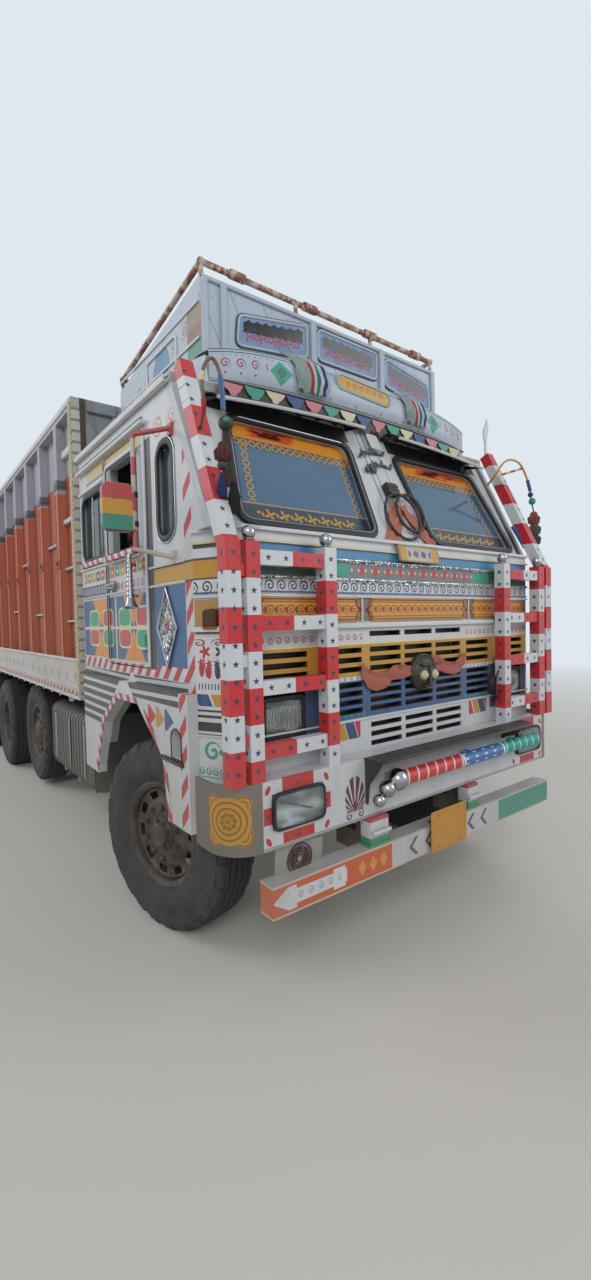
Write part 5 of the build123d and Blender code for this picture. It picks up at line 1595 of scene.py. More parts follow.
hornX, hornY, hornZ = lampSet["horn"]
horn = turnedPiece(
    "horn",
    [
        (-0.030, 0.0001), (-0.030, 0.060), (-0.010, 0.066), (0.0, 0.060), (0.014, 0.062), (0.020, 0.096),
        (0.026, 0.102), (0.032, 0.098), (0.026, 0.088), (0.012, 0.040), (0.010, 0.022), (0.018, 0.016),
        (0.020, 0.0001)
    ],
    40, facing(hornX, hornY, hornZ, 0, 18) @ xToZ
)
hornArm = cabBox("hornArm", (hornX - 0.015, hornX + 0.015), (-0.030, 0.002), (hornZ + 0.04, hornZ + 0.13))
settle(joined("discHorn", [horn, hornArm]), paints["black"])
print("lamps and horn made")


# Guard tops, bumper step, tow blocks, number plate and the other things on the bumper
bumperSet = {
    "balls": {"x": (1.106, 0.702), "y": -0.0675, "z": 2.011, "radius": 0.0295},
    "rollerBalls": [(-0.382, 0.905, 0.0530), (-0.451, 0.874, 0.0400), (-0.504, 0.831, 0.0300)],
    "step": {"x": (-0.523, 0.822), "y": (-0.214, -0.098), "z": (1.004, 1.017), "ribs": 4, "ribPitch": 0.024},
    "tow": [(-0.455, 0.062), (0.292, 0.048)],
    "plate": {"middle": (0.030, -0.158, 0.570), "half": (0.148, 0.105)},
    "roundel": {"middle": (-0.886, -0.062, 0.640), "half": (0.128, 0.072), "lean": 4.0},
}
balls = []
topper = bumperSet["balls"]
for side in (-1, 1):
    for x in topper["x"]:
        balls.append(
            ballPiece("guardBall", (side * x, cab["face"] + topper["y"], topper["z"]), topper["radius"])
        )
        balls.append(
            turnedPiece(
                "guardCup",
                [(-0.036, 0.0205), (-0.028, 0.024), (-0.020, 0.0175), (-0.014, 0.019), (-0.010, 0.014)], 24
            )
        )
        balls[-1].data.transform(
            Matrix.Translation((side * x, cab["face"] + topper["y"], topper["z"])) @ xToZ
        )
for x, z, radius in bumperSet["rollerBalls"]:
    balls.append(ballPiece("rollerBall", (x, cab["face"] - 0.175, z), radius, 16))
settle(joined("chromeBalls", balls), paints["chrome"], 40)

step = bumperSet["step"]
x0, x1 = step["x"]
y0, y1 = (cab["face"] + y for y in step["y"])
outline = [
    (x0 + 0.03, y0), (x1 - 0.07, y0), (x1 - 0.02, y0 + 0.02), (x1, y0 + 0.07), (x1, y1), (x0, y1),
    (x0, y0 + 0.03)
]
tread = platePiece("stepTread", outline, step["z"][1] - step["z"][0], lifted(step["z"][0]), 0.003, 1)
ribs = [tread]
for i in range(step["ribs"]):  # raised along the tread
    y = y0 + 0.022 + i * step["ribPitch"]
    ribs.append(
        boxPiece(
            "treadRib", (x0 + 0.05, y, step["z"][1] - 0.001), (x1 - 0.10, y + 0.007, step["z"][1] + 0.003),
            0.0012, 1
        )
    )
for x, drop in ((x0 + 0.004, 0.135), (x1 - 0.200, 0.0)):
    web = [
        (y1, 1.005), (y1, 0.935 - drop), (y1 - 0.016, 0.935 - drop), (y1 - 0.026, 0.945 - drop * 0.4),
        (y0 + 0.030, 0.965), (y0 + 0.004, 1.005)
    ]
    ribs.append(platePiece("stepWeb", web, 0.010, acrossAt(x), 0.002, 1))
settle(joined("bumperStep", ribs), paints["black"], 30)


def towPaint():
    p = Paint("towBlockPaint")
    colour = p.layers("c9ccd0", (p.z < 0.640, "1f8f6f"), (p.z > 0.715, "a83238"))
    return enamel(p, colour, high=1.1, most=0.3, least=0.12)


blocks = []
for x, half in bumperSet["tow"]:
    blocks.append(cabBox("towBlock", (x - half, x + half), (-0.128, -0.060), (0.599, 0.732), 0.005, 2))
    blocks.append(
        cabBox("towFoot", (x - half - 0.010, x + half + 0.010), (-0.134, -0.056), (0.599, 0.609), 0.002)
    )
    blocks.append(
        turnedPiece(
            "towPin", [(-0.060, 0.0001), (-0.060, 0.010), (0.060, 0.010), (0.060, 0.0001)], 12,
            Matrix.Translation((x, cab["face"] - 0.139, 0.665))
        )
    )
settle(joined("towBlocks", blocks), towPaint(), 30)

facts = bumperSet["plate"]
at = facing(*facts["middle"])
plate = [
    platePiece("numberPlate", roundedBox(*facts["half"], 0.012), 0.003, at, 0.001, 1),
    ringPiece(
        "numberPlateRib", roundedBox(facts["half"][0] - 0.014, facts["half"][1] - 0.014, 0.008), 0.003,
        0.003, 0.0045, at, 0.001
    )
]
for u in (-0.085, 0.085):  # bolts
    for v in (-0.078, 0.078):
        plate.append(
            platePiece(
                "plateBolt", roundedBox(0.007, 0.007, 0.006), 0.008, at @ Matrix.Translation((u, v, 0.001)),
                0.002, 1
            )
        )
settle(
    joined("blankNumberPlate", plate),
    plainPaint("plateYellow", "c98a22", "8a5a18", most=0.35, high=1.1, rough=0.45)
)
hanger = [
    cabBox(
        "plateHanger", (facts["middle"][0] + dx - 0.012, facts["middle"][0] + dx + 0.012), (-0.157, -0.095),
        (0.580, 0.604), 0.002
    )
    for dx in (-0.09, 0.09)
]
settle(joined("plateHangers", hanger), paints["chassis"])

facts = bumperSet["roundel"]
at = facing(*facts["middle"]) @ rotation(-facts["lean"], "Z")
shield = platePiece("roundelPlate", roundedBox(*facts["half"], 0.006), 0.004, at, 0.0015, 1)
settle(shield, plainPaint("roundelGrey", "9b9a96", "5c4434", most=0.4, rough=0.5))
rings = [
    turnedPiece(
        "roundelRing",
        [
            (0.003, radius - 0.004), (0.009, radius - 0.003), (0.010, radius), (0.009, radius + 0.003),
            (0.003, radius + 0.004)
        ],
        40
    )
    for radius in (0.064, 0.050, 0.040, 0.030, 0.018)
]
for i in range(8):
    rings.append(
        turnedPiece(
            "roundelPetal", [(0.002, 0.0001), (0.003, 0.012), (0.010, 0.010), (0.013, 0.0001)], 14,
            Matrix.Translation(
                (0, 0.049 * math.sin(i * math.pi / 4), 0.049 * math.cos(i * math.pi / 4))
            ) @ Matrix.Diagonal((1, 0.7, 0.7, 1))
        )
    )
roundel = joined("roundelOrnament", rings)
roundel.data.transform(at @ xToZ)
settle(roundel, plainPaint("roundelMaroon", "3a1f20", "5c4434", most=0.2, rough=0.5))
print("bumper pieces made")


# Windscreen: rubber seals with a bright bead, on the leaning plane
screenPlane = Matrix.Translation((0, cab["face"] + cab["footBack"], cab["sill"])) @ Matrix.Rotation(
    math.atan2(cab["top"] - cab["sill"], cab["headBack"] - cab["footBack"]), 4, "X")
paneShape = {"foot": 0.040, "head": 0.640, "inner": (0.235, 0.190), "outer": (1.050, 0.960), "corner": 0.07}


def paneOutline(side, grow=0.0):
    low, high = paneShape["foot"] - grow, paneShape["head"] + grow
    corners = [(paneShape["inner"][0] - grow, low), (paneShape["outer"][0] + grow, low),
               (paneShape["outer"][1] + grow, high), (paneShape["inner"][1] - grow, high)]
    radius = paneShape["corner"] + grow * 0.5
    points = []
    for i, corner in enumerate(corners):
        here = Vector(corner)
        before = (Vector(corners[i - 1]) - here).normalized() * radius
        after = (Vector(corners[(i + 1) % 4]) - here).normalized() * radius
        for step in range(7):
            t = step / 6
            points.append(here + before * (1 - t) ** 2 + after * t ** 2)
    if side < 0:
        points = [Vector((-p.x, p.y)) for p in reversed(points)]
    return points


seals, beads = [], []
for side in (-1, 1):
    outline = paneOutline(side)
    seal = ringPiece(
        f"seal{side}", [tuple(p) for p in outline], 0.024, 0.016, 0.020, screenPlane @ lifted(0.001), 0.007
    )
    seals.append(seal)
    bead = [screenPlane @ Vector((p.x, p.y, 0.020)) for p in paneOutline(side, -0.003)]
    beads.append(pipePiece(f"sealBead{side}", bead, 0.0035, 8, closed=True))
settle(joined("windscreenSeals", seals), paints["rubber"], 40)
settle(joined("sealBeads", beads), paints["chrome"], 60)
print("windscreen seals made")


# Crown: bulged band with its valance of flags, window frames, films and mullions, cloth wraps, rack fittings
crownShape = {
    "front": 0.41, "half": 1.0, "low": (2.795, 0.032), "high": (3.036, 0.078), "bulge": 0.062,
        "wallFront": 0.60,
    "windows": [  # inner corners: foot left, foot right, head right, head left
        ((-0.715, 3.142), (-0.250, 3.205), (-0.250, 3.372), (-0.700, 3.290)),
        ((-0.150, 3.222), (0.330, 3.228), (0.330, 3.385), (-0.150, 3.385)),
        ((0.430, 3.212), (0.870, 3.150), (0.850, 3.310), (0.430, 3.375)),
    ],
    "mullions": (-0.200, 0.380),
    "flag": {"pitch": 0.124, "tall": 0.074, "colours": ["pink", "teal", "cream", "blue"]},
}


def cabSpot(x, y, z): return x, cab["face"] + y, z
def bandFoot(x): return crownShape["low"][0] + crownShape["low"][1] * (1 - x * x)
def bandHead(x): return crownShape["high"][0] - crownShape["high"][1] * x ** 4
# how far the band stands ahead: its plan bows back at the ends
def bandShade(x): return crownShape["bulge"] * (1 - x ** 4)


def bandFront(x, z):  # the band's outer face at a place, leaning back above its head
    v = (z - bandFoot(x)) / (bandHead(x) - bandFoot(x))
    lean = max(z - bandHead(x), 0.0) * 1.3
    return cab["face"] + crownShape["front"] - 0.004 - math.sin(
        math.pi * (0.10 + 0.82 * min(max(v, 0.0), 1.0))
    ) * bandShade(x) + lean


def bulgePaint():
    p = Paint("bulgePaint")
    x, run = p.x, p.attribute("rise")
    out = abs(x)
    lines = run.within(
        0.955, 0.985
    ) | run.within(0.875, 0.905) | run.within(0.07, 0.10) | run.within(0.14, 0.155)
    diamond = p.diamond(out - 0.610, run - 0.52, 0.070, 0.30)
    small = p.diamond(out - 0.610, run - 0.52, 0.034, 0.15)
    vines = p.scroll((out - 0.72).cell(0.080), (run - 0.58) * 0.18, 0.026, 1.5) & out.within(0.690, 0.990)
    dots = p.disc(out.cell(0.080), (run - 0.34) * 0.18, 0.006) & out.within(0.69, 0.99)
    blooms = p.rose((x - 0.02).cell(0.20), (run - 0.22) * 0.18, 0.012, 6, 0.5) & (out < 0.60)
    dashes = (x.cell(0.034) > 0.004) & run.within(0.78, 0.83) & (out < 0.95)
    colour = p.layers(
        "b4c2d4", (lines, "27324a"), (vines | dots, "a43c58"), (diamond, "teal"), (small, "17715f"),
        (blooms, "b8404c"), (dashes, "8098bb")
    )
    return enamel(p, colour, low=2.6, high=3.6, most=0.10, least=0.14, worn=0.66)


def tinted(name, colour):  # plain enamel high up on the truck, where there is less dust
    return plainPaint(name, colour, "6d625a", most=0.2, high=3.4, low=1.5)


paints["bulge"] = bulgePaint()
for key in ("pink", "blue", "sky"):
    paints[key + "Flag"] = tinted(key + "FlagPaint", key)


# a grid whose points come from point(u, v), with number attributes
def gridPiece(name, across, up, point, marks=()):
    chooseNone()
    bpy.ops.mesh.primitive_grid_add(x_subdivisions=across, y_subdivisions=up, size=1)
    piece = bpy.context.object
    piece.name = name
    values = {key: [] for key, _ in marks}
    for spot in piece.data.vertices:
        u, v = spot.co.x + 0.5, spot.co.y + 0.5
        spot.co = Vector(point(u, v))
        for key, value in marks:
            values[key].append(value(u, v))
    for key, numbers in values.items():
        piece.data.attributes.new(key, "FLOAT", "POINT").data.foreach_set("value", numbers)
    return piece


def bandPoint(u, v):
    x = (u * 2 - 1) * (crownShape["half"] - 0.004)
    z = bandFoot(x) + v * (bandHead(x) - bandFoot(x))
    return x, bandFront(x, z), z


band = gridPiece("crownBand", 56, 16, bandPoint, [("rise", lambda u, v: v)])
applied(band, "SOLIDIFY", thickness=0.008, offset=-1)


def capPoint(u, v):  # the sheet from the band's head back to the wall
    x = (u * 2 - 1) * (crownShape["half"] - 0.004)
    start = bandFront(x, bandHead(x))
    return x, start + v * (
        cab["face"] + crownShape["wallFront"] + 0.004 - start
    ), bandHead(x) + v * 0.022 + 0.010 * math.sin(math.pi * v) - 0.002


cap = gridPiece("crownBandCap", 40, 6, capPoint, [("rise", lambda u, v: 0.5)])
applied(cap, "SOLIDIFY", thickness=0.006, offset=-1)
for piece in (band, cap):
    openMesh(piece)
    facesOut()
settle(band, paints["bulge"], 50)
settle(cap, tinted("bandCapPaint", "aebccd"), 50)

# valance: a row of flags that nearly touch, over black sheet with a ragged zigzag edge
flag = crownShape["flag"]
flagParts = {name: [] for name in flag["colours"]}
count = int(2 * 0.96 / flag["pitch"])
for i in range(count):
    x = -0.96 + (i + 0.5) * flag["pitch"]
    half = flag["pitch"] / 2 - 0.002
    foot = bandFoot(x)
    tall = flag["tall"] * (0.92 + 0.12 * math.sin(i * 2.3))
    shape = [
        (-half, 0), (-half * 0.74, -tall * 0.40), (-half * 0.40, -tall * 0.62),
        (-half * 0.24, -tall * 0.94), (half * 0.10, -tall), (half * 0.34, -tall * 0.70),
        (half * 0.62, -tall * 0.50), (half, -tall * 0.06), (half, 0.010), (-half, 0.010)
    ]
    turn = math.degrees(math.atan2(bandFoot(x + 0.05) - bandFoot(x - 0.05), 0.1))
    at = Matrix.Translation(
        (x, bandFront(x, foot) - 0.034, foot)
    ) @ rotation(-turn, "Y") @ rotation(84 + 5 * (i % 3), "X")
    flagParts[flag["colours"][i % 4]].append(platePiece("valanceFlag", shape, 0.003, at, 0.001, 1))
valanceFinish = {"pink": "pinkFlag", "teal": "teal", "cream": "cream", "blue": "blueFlag"}
for name, parts in flagParts.items():
    settle(joined(f"{name}ValanceFlags", parts), paints[valanceFinish[name]], 0)
backs = []
for i in range(2 * count):
    x = -0.96 + (i + 0.5) * flag["pitch"] / 2
    half, foot = flag["pitch"] / 4 + 0.001, bandFoot(x)
    deep = 0.070 + 0.020 * (i % 2)
    shape = [
        (-half, 0.012), (-half, -deep + 0.016), (-half * 0.3, -deep), (half * 0.4, -deep + 0.004),
        (half, -deep + 0.018), (half, 0.012)
    ]
    backs.append(
        platePiece(
            "valanceBack", shape, 0.003,
            Matrix.Translation((x, bandFront(x, foot) - 0.026, foot)) @ rotation(90, "X")
        )
    )
cordLine = [
    (x / 20, bandFront(x / 20, bandFoot(x / 20)) - 0.036, bandFoot(x / 20) + 0.006) for x in range(-19, 20)
]
backs.append(pipePiece("valanceCord", cordLine, 0.005, 8))
settle(joined("valanceBacking", backs), paints["black"], 40)

# blank name panel with a small vine, pale teal edge
x = -0.026
at = facing(x, bandFront(x, 2.972) - cab["face"] - 0.004, 2.972, 4.0) @ rotation(-3, "Z")
nameShape = roundedBox(0.205, 0.034, 0.033, steps=8)


def namePaint():
    p = Paint("namePanelPaint")
    vine = p.scroll((p.x + 0.026).cell(0.052), p.z - 2.972, 0.019, 1.5) & (abs(p.x + 0.026) < 0.165)
    return enamel(p, p.mix(vine, "c9a052", "a95632"), worn=0.70)


settle(platePiece("crownNamePanel", nameShape, 0.006, at, 0.002, 2), namePaint(), 30)
settle(
    ringPiece("crownNameEdge", nameShape, 0.012, -0.002, 0.009, at, 0.003),
    tinted("crownPanelEdge", "8fb9b4"), 30
)


# crown windows: a dark pane behind pale film, torn to scallops at the head and printed with a red motif below
def filmPaint():
    p = Paint("tornFilm")
    along, rise = p.attribute("along"), p.attribute("rise")
    cloud = p.noise(16.0, 4.0)
    scallop = abs((along * math.pi * 8.0).sine()) * 0.09 + cloud * 0.10
    opening = (rise < 0.97 - scallop) & (rise > 0.36 + cloud * 0.16) & (
        abs(along - 0.5) < 0.47 - cloud * 0.05
    )
    motif = p.rose(along.cell(0.2), (rise - 0.33) * 0.36, 0.074, 5, 0.5) & (abs(along - 0.5) < 0.40)
    stem = p.scroll((along + 0.1).cell(0.2), (rise - 0.30) * 0.36, 0.052, 1.6) & (abs(along - 0.5) < 0.40)
    torn = p.mix((cloud - 0.42).clamped() * 1.6, "7b93b3", "4b5d7a")
    glass = p.mix((cloud - 0.5).clamped() * 2.0, "0c0e15", "2d3443")
    colour = p.layers(p.mix(opening, torn, glass), ((stem | motif) & (rise < 0.60), "9c2f41"))
    return p.finish(colour, 0.5 - opening * 0.32, 0.0, opening, 0.002)


film = filmPaint()
frames, darkLines, panesMade = [], [], []
for i, (footLeft, footRight, headRight, headLeft) in enumerate(crownShape["windows"]):
    shape = []
    ends = [Vector(q) for q in (footLeft, footRight, headRight, headLeft)]
    for k, here in enumerate(ends):  # corners rounded over 25 mm
        before, after = (ends[k - 1] - here).normalized() * 0.025, (
            ends[(k + 1) % 4] - here
        ).normalized() * 0.025
        shape += [tuple(here + before * (1 - t / 4) ** 2 + after * (t / 4) ** 2) for t in range(5)]
    at = facing(0, crownShape["wallFront"] - 0.002, 0)
    frames.append(ringPiece("crownWindowFrame", shape, 0.014, 0.0, 0.012, at, 0.004))
    darkLines.append(ringPiece("crownWindowLine", shape, 0.020, -0.013, 0.006, at, 0.001))

    def panePoint(u, v):
        low, high = ends[0].lerp(ends[1], u), ends[3].lerp(ends[2], u)
        spot = low.lerp(high, v)
        return spot.x, cab["face"] + crownShape["wallFront"] - 0.005, spot.y

    pane = gridPiece("crownPane", 4, 3, panePoint, [("along", lambda u, v: u), ("rise", lambda u, v: v)])
    applied(pane, "SOLIDIFY", thickness=0.004, offset=0)
    panesMade.append(pane)
settle(joined("crownPanes", panesMade), film, 0)
settle(joined("crownWindowLines", darkLines), paints["black"], 30)
mullions = []
for x in crownShape["mullions"]:
    mullions.append(cabBox("mullion", (x - 0.018, x + 0.018), (0.578, 0.602), (3.030, 3.425), 0.005, 2))
    mullions.append(cabBox("mullionEdge", (x + 0.024, x + 0.034), (0.586, 0.602), (3.030, 3.425)))
for x in (-0.912, -0.800, 0.912):
    mullions.append(cabBox("crownPost", (x - 0.018, x + 0.018), (0.582, 0.602), (3.000, 3.428), 0.004))
mullions.append(cabBox("crownHeadRail", (-0.93, 0.93), (0.585, 0.602), (3.408, 3.430), 0.004))
settle(joined("crownWindowFrames", frames + mullions), tinted("crownFramePaint", "b3c1d2"), 30)

# side windows of the crown and the seams of its sheets
sideParts = []
for side in (-1, 1):
    at = sideways(side * 0.930, cab["face"] + 1.10, 3.16, side)
    sideParts.append(ringPiece("crownSideFrame", roundedBox(0.20, 0.085, 0.02), 0.018, 0.0, 0.010, at, 0.003))
    for z in (3.115, 3.300):
        sideParts.append(
            cabBox("crownSideRail", (side * 0.929, side * 0.938), (0.62, 1.77), (z, z + 0.016), 0.002)
        )
settle(joined("crownSideTrim", sideParts), paints["white"], 30)


# cloth wraps round the band: a pale cloth beside upright stripes, tied at its foot
def wrapPaint():
    p = Paint("wrapCloth")
    run = p.attribute("across")
    stripeTone = p.layers(
        "b9bfc4", (run.within(0.02, 0.18), "b83a34"), (run.within(0.18, 0.34), "c9cdd0"),
        (run.within(0.34, 0.50), "1d7f6a"), (run.within(0.50, 0.66), "cdd2d6"),
        (run.within(0.66, 0.84), "1f3c7e")
    )
    fold = p.noise(20.0, 3.0, stretch=(3.0, 3.0, 0.3))
    weave = ((p.x * 1500.0).sine() + (p.z * 1500.0).sine()) * 0.2
    # painted shade: the plain cloth is lighter and darker along the fold noise
    plain = p.mix(fold, "8fa3a4", "a9b6b3")
    colour = p.mix(run < 0.0, stripeTone, plain)
    # painted shade darkening the creases of the folds
    colour = p.mix((fold - 0.45).clamped() * 0.6, colour, "4f575c")
    return p.finish(colour, 0.85, 0.0, fold + weave, 0.003)


wrapFinish = wrapPaint()


def wrapPiece(name, left, right, low, high):
    columns, rows = 44, 22
    points, faces, across = [], [], []
    for j in range(rows + 1):
        v = j / rows
        for i in range(columns + 1):
            u = i / columns
            pinch = 1 - 0.20 * math.exp(-((v - 0.10) / 0.10) ** 2) + 0.05 * math.sin(v * 9)
            x = (left + right) / 2 + (u - 0.5) * (right - left) * pinch
            z = low + v * (high - low) + 0.008 * math.sin(u * 17 + v * 3)
            folds = 0.010 * math.sin(u * 30.0 + 1.5 * math.sin(v * 5)) + 0.004 * math.sin(u * 71.0)
            over = 0.016 if 0.06 < u < 0.94 else 0.006
            points.append((x, bandFront(x, z) - over - abs(folds) * 0.9, z))
            across.append((u - 0.38) / 0.62)
    for j in range(rows):
        for i in range(columns):
            a = j * (columns + 1) + i
            faces.append((a, a + 1, a + columns + 2, a + columns + 1))
    piece = meshPiece(name, points, faces)
    mark = piece.data.attributes.new("across", "FLOAT", "POINT")
    for i, value in enumerate(across):
        mark.data[i].value = value
    applied(piece, "SOLIDIFY", thickness=0.003, offset=1)
    applied(piece, "SUBSURF", levels=1, render_levels=1)
    settle(piece, wrapFinish, 60)


wrapPiece("nearWrap", -0.530, -0.300, 2.862, 3.110)
wrapPiece("farWrap", 0.315, 0.530, 2.870, 3.095)

# rack: sleeves round its rail
rackParts = []
for x in (-0.70, -0.20, 0.30, 0.75):
    rackParts.append(
        turnedPiece(
            "rackSleeve", [(-0.045, 0.0185), (-0.045, 0.0245), (0.045, 0.0245), (0.045, 0.0185)], 16,
            Matrix.Translation((x, -3.632, 3.508))
        )
    )
settle(joined("rackSleeves", rackParts), paints["rack"], 30)
print("crown made")


# Sun visor: a dark shade over each pane with a pale lip, and a pale plate between them
visorShape = {
    "near": (-1.045, -0.140), "far": (0.155, 0.985), "lipY": 0.245, "lipZ": 2.716, "droop": 0.045,
    "rise": 0.055, "depth": 0.155
}


def lipHeight(x): return visorShape["lipZ"] - visorShape["droop"] * x * x


shades, lips = [], []
for low, high in (visorShape["near"], visorShape["far"]):
    def shadePoint(u, v):
        x = low + (high - low) * u
        y = visorShape["lipY"] + v * visorShape["depth"]
        return cabSpot(x, y, lipHeight(x) + v * visorShape["rise"] + 0.016 * math.sin(math.pi * v))

    shade = gridPiece("visorShade", 16, 6, shadePoint)
    applied(shade, "SOLIDIFY", thickness=0.006, offset=0)
    shades.append(shade)
    for x in (low, high):
        y, z = visorShape["lipY"], lipHeight(x)
        cheek = [
            (y, z - 0.004), (y + visorShape["depth"], z + visorShape["rise"]),
            (y + visorShape["depth"], z + visorShape["rise"] - 0.035)
        ]
        shades.append(
            platePiece("visorCheek", [(cab["face"] + a, b) for a, b in cheek], 0.006, acrossAt(x - 0.003))
        )
    line = [low - 0.006 + (high - low + 0.012) * i / 12 for i in range(13)]
    lips.append(
        pipePiece(
            "visorLip", [(x, cab["face"] + visorShape["lipY"] - 0.004, lipHeight(x) - 0.004) for x in line],
            0.0085, 8
        )
    )
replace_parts(settle(joined("visorShades", shades), paints["black"], 40), "sun_visor")
settle(joined("visorLips", lips), paints["white"], 30)
gapPlate = platePiece(
    "visorGapPlate", roundedBox(0.045, 0.055, 0.02), 0.004,
    screenPlane @ Matrix.Translation((0.035, 0.700, 0.03)), 0.002, 1
)
settle(gapPlate, paints["white"], 30)
print("visor made")


# Sides of the cab: made for the right side, then mirrored. Places are behind the cab's face, above the road.
sideShape = {
    "wall": -1.2, "skirt": -1.25, "door": -1.22,
    "arch": [(0.449, 0.745), (0.449, 0.785), (0.498, 1.033), (0.797, 1.250), (1.100, 1.250), (1.365, 1.079),
        (1.495, 0.792), (1.495, 0.745)],
    "archTrim": 0.034,
    "quarter": (0.400, 0.575, 2.060, 2.500), "bunk": (1.395, 1.810, 2.080, 2.490),
        "doorWindow": (0.815, 1.280, 2.060, 2.560),
    "mosaic": (0.506, 1.640, 0.112, 0.190),
    "gutter": (0.42, 1.88, 2.752, 2.800),
    "rails": [  # white trims of the wall: from and to across, along and up
        ("headRail", (-1.199, -1.232), (0.700, 1.870), (2.652, 2.672)),
        ("bunkHood", (-1.199, -1.224), (1.37, 1.84), (2.512, 2.528)),
        ("boardEdgeTop", (-1.199, -1.209), (0.76, 1.86), (2.700, 2.708)),
        ("doorPost", (-1.199, -1.210), (0.723, 0.747), (1.44, 2.64)),
        ("doorPost", (-1.199, -1.210), (1.340, 1.364), (1.44, 2.64)),
        ("beltRail", (-1.199, -1.212), (1.36, 1.875), (2.020, 2.036)),
        ("beltRailFoot", (-1.199, -1.210), (1.36, 1.875), (1.836, 1.846)),
        ("quarterRail", (-1.199, -1.211), (0.300, 0.700), (1.930, 1.942)),
        ("quarterRailFoot", (-1.199, -1.211), (0.300, 0.700), (1.838, 1.850)),
    ],
    "doorRidges": [
        ("doorRidge", (-1.219, -1.227), (0.775, 1.312), (1.836, 1.846)),
        ("doorRidgeTop", (-1.219, -1.227), (0.775, 1.312), (2.012, 2.022)),
        ("doorRidgeFoot", (-1.219, -1.226), (0.775, 1.312), (1.450, 1.458)),
    ],
    "foothold": (0.345, 0.050, 1.055, 1.185),
    "tread": (0.272, 0.508, 1.028, 1.044),
    "teeth": {"count": 7, "pitch": 0.032},
}


def onSide(x, y, z):  # local Z points out of the right side, local X runs forwards
    return Matrix.Translation((x, cab["face"] + y, z)) @ Matrix(
        ((0, 0, -1, 0), (-1, 0, 0, 0), (0, 1, 0, 0), (0, 0, 0, 1))
    )


doors = ("door_right", "door_left")


def bothSides(name, parts, finish, smooth=30, bodies=("chassis", "chassis")):
    right = joined(name + "Right", parts)
    for piece, body in zip((right, mirrored(right, name + "Left")), bodies):
        settle(piece, finish, smooth, body)


def stripePaint():
    p = Paint("stripedEdge")
    diag = (p.y - p.z * 0.8).cell(0.105) > 0.0
    return enamel(p, p.mix(diag, "cdd1d5", "bb2530"), worn=0.70)


def mosaicPaint():  # small mirrors set in dark putty round a coloured middle
    p = Paint("mirrorMosaic")
    y, z = p.y - cab["face"] - sideShape["mosaic"][0], p.z - sideShape["mosaic"][1]
    cells = p.node(
        "ShaderNodeTexVoronoi", {"feature": "DISTANCE_TO_EDGE"}, {"Vector": p.place, "Scale": 75.0},
        ("Distance",)
    )
    tint = p.node("ShaderNodeTexVoronoi", {"feature": "F1"}, {"Vector": p.place, "Scale": 75.0}, ("Color",))
    shade = p.node("ShaderNodeSeparateColor", {}, {0: tint}, (0,))
    grout = cells < 0.045
    far = abs(y) * (1 / 0.112) + abs(z) * (1 / 0.190)
    rings = far.within(0.62, 0.70) | far.within(0.34, 0.40)
    middle = p.rose(y, z, 0.034, 6, 0.4)
    # painted reflections: each small mirror is painted lighter or darker at random, as if it caught a
    # different part of the sky
    colour = p.layers(
        "9aa3a8", (shade > 0.6, "dfe6ea"), (shade < 0.3, "4a5359"), (rings, "c39a3c"), (middle, "b02c38"),
        (p.disc(y - 0.010, z + 0.02, 0.014), "1f9a7c"), (p.disc(y + 0.012, z - 0.022, 0.013), "c23a4c"),
        (grout, "26241f")
    )
    return p.finish(colour, grout * 0.6 + 0.12, (1 - grout) * 0.8, cells, 0.002)


stripedEdge = stripePaint()
mosaic = mosaicPaint()

# window frames with a rubber line and a bright inner trim, and their panes
rubbers, trims, panes = [], [], []
for key in ("quarter", "bunk"):
    y0, y1, z0, z1 = sideShape[key]
    at = onSide(sideShape["wall"], (y0 + y1) / 2, (z0 + z1) / 2)
    halfU, halfV = (y1 - y0) / 2, (z1 - z0) / 2
    shape = roundedBox(halfU, halfV, min(0.075, halfU * 0.9), steps=8)
    rubbers.append(ringPiece("windowRubber", shape, 0.016, 0.012, 0.012, at @ lifted(-0.002), 0.004))
    trims.append(ringPiece("windowTrim", shape, 0.024, -0.017, 0.008, at, 0.002))
    panes.append(
        platePiece("sidePane", roundedBox(halfU + 0.004, halfV + 0.004, 0.02), 0.004, at @ lifted(-0.024))
    )
y0, y1, z0, z1 = sideShape["bunk"]
trims.append(cabBox("bunkBar", (-1.203, -1.195), ((y0 + y1) / 2 - 0.008, (y0 + y1) / 2 + 0.008), (z0, z1)))
sideGlass = Paint("sideGlass")
haze = sideGlass.noise(3.0, 4.0)
paints["sideGlass"] = sideGlass.finish(sideGlass.mix(haze, "3f4c52", "6d7c80"), haze * 0.1 + 0.04)
sideGlass.shader.inputs["Transmission Weight"].default_value = 0.5
bothSides("windowRubber", rubbers, paints["rubber"], 40)
bothSides("windowTrim", trims, paints["chrome"], 40)
bothSides("sidePane", panes, paints["sideGlass"], 0)

# gutter along the roof, rails over the doorway, striped sills, cream belt board
whites, stripes = [], []
y0, y1, z0, z1 = sideShape["gutter"]
whites += [
    cabBox("gutter", (-1.200, -1.226), (y0, y1), (z0, z0 + 0.012)),
    cabBox("gutterLip", (-1.220, -1.228), (y0, y1), (z0, z0 + 0.034)),
    cabBox("roofEdge", (-1.196, -1.206), (y0, y1), (z0 + 0.030, z1))
]
whites += [cabBox(*rail) for rail in sideShape["rails"]]
stripes.append(cabBox("bunkSill", (-1.199, -1.226), (1.385, 1.820), (2.038, 2.068), 0.005, 2))
bothSides("cabRail", whites, paints["white"])
arch = sideShape["arch"]
wider = []
for i, (y, z) in enumerate(arch):  # the trim follows the arch, a little above and outside it
    before = Vector(arch[max(i - 1, 0)])
    after = Vector(arch[min(i + 1, len(arch) - 1)])
    along = (after - before).normalized()
    wider.append((y - along.y * sideShape["archTrim"], z + along.x * sideShape["archTrim"]))
wider[0], wider[-1] = (arch[0][0] - sideShape["archTrim"], 0.746), (
    arch[-1][0] + sideShape["archTrim"], 0.746
)
count = len(arch)
points = [(-y, z, 0) for y, z in arch + wider]
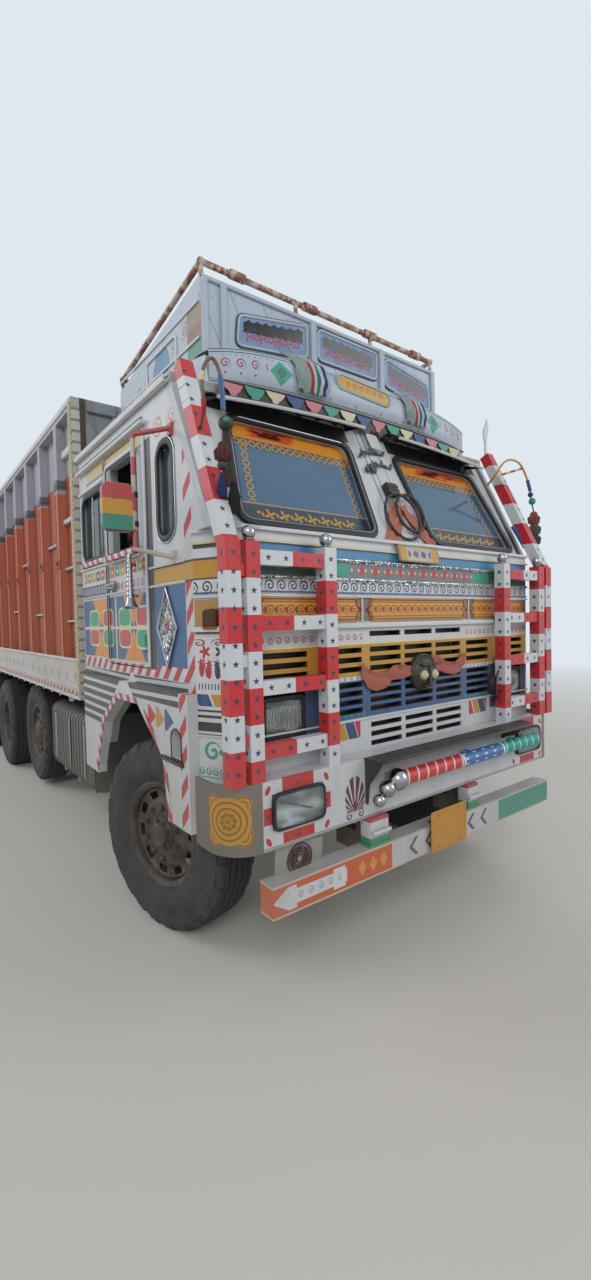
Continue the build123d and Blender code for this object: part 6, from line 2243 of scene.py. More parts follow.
lip = meshPiece("archTrim", points, [(i, i + 1, count + i + 1, count + i) for i in range(count - 1)])
stripes.append(raised(lip, 0.005, onSide(sideShape["skirt"] + 0.001, 0, 0)))
bothSides("stripedSill", stripes, stripedEdge)

# steel tread under the foothold, and the foothold's edge
y0, y1, z0, z1 = sideShape["tread"]
tread = [cabBox("tread", (-1.215, -1.262), (y0, y1), (z0, z1), 0.002)]
for i in range(sideShape["teeth"]["count"]):
    y = y0 + 0.018 + i * sideShape["teeth"]["pitch"]
    tread.append(cabBox("treadTooth", (-1.222, -1.263), (y, y + 0.010), (z1 - 0.001, z1 + 0.006), 0.001))
middle, radius, low, high = sideShape["foothold"]
steps = [(-radius, low - high + radius), (radius, low - high + radius)] + [
    (radius * math.cos(math.pi * i / 12), radius * math.sin(math.pi * i / 12)) for i in range(13)]
tread.append(
    ringPiece(
        "footholdEdge", steps, 0.007, 0.0, 0.004, onSide(sideShape["skirt"], middle, high - radius), 0.001
    )
)
bothSides("stepTread", tread, paints["black"])

# mirror-work diamond with a bright edge
y, z, halfU, halfV = sideShape["mosaic"]
shape = [(halfU, 0), (0, halfV), (-halfU, 0), (0, -halfV)]
at = onSide(sideShape["wall"], y, z)
edges = [
    ringPiece("mosaicEdge", shape, 0.006, 0.012, 0.012, at, 0.004),
    ringPiece("mosaicInner", [(u * 0.66, v * 0.66) for u, v in shape], 0.003, 0.003, 0.009, at, 0.002)
]
bothSides("mosaicEdge", edges, paints["chrome"])
bothSides("mosaicField", [platePiece("mosaicField", shape, 0.005, at)], mosaic, 0)
print("cab side trims made")

# Doors: window frame, sill, handle, raised panel edges, and the silver horn tied at the front of each
face = sideShape["door"]
y0, y1, z0, z1 = sideShape["doorWindow"]
at = onSide(face, (y0 + y1) / 2, (z0 + z1) / 2)
shape = roundedBox((y1 - y0) / 2, (z1 - z0) / 2, 0.030)
doorWhite = [ringPiece("doorWindowFrame", shape, 0.018, 0.0, 0.006, at, 0.002)]
doorWhite += [cabBox(*ridge) for ridge in sideShape["doorRidges"]]
bothSides("doorTrim", doorWhite, paints["white"], bodies=doors)
bothSides(
    "doorRubber",
    [
        ringPiece("doorWindowRubber", shape, 0.001, 0.010, 0.004, at @ lifted(-0.001), 0.001),
        cabBox("doorSeal", (-1.219, -1.2235), (1.306, 1.316), (1.46, 2.62), 0.001)
    ],
    paints["rubber"], bodies=doors
)
bothSides(
    "doorSill", [cabBox("doorSill", (-1.219, -1.244), (0.805, 1.290), (2.026, 2.056), 0.005, 2)],
    stripedEdge, bodies=doors
)
handle = [
    cabBox("handlePlate", (-1.219, -1.225), (1.180, 1.300), (1.872, 1.905), 0.002),
    pipePiece(
        "handleBar",
        [
            (-1.222, cab["face"] + 1.192, 1.888), (-1.247, cab["face"] + 1.198, 1.888),
            (-1.247, cab["face"] + 1.268, 1.888), (-1.222, cab["face"] + 1.276, 1.888)
        ],
        0.0065, 8
    )
]
handle.append(
    turnedPiece(
        "doorLock", [(0.0, 0.011), (0.005, 0.011), (0.006, 0.008), (0.006, 0.0001)], 16,
        Matrix.Translation((-1.219, cab["face"] + 1.24, 1.848)) @ Matrix.Rotation(math.pi, 4, "Z")
    )
)
bothSides("doorHandle", handle, paints["chrome"], bodies=doors)

hornFacts = {"top": (-1.250, 0.852, 2.020), "foot": (-1.262, 0.816, 1.745), "grooves": 9}
start, end = (Vector(cabSpot(*hornFacts[key])) for key in ("top", "foot"))
reach = (end - start).length
profile = [(0.0, 0.0001), (0.0, 0.010)]
for i in range(hornFacts["grooves"] * 4):
    t = (i + 1) / (hornFacts["grooves"] * 4)
    profile.append((t * reach * 0.80, 0.010 + 0.010 * t + 0.0022 * math.sin(i * math.pi / 2)))
profile += [
    (reach * 0.82, 0.020), (reach * 0.90, 0.024), (reach * 0.97, 0.034), (reach, 0.040), (reach, 0.037),
    (reach * 0.95, 0.028), (reach * 0.85, 0.018), (reach * 0.80, 0.0001)
]
cone = turnedPiece("silverHorn", profile, 28)
along = (end - start).normalized()
cone.data.transform(Matrix.Translation(start) @ along.to_track_quat("X", "Z").to_matrix().to_4x4())
clips = [
    cabBox("hornClip", (-1.219, -1.252), (0.836, 0.862), (1.960, 1.975), 0.002),
    cabBox("hornClipFoot", (-1.219, -1.252), (0.816, 0.844), (1.800, 1.812), 0.002)
]
bothSides("silverHorn", [cone] + clips, paints["chrome"], 40, doors)
print("doors dressed")


# Load body sides: stake caps, rope rings, cross bars, twisted corner post, lace band and hooks
loadShape = {"firstStake": 0.47, "pitch": 0.553, "stakes": 12, "half": 0.04, "band": 1.43, "cap": 2.700,
    "ring": 2.14,
             "hooks": (24, 0.276), "bosses": (27, 0.2405),  # how many, and their pitch
             "rope": {"strands": 3, "radius": 0.0075, "turns": 21, "steps": 150, "foot": 1.165, "tall": 2.03},
             # of the first bay: height, thickness
             "slats": [(2.905, 0.052), (2.420, 0.034), (2.080, 0.016), (1.690, 0.014)],
             "farSlats": [(0, 2.300), (1, 1.760), (2, 2.260), (3, 1.820), (5, 2.420), (6, 1.700),
                 (8, 2.120), (9, 1.880)],
             "rails": [  # how far out, from and to up, bevel
                 ("topRail", -1.214, -1.232, 3.176, 3.216, 0.004),
                 ("bandRail", -1.219, -1.232, 1.412, 1.432, 0.003),
                 ("footRail", -1.219, -1.236, 1.146, 1.168, 0.003),
                 ("midBandRail", -1.219, -1.228, 1.222, 1.232, 0.002),
             ]}
loadFace, loadLength = load["front"], load["rear"] - load["front"]


def loadBox(name, x, y, z, bevel=0.003, segments=1):
    return cabBox(name, x, y, z, bevel, segments, loadFace)


caps, rings, bars, ledges = [], [], [], []
ringLine = [(0, 0.040 * math.cos(math.pi * i / 10), 0.048 * math.sin(math.pi * i / 10)) for i in range(11)]
ringMaster = pipePiece("ringMaster", ringLine, 0.0055, 8)
stud = boxPiece("studMaster", (-0.004, -0.052, -0.012), (0.004, 0.052, 0.004), 0.002, 1)
ringMaster = joined("ringMaster", [ringMaster, stud])
for i in range(loadShape["stakes"]):
    y = loadShape["firstStake"] + i * loadShape["pitch"]
    if y > loadLength - 0.14:
        break
    low, high = y - loadShape["half"], y + loadShape["half"]
    height = loadShape["cap"] - 0.012 * (i % 3)
    caps.append(
        loadBox(
            "stakeCap", (-1.1590, -1.2290), (low - 0.006, high + 0.006), (height, height + 0.052), 0.005, 2
        )
    )
    caps.append(
        loadBox(
            "stakeNeck", (-1.1590, -1.2260), (low - 0.003, high + 0.003), (height - 0.018, height), 0.002
        )
    )
    for edge in (low, high):  # the pressed edges of each stake
        ledges.append(
            loadBox(
                "stakeEdge", (-1.2190, -1.2245), (edge - 0.0035, edge + 0.0035),
                (loadShape["band"] + 0.004, height - 0.02), 0.0015
            )
        )
    rings.append(
        copyPiece(
            ringMaster, "ropeRing",
            Matrix.Translation((-1.227, loadFace + y, loadShape["ring"] + 0.03 * ((i * 7) % 3 - 1)))
        )
    )
    if y + loadShape["pitch"] < loadLength - 0.14:
        between = y + loadShape["pitch"] / 2
        rings.append(
            copyPiece(
                ringMaster, "ropeRing",
                Matrix.Translation((-1.167, loadFace + between, loadShape["ring"] - 0.02))
            )
        )
removePiece(ringMaster)
first = loadShape["firstStake"] - loadShape["half"]
for z, tall in loadShape["slats"]:  # cross bars in the first bay, and a few further back
    bars.append(loadBox("baySlat", (-1.160, -1.190), (0.092, first), (z, z + tall), 0.004))
for bay, z in loadShape["farSlats"]:
    y = loadShape["firstStake"] + bay * loadShape["pitch"] + loadShape["half"]
    bars.append(
        loadBox(
            "baySlat", (-1.160, -1.186), (y, y + loadShape["pitch"] - 2 * loadShape["half"]),
            (z, z + 0.016), 0.004
        )
    )
bothSides("stakeCap", caps, paints["tank"])
bothSides("stakeEdge", ledges, paints["load"])
bothSides(
    "ropeRing", rings, plainPaint("ringRed", "9c4536", "6f4034", most=0.3, low=0.8, high=2.6, rough=0.5),
    40
)
bothSides("baySlat", bars, paints["white"])

strands = []
rope = loadShape["rope"]
for k in range(rope["strands"]):  # laid up the front corner
    points = []
    for i in range(rope["steps"]):
        t = i / (rope["steps"] - 1)
        turn = 2 * math.pi * (k / rope["strands"] + t * rope["turns"])
        points.append(
            (
                -1.226 + rope["radius"] * math.cos(turn),
                loadFace + 0.018 + rope["radius"] * math.sin(turn), rope["foot"] + t * rope["tall"]
            )
        )
    strands.append(pipePiece("cornerStrand", points, rope["radius"], 8))
bothSides("cornerRope", strands, paints["cream"], 60)

trim = [
    loadBox(name, (x0, x1), (0.0, loadLength), (z0, z1), bevel) for name, x0, x1, z0, z1,
    bevel in loadShape["rails"]
]
count, pitch = loadShape["hooks"]
for i in range(count):  # small hooks for the tarpaulin rope along the foot
    y = 0.20 + i * pitch
    hook = pipePiece(
        "ropeHook",
        [
            (-1.230, loadFace + y, 1.150), (-1.246, loadFace + y, 1.140), (-1.250, loadFace + y, 1.158),
            (-1.246, loadFace + y, 1.172)
        ],
        0.004, 6
    )
    trim.append(hook)
bothSides("loadRail", trim, paints["white"])
petals = []
count, pitch = loadShape["bosses"]
for i in range(count):  # pressed rosettes along the band
    y = 0.13 + i * pitch
    petals.append(
        turnedPiece(
            "bandBoss", [(0.0, 0.036), (0.0025, 0.034), (0.004, 0.022), (0.008, 0.018), (0.010, 0.0001)],
            12, Matrix.Translation((-1.2195, loadFace + y, 1.318)) @ Matrix.Rotation(math.pi, 4, "Z")
        )
    )
bothSides("bandBoss", petals, tinted("bossPaint", "b9c4c9"))
print("load body sides dressed")


# Front bulkhead and rear of the load body
wallRibs = [
    loadBox("bulkheadRib", (x - 0.025, x + 0.025), (-0.0005, -0.022), (1.20, 3.17), 0.005)
    for x in (-0.92, -0.46, 0.0, 0.46, 0.92)
]
wallRibs += [loadBox("bulkheadHead", (-1.12, 1.12), (-0.0005, -0.030), (3.130, 3.205), 0.005)]
settle(joined("bulkheadRibs", wallRibs), paints["wall"], 30)

tail = {"face": 4.468, "ribs": (-0.74, -0.37, 0.0, 0.37, 0.74), "rails": (1.230, 1.690, 2.170),
        "links": 9, "linkPitch": 0.022, "straps": (1.47, 1.86, 2.25, 2.64, 3.03), "lamp": (0.93, 0.590)}
gateParts = []
for x in tail["ribs"]:
    gateParts.append(
        boxPiece(
            "gateRib", (x - 0.022, tail["face"] - 0.001, 1.230), (x + 0.022, tail["face"] + 0.0065, 2.200),
            0.003, 1
        )
    )
for z in tail["rails"]:
    gateParts.append(
        boxPiece(
            "gateRail", (-1.100, tail["face"] - 0.001, z), (1.100, tail["face"] + 0.0055, z + 0.030), 0.003,
            1
        )
    )
settle(joined("gateRibs", gateParts), paints["gate"], 30, "tailgate")
chains = []
for side in (-1, 1):
    for i in range(tail["links"]):
        z = 2.150 - i * tail["linkPitch"]
        link = pipePiece(
            "chainLink",
            [
                (
                    side * 1.085 + (0.007 * math.cos(a) if i % 2 else 0),
                    tail["face"] + 0.008 + (0 if i % 2 else 0.003 * math.cos(a)), z + 0.015 * math.sin(a)
                )
                for a in (j * math.pi / 4 for j in range(8))
            ],
            0.0028, 6, closed=True
        )
        chains.append(link)
settle(joined("gateChains", chains), paints["chrome"], 40, "tailgate")

lampParts, lampBacks = {"redLens": [], "amber": []}, []
for side in (-1, 1):
    out, height = side * tail["lamp"][0], tail["lamp"][1]
    lampBacks.append(
        boxPiece("tailLampBox", (out - 0.17, 4.440, 0.548), (out + 0.17, 4.4495, 0.632), 0.003, 1)
    )
    for k, colour in enumerate(("redLens", "amber", "redLens")):
        x = side * (0.93 + (k - 1) * 0.105)
        lampParts[colour].append(
            turnedPiece(
                "tailLens",
                [(0.0, 0.038), (0.012, 0.038), (0.016, 0.034), (0.018, 0.020), (0.0185, 0.0001)], 28,
                Matrix.Translation((x, 4.4490, height)) @ rotation(90, "Z")
            )
        )
settle(joined("tailLampBoxes", lampBacks), paints["black"], 30)
for colour, parts in lampParts.items():
    settle(joined(f"{colour}TailLamps", parts), paints[colour], 40)
rearPlate = boxPiece("rearNumberPlate", (-0.17, 4.4465, 0.545), (0.17, 4.4500, 0.625), 0.001, 1)
settle(rearPlate, plainPaint("rearPlateYellow", "c98a22", "8a5a18", most=0.4, high=1.1))
cornerBars = []
for side in (-1, 1):
    for z in tail["straps"]:
        cornerBars.append(
            boxPiece(
                "rearCornerStrap", (side * 1.165 - 0.052, 4.4525, z),
                (side * 1.165 + 0.052, 4.4585, z + 0.045), 0.002, 1
            )
        )
settle(joined("rearCornerStraps", cornerBars), paints["red"], 30)
print("rear dressed")


# Fuel tank: upright ribs, straps, cap and feet
tankShape = {
    "x": (-1.125, -0.430), "first": -2.152, "z": (0.435, 0.995), "corner": 0.09, "ribs": 15, "pitch": 0.079,
    "straps": (-2.02, -1.60, -1.17)
}
ribs = []
x0, x1, z0, z1 = tankShape["x"] + tankShape["z"]
shape = roundedBox((x1 - x0) / 2, (z1 - z0) / 2, tankShape["corner"] - 0.004)
for i in range(tankShape["ribs"]):
    y = tankShape["first"] + i * tankShape["pitch"]
    at = Matrix.Translation(((x0 + x1) / 2, y, (z0 + z1) / 2)) @ rotation(90, "X")
    ribs.append(ringPiece("tankRib", shape, 0.008, 0.004, 0.022, at @ lifted(-0.011), 0.004))
settle(joined("tankRibs", ribs), paints["tank"], 30)
fittings = []
fittings.append(
    turnedPiece(
        "tankNeck",
        [(-0.03, 0.040), (0.015, 0.040), (0.018, 0.046), (0.040, 0.046), (0.044, 0.040), (0.044, 0.0001)],
        28, Matrix.Translation((-0.98, -1.20, 0.985)) @ xToZ
    )
)
for y in tankShape["straps"]:
    fittings.append(boxPiece("tankStrap", (-1.137, y - 0.020, 0.520), (-1.129, y + 0.020, 0.910), 0.002, 1))
    fittings.append(
        turnedPiece(
            "tankFoot",
            [
                (-0.035, 0.0001), (-0.035, 0.012), (-0.020, 0.012), (-0.020, 0.018), (0.012, 0.018),
                (0.012, 0.0001)
            ],
            14, Matrix.Translation((-1.060, y, 0.425)) @ xToZ
        )
    )
settle(joined("tankFittings", fittings), paints["chrome"], 30)
print("fuel tank dressed")


# Pillar between the windscreens, on the leaning plane: sprigs, small box, black rings, salmon cloth, sign
pillar = {
    "sprigs": [
        [(-0.128, 0.572), (-0.062, 0.606), (0.010, 0.628), (0.100, 0.632)],
        [(-0.082, 0.498), (0.000, 0.532), (0.070, 0.548), (0.122, 0.535)],
        [(-0.115, 0.470), (-0.070, 0.486), (-0.030, 0.480)]
    ],
    "rings": [((0.018, 0.174), 0.128, 0.150, -25), ((0.098, 0.208), 0.104, 0.122, -22)],
    "sign": {"middle": (-0.020, 1.992), "half": (0.160, 0.046)},
}
stems, leaves = [], []
for k, run in enumerate(pillar["sprigs"]):
    path = [screenPlane @ Vector((x, d, 0.012 + 0.010 * math.sin(i * 2.0))) for i, (x, d) in enumerate(run)]
    stems.append(pipePiece("sprigStem", [tuple(q) for q in path], 0.0045, 6, curved=True))
    for i in range(9):
        t = (i + 0.5) / 9 * (len(path) - 1)
        j = min(int(t), len(path) - 2)
        spot = path[j].lerp(path[j + 1], t - j)
        outline = [(0, 0), (0.010, 0.010), (0.011, 0.024), (0, 0.040), (-0.011, 0.024), (-0.010, 0.010)]
        turn = rotation(
            -40 + 80 * (i % 2) + 25 * math.sin(i * 3.1 + k), "Z"
        ) @ rotation(25 * math.sin(i * 1.7), "X")
        leaves.append(
            platePiece(
                "sprigLeaf", outline, 0.0015,
                Matrix.Translation(spot) @ screenPlane.to_3x3().to_4x4() @ turn
            )
        )
settle(
    joined("pillarSprigs", stems + leaves),
    plainPaint("sprigGreen", "1d3a35", "2d4a3a", most=0.2, high=2.9, low=2.0, rough=0.5), 40
)
box = [
    platePiece(
        "pillarBox", roundedBox(0.044, 0.036, 0.006), 0.038,
        screenPlane @ Matrix.Translation((0.022, 0.362, 0.002)), 0.004, 2
    ),
    platePiece(
        "pillarBoxLine", roundedBox(0.046, 0.006, 0.003), 0.041,
        screenPlane @ Matrix.Translation((0.022, 0.374, 0.002)), 0.001, 1
    ),
    platePiece(
        "pillarBoxLine", roundedBox(0.046, 0.004, 0.002), 0.041,
        screenPlane @ Matrix.Translation((0.022, 0.350, 0.002)), 0.001, 1
    )
]
settle(joined("pillarBox", box), paints["black"], 30)
rings = []
for (x, d), halfU, halfV, tilt in pillar["rings"]:
    path = []
    for i in range(28):
        a = 2 * math.pi * i / 28
        u, v = halfU * math.cos(a), halfV * math.sin(a)
        path.append(
            tuple(
                screenPlane
                @ (
                    Vector((x, d, 0.030)) + Matrix.Rotation(math.radians(tilt), 3, "Z")
                    @ Vector((u, v, 0.010 * math.sin(a)))
                )
            )
        )
    rings.append(pipePiece("pillarRing", path, 0.0085, 10, closed=True))
    for i in range(0, 28, 2):  # binding round each ring
        rings.append(
            pipePiece(
                "ringBinding",
                [tuple(Vector(path[i]).lerp(Vector(path[(i + 1) % 28]), t)) for t in (0.1, 0.4)], 0.0100, 10
            )
        )
settle(joined("pillarRings", rings), paints["black"], 40)


def strapPiece(name, run, wide, off=0.010):  # a hung strip of cloth along the leaning plane
    length = sum((Vector(b) - Vector(a)).length for a, b in zip(run, run[1:]))

    def strapPoint(u, v):
        t = v * (len(run) - 1)
        j = min(int(t), len(run) - 2)
        a, b = Vector(run[j]), Vector(run[j + 1])
        spot = a.lerp(b, t - j)
        across = Vector((-(b - a).y, (b - a).x)).normalized()
        spot += across * (u - 0.5) * wide * (1 + 0.10 * math.sin(v * 7.0))
        lift = off + 0.007 * math.sin(u * 11 + v * 6) + 0.004 * math.sin(v * 19 + u * 3)
        return tuple(screenPlane @ Vector((spot.x, spot.y, max(lift, 0.003))))

    piece = gridPiece(name, 10, 24, strapPoint)
    applied(piece, "SOLIDIFY", thickness=0.004, offset=0)
    applied(piece, "SUBSURF", levels=1, render_levels=1)
    settle(piece, paints["salmon"], 60)


strapPiece("salmonStrapNear", [(0.045, 0.268), (-0.030, 0.160), (-0.110, 0.040), (-0.185, -0.060)], 0.096)
strapPiece(
    "salmonStrapFar", [(0.070, 0.262), (0.115, 0.150), (0.165, 0.060), (0.205, 0.010)], 0.070, off=0.016
)
sign = pillar["sign"]
at = facing(sign["middle"][0], -0.020, sign["middle"][1], 14.0) @ rotation(-1.0, "Z")
plate = platePiece("blankSign", roundedBox(*sign["half"], 0.010), 0.012, at, 0.003, 2)


def signPaint():
    p = Paint("signPaint")
    x, z = p.x - sign["middle"][0], p.z - sign["middle"][1]
    ends = abs(x) > 0.098
    edge = (abs(x) > 0.148) | (abs(z) > 0.036)
    rows = (x.cell(0.060) * x.cell(0.060) + z * z * 1.2 < 0.00040) & (abs(x) < 0.09)
    return enamel(p, p.layers("b9b39f", (ends, "c9952f"), (edge, "8c8069"), (rows, "3c4a86")), worn=0.7)


settle(plate, signPaint(), 30)
print("pillar ornaments made")


# Hoops of cane on the leaning posts, with beads, balls and tassels hanging from them
hoops = {
    "near": {
        "path": [
            (-1.190, 0.150, 2.460), (-1.240, 0.020, 2.500), (-1.256, 0.000, 2.585), (-1.240, 0.000, 2.655),
            (-1.206, 0.000, 2.685), (-1.176, 0.000, 2.637), (-1.169, -0.005, 2.541), (-1.169, -0.010, 2.455)
        ],
        "bands": [(0.74, 0.94, "blue"), (0.12, 0.20, "red"), (0.30, 0.36, "cream")], "cane": "brown"
    },
    "far": {
        "path": [
            (1.030, 0.230, 2.560), (0.990, 0.150, 2.600), (1.010, 0.105, 2.670), (1.090, 0.095, 2.705),
            (1.190, 0.095, 2.700), (1.255, 0.095, 2.655), (1.300, 0.095, 2.600)
        ],
        "bands": [], "cane": "yellow"
    },
}
hoopPaint = {
    "brown": plainPaint("brownCane", "6e5341", "4a3a2e", most=0.2, high=3.2, low=2.0, rough=0.5),
    "yellow": plainPaint("yellowCane", "cf9a3e", "a5772c", most=0.15, high=3.2, low=2.0, rough=0.4)
}


def smoothRun(path, steps):  # Catmull-Rom through the points
    points = [Vector(q) for q in path]
    points = [points[0] * 2 - points[1]] + points + [points[-1] * 2 - points[-2]]
    out = []
    spans = len(points) - 3
    for k in range(steps + 1):
        s = k / steps * spans
        j = min(int(s), spans - 1)
        t = s - j
        a, b, c, d = points[j:j + 4]
        out.append(
            0.5
            * (
                (2 * b) + (c - a) * t + (2 * a - 5 * b + 4 * c - d) * t * t
                + (3 * b - 3 * c + d - a) * t ** 3
            )
        )
    return out


for key, facts in hoops.items():
    run = [q + Vector((0, cab["face"], 0)) for q in smoothRun(facts["path"], 48)]
    cane = pipePiece(f"{key}Hoop", [tuple(q) for q in run], 0.0075, 10)
    settle(cane, hoopPaint[facts["cane"]], 50)
    for low, high, shade in facts["bands"]:
        part = [tuple(q) for q in run[int(low * 48):int(high * 48) + 1]]
        settle(pipePiece(f"{key}{shade}Binding", part, 0.0105, 10), paints[shade], 50)


def tasselPiece(name, top, length, spread):  # a bound head over a skirt of yarn
    strands = 26
    made = [ballPiece("tasselHead", top, spread * 0.62, 10, 0.9)]
    for i in range(strands):
        a = 2 * math.pi * i / strands
        outer = spread * (0.86 + 0.14 * math.sin(i * 2.7))
        line = [
            (
                top[0] + spread * 0.42 * math.cos(a), top[1] + spread * 0.42 * math.sin(a),
                top[2] - spread * 0.15
            ),
            (top[0] + outer * math.cos(a), top[1] + outer * math.sin(a), top[2] - length * 0.42),
            (
                top[0] + outer * 0.90 * math.cos(a), top[1] + outer * 0.90 * math.sin(a),
                top[2] - length * (0.94 + 0.06 * math.sin(i * 1.9))
            )
        ]
        made.append(pipePiece("tasselYarn", line, spread * 0.17, 6, taper=[1.0, 1.0, 0.75]))
    made.append(
        turnedPiece(
            "tasselCore",
            [
                (0.0, 0.0001), (0.0, spread * 0.55), (length * 0.45, spread * 0.86),
                (length * 0.92, spread * 0.76), (length * 0.92, 0.0001)
            ],
            18, Matrix.Translation((top[0], top[1], top[2] - spread * 0.2)) @ rotation(90, "Y")
        )
    )
    return joined(name, made)


def yarn(name, colour):
    p = Paint(name)
    twist = ((p.z * 900.0) + p.angle(p.x * 40.0, p.y * 40.0) * 6.0).sine()
    cloud = p.noise(40.0, 3.0)
    return p.finish(p.mix((cloud - 0.4).clamped(), colour, "3a2c2a"), 0.9, 0.0, twist + cloud, 0.002)


drops = [
    (
        "nearCord", "cord",
        [cabSpot(-1.169, -0.010, 2.480), cabSpot(-1.178, -0.014, 2.350), cabSpot(-1.184, -0.014, 2.180)],
        None
    ),
    ("nearBall", "ball", cabSpot(-1.166, -0.020, 2.438), (0.030, "black")),
    ("nearBead", "ball", cabSpot(-1.180, -0.046, 2.442), (0.011, "teal")),
    ("nearTassel", "tassel", cabSpot(-1.180, -0.016, 2.350), (0.056, 0.033, "6e3a36")),
    ("nearBeadMiddle", "ball", cabSpot(-1.183, -0.014, 2.275), (0.020, "dash")),
    ("nearTasselBrown", "tassel", cabSpot(-1.170, -0.016, 2.262), (0.070, 0.020, "5a3c3a")),
    ("nearTasselBlue", "tassel", cabSpot(-1.186, -0.014, 2.238), (0.090, 0.018, "27447f")),
    ("nearTasselBlack", "tassel", cabSpot(-1.140, -0.026, 2.205), (0.120, 0.022, "1d2321")),
    (
        "farCord", "cord",
        [
            cabSpot(1.298, 0.095, 2.602), cabSpot(1.330, 0.095, 2.540), cabSpot(1.342, 0.095, 2.480),
            cabSpot(1.380, 0.095, 2.380), cabSpot(1.390, 0.095, 2.240)
        ],
        None
    ),
    ("farBeadGreen", "ball", cabSpot(1.360, 0.095, 2.462), (0.024, "teal")),
    ("farBeadBlack", "ball", cabSpot(1.338, 0.095, 2.505), (0.018, "black")),
    ("farTasselSalmon", "tassel", cabSpot(1.382, 0.095, 2.372), (0.062, 0.040, "a8605a")),
    ("farTasselGrey", "tassel", cabSpot(1.388, 0.095, 2.300), (0.062, 0.043, "77706e")),
    ("farTasselLow", "tassel", cabSpot(1.390, 0.095, 2.232), (0.066, 0.041, "5f6165")),
]
for name, kind, spot, facts in drops:
    if kind == "cord":
        settle(
            pipePiece(name, [tuple(q) for q in smoothRun(spot, 16)], 0.005, 8), paints["black"],
            40
        )
    elif kind == "ball":
        settle(ballPiece(name, spot, facts[0], 14), paints[facts[1]], 40)
    else:
        settle(tasselPiece(name, spot, facts[0], facts[1]), yarn(name + "Yarn", facts[2]), 40)
blueSleeve = [cabSpot(1.300, 0.095, 2.600), cabSpot(1.335, 0.095, 2.530)]
settle(pipePiece("farBlueSleeve", blueSleeve, 0.013, 10), paints["blue"], 40)
stick = []
for i in range(6):
    a, b = (
        Vector(cabSpot(0.985, 0.140, 2.590)).lerp(Vector(cabSpot(1.240, 0.095, 2.672)), (i + k) / 6)
        for k in (0, 1)
    )
    stick.append(pipePiece("hoopStick", [tuple(a), tuple(b)], 0.0085, 8))
settle(joined("hoopStickRed", stick[1::2]), paints["red"], 40)
settle(joined("hoopStickPale", stick[0::2]), paints["cream"], 40)
ribbon = [cabSpot(1.135, 0.115, 2.270), cabSpot(1.160, 0.080, 2.190), cabSpot(1.178, 0.050, 2.120)]
settle(pipePiece("postRibbon", ribbon, 0.014, 8), paints["blue"], 40)
spike = [
    (0.0, -0.012), (0.012, 0.0), (0.010, 0.090), (0.030, 0.140), (0.026, 0.180), (-0.018, 0.262),
    (-0.034, 0.220), (-0.030, 0.170), (-0.012, 0.110), (-0.014, 0.0)
]
spike = platePiece(
    "postSpikes", spike, 0.008, facing(1.150, 0.325, 2.796) @ Matrix.Scale(-1, 4, (1, 0, 0)), 0.003, 1
)
settle(spike, paints["white"], 30)
print("hoops and tassels made")


# Seats: sprung bases, with cushions and backs as padded covers
seatShape = {
    "cushion": {"x": (-1.072, -0.478), "y": (0.958, 1.462), "z": (1.672, 1.782), "seams": 4},
    "back": {"x": (-1.072, -0.478), "y": (1.378, 1.492), "z": (1.800, 2.322), "seams": 4},
    "bench": {"x": (-1.090, 1.090), "y": (1.567, 1.825), "z": (1.730, 1.842), "seams": 7},
    "cap": 0.024,  # the furthest that a point may swell
    "voxel": 0.009, "quickVoxel": 0.020, "shrink": 0.010, "pressure": 4.0, "frames": 20,
    "groove": (0.010, 0.012),  # half width and depth of the seams between the channels
    "slack": 0.008,  # how far a cushion may stand out of its space
}


# a cushion that swells in a cloth run, its travel capped, then sewn across in channels
def padPiece(name, facts, thin):
    low, high = (Vector(cabSpot(*corner)) for corner in zip(facts["x"], facts["y"], facts["z"]))
    inset = Vector((seatShape["shrink"],) * 3)
    piece = boxPiece(name, tuple(low + inset), tuple(high - inset), 0.030, 3)
    applied(piece, "REMESH", mode="VOXEL", voxel_size=seatShape["voxel"])
    rest = [point.co.copy() for point in piece.data.vertices]
    cloth = piece.modifiers.new("swell", "CLOTH")
    cloth.settings.quality = 4
    cloth.settings.use_pressure = True
    cloth.settings.uniform_pressure_force = seatShape["pressure"]
    cloth.settings.effector_weights.gravity = 0.0
    cloth.settings.tension_stiffness = 20
    for moment in range(seatShape["frames"]):
        bpy.context.scene.frame_set(moment + 1)
    shaped = piece.evaluated_get(bpy.context.evaluated_depsgraph_get())
    moved = [point.co.copy() for point in shaped.data.vertices]
    piece.modifiers.remove(cloth)
    bpy.context.scene.frame_set(1)
    for point, start, end in zip(piece.data.vertices, rest, moved):
        step = end - start
        if step.length > seatShape["cap"]:
            step = step.normalized() * seatShape["cap"]
        point.co = start + step
    middle = (low + high) / 2
    wide, deep = seatShape["groove"]
    slack = seatShape["slack"]
    for point in piece.data.vertices:
        spot = point.co
        u = (spot.x - low.x) / (high.x - low.x) * facts["seams"]
        isInner = 0.5 < u < facts["seams"] - 0.5
        groove = math.exp(
            -((u - round(u)) * (high.x - low.x) / facts["seams"] / wide) ** 2
        ) if isInner else 0.0
        outward = 1.0 if (spot[thin] - middle[thin]) > 0 else -1.0
        spot[thin] -= outward * groove * deep
        for axis in range(3):  # stays inside its space
            spot[axis] = min(max(spot[axis], low[axis] - slack), high[axis] + slack)
    applied(piece, "SUBSURF", levels=1, render_levels=1)
    settle(piece, paints["seat"], 60)
    return piece


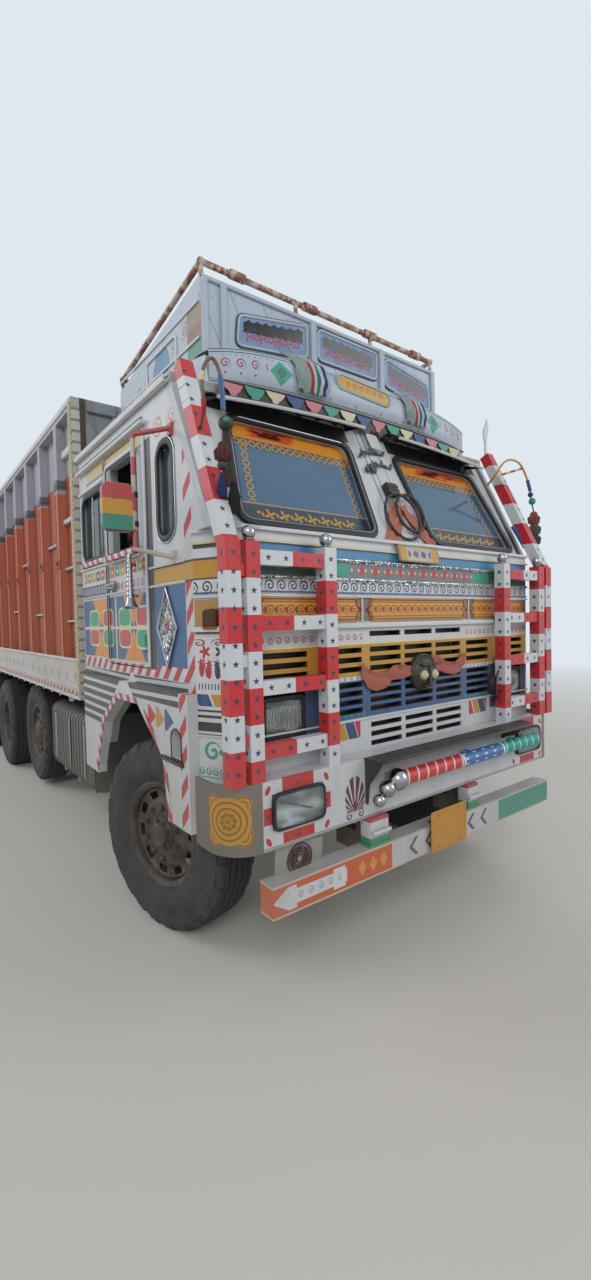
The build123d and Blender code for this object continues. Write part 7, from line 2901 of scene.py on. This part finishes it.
cushionRight = padPiece("seatCushionRight", seatShape["cushion"], 2)
backRight = padPiece("seatBackRight", seatShape["back"], 1)
cushionLeft, backLeft = mirrored(cushionRight, "seatCushionLeft"), mirrored(backRight, "seatBackLeft")
for piece in (cushionLeft, backLeft):
    settle(piece, paints["seat"], 60)
padPiece("benchCushion", seatShape["bench"], 2)
bases = []
for side in (-1, 1):
    x0, x1 = sorted((side * 0.500, side * 1.050))
    bases.append(cabBox("seatBox", (x0, x1), (0.975, 1.450), (1.402, 1.600), 0.008, 2))
    for z in (1.618, 1.640, 1.662):
        bases.append(cabBox("seatSpring", (x0 + 0.02, x1 - 0.02), (0.990, 1.440), (z - 0.006, z + 0.004)))
    for x in (x0 + 0.09, x1 - 0.09):
        bases.append(cabBox("seatBackLeg", (x - 0.015, x + 0.015), (1.462, 1.486), (1.640, 1.960), 0.004))
bases.append(cabBox("benchBox", (-1.085, 1.085), (1.580, 1.824), (1.402, 1.728), 0.008, 2))
settle(joined("seatBases", bases), paints["black"], 30)
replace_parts(cushionRight, "seats")
print("seats made")


# Steering wheel with a moulded grip, dials and vents on the dashboard
steeringShape = {
    "middle": (-0.720, 0.690, 2.010), "foot": (-0.720, 0.480, 1.408), "grip": 0.2215, "thick": 0.0135
}
middle, foot = Vector(cabSpot(*steeringShape["middle"])), Vector(cabSpot(*steeringShape["foot"]))
along = (middle - foot).normalized()
plane = Matrix.Translation(middle) @ along.to_track_quat("Z", "Y").to_matrix().to_4x4()
ringLine = [
    tuple(plane @ Vector((steeringShape["grip"] * math.cos(a), steeringShape["grip"] * math.sin(a), 0.012)))
    for a in (math.pi * i / 30 for i in range(60))
]
wheelParts = [pipePiece("wheelGrip", ringLine, steeringShape["thick"], 12, closed=True)]
for turn in (0, 90, 180, 270):
    spokeAt = plane @ rotation(turn, "Z")
    wheelParts.append(
        pipePiece(
            "wheelSpoke",
            [
                tuple(spokeAt @ Vector(q))
                for q in ((0.03, 0, 0.0), (0.10, 0, 0.004), (0.17, 0, 0.010), (0.215, 0, 0.012))
            ],
            0.011, 8, curved=True
        )
    )
hub = turnedPiece(
    "wheelHub",
    [(-0.030, 0.0001), (-0.030, 0.040), (-0.008, 0.052), (0.012, 0.052), (0.020, 0.044), (0.024, 0.0001)],
    28, plane @ xToZ
)
column = pipePiece(
    "steeringColumn",
    [
        tuple(foot), tuple(foot.lerp(middle, 0.55)), tuple(foot.lerp(middle, 0.62)),
        tuple(middle - along * 0.02)
    ],
    0.024, 16, taper=[1.0, 1.0, 1.35, 1.35]
)
wheelParts += [hub, column]
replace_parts(settle(joined("steeringWheel", wheelParts), paints["black"], 40), "steering_wheel")
dials = [cabBox("dialBinnacle", (-0.960, -0.480), (0.300, 0.345), (1.955, 2.020), 0.010, 2)]
faces = []
for x in (-0.88, -0.78, -0.66, -0.56):
    size = 0.030 if x in (-0.88, -0.56) else 0.045
    bezel = turnedPiece(
        "dialBezel", [(0.0, size), (0.008, size), (0.010, size - 0.004), (0.004, size - 0.006)], 24
    )
    face = turnedPiece("dialFace", [(0.002, size - 0.004), (0.0035, 0.0001)], 24)
    spot = Matrix.Translation(cabSpot(x, 0.361, 1.905)) @ rotation(90, "Z")
    bezel.data.transform(spot)
    face.data.transform(spot)
    dials.append(bezel)
    faces.append(face)
for x in (-0.20, 0.30, 0.80):
    for i in range(5):
        dials.append(
            cabBox(
                "ventSlat", (x - 0.09, x + 0.09), (0.352, 0.372), (1.860 + i * 0.016, 1.864 + i * 0.016),
                0.001
            )
        )
settle(joined("dashFittings", dials), paints["dash"], 30)
settle(joined("dialFaces", faces), paints["cream"], 30)
print("cab fittings made")


# Mirrors: silvered glass behind, a rubber edge, clamps on the tube
glassParts, edgeParts = [], []
silver = Paint("silveredGlass")
paints["silver"] = silver.finish(silver.mix(silver.noise(6.0, 3.0), "b9c2c8", "98a3aa"), 0.04, 1.0)
for side in (-1, 1):
    middle = Matrix.Translation(cabSpot(side * 1.4325, 0.480, 2.170)) @ Matrix(
        ((1, 0, 0, 0), (0, 0, 1, 0), (0, -1, 0, 0), (0, 0, 0, 1))
    )
    glassParts.append(
        platePiece("mirrorGlass", roundedBox(0.064, 0.096, 0.028), 0.003, middle @ lifted(-0.0005))
    )
    edgeParts.append(
        ringPiece(
            "mirrorEdge", roundedBox(0.064, 0.096, 0.028), 0.006, 0.001, 0.006, middle @ lifted(-0.001),
            0.002
        )
    )
    for z in (2.105, 2.235):
        edgeParts.append(
            turnedPiece(
                "mirrorClamp", [(-0.012, 0.0110), (-0.012, 0.0165), (0.012, 0.0165), (0.012, 0.0110)], 16,
                Matrix.Translation(cabSpot(side * 1.360, 0.465, z)) @ rotation(90, "Y")
            )
        )
settle(joined("mirrorGlass", glassParts), paints["silver"], 0)
settle(joined("mirrorEdges", edgeParts), paints["rubber"], 30)
print("mirrors made")
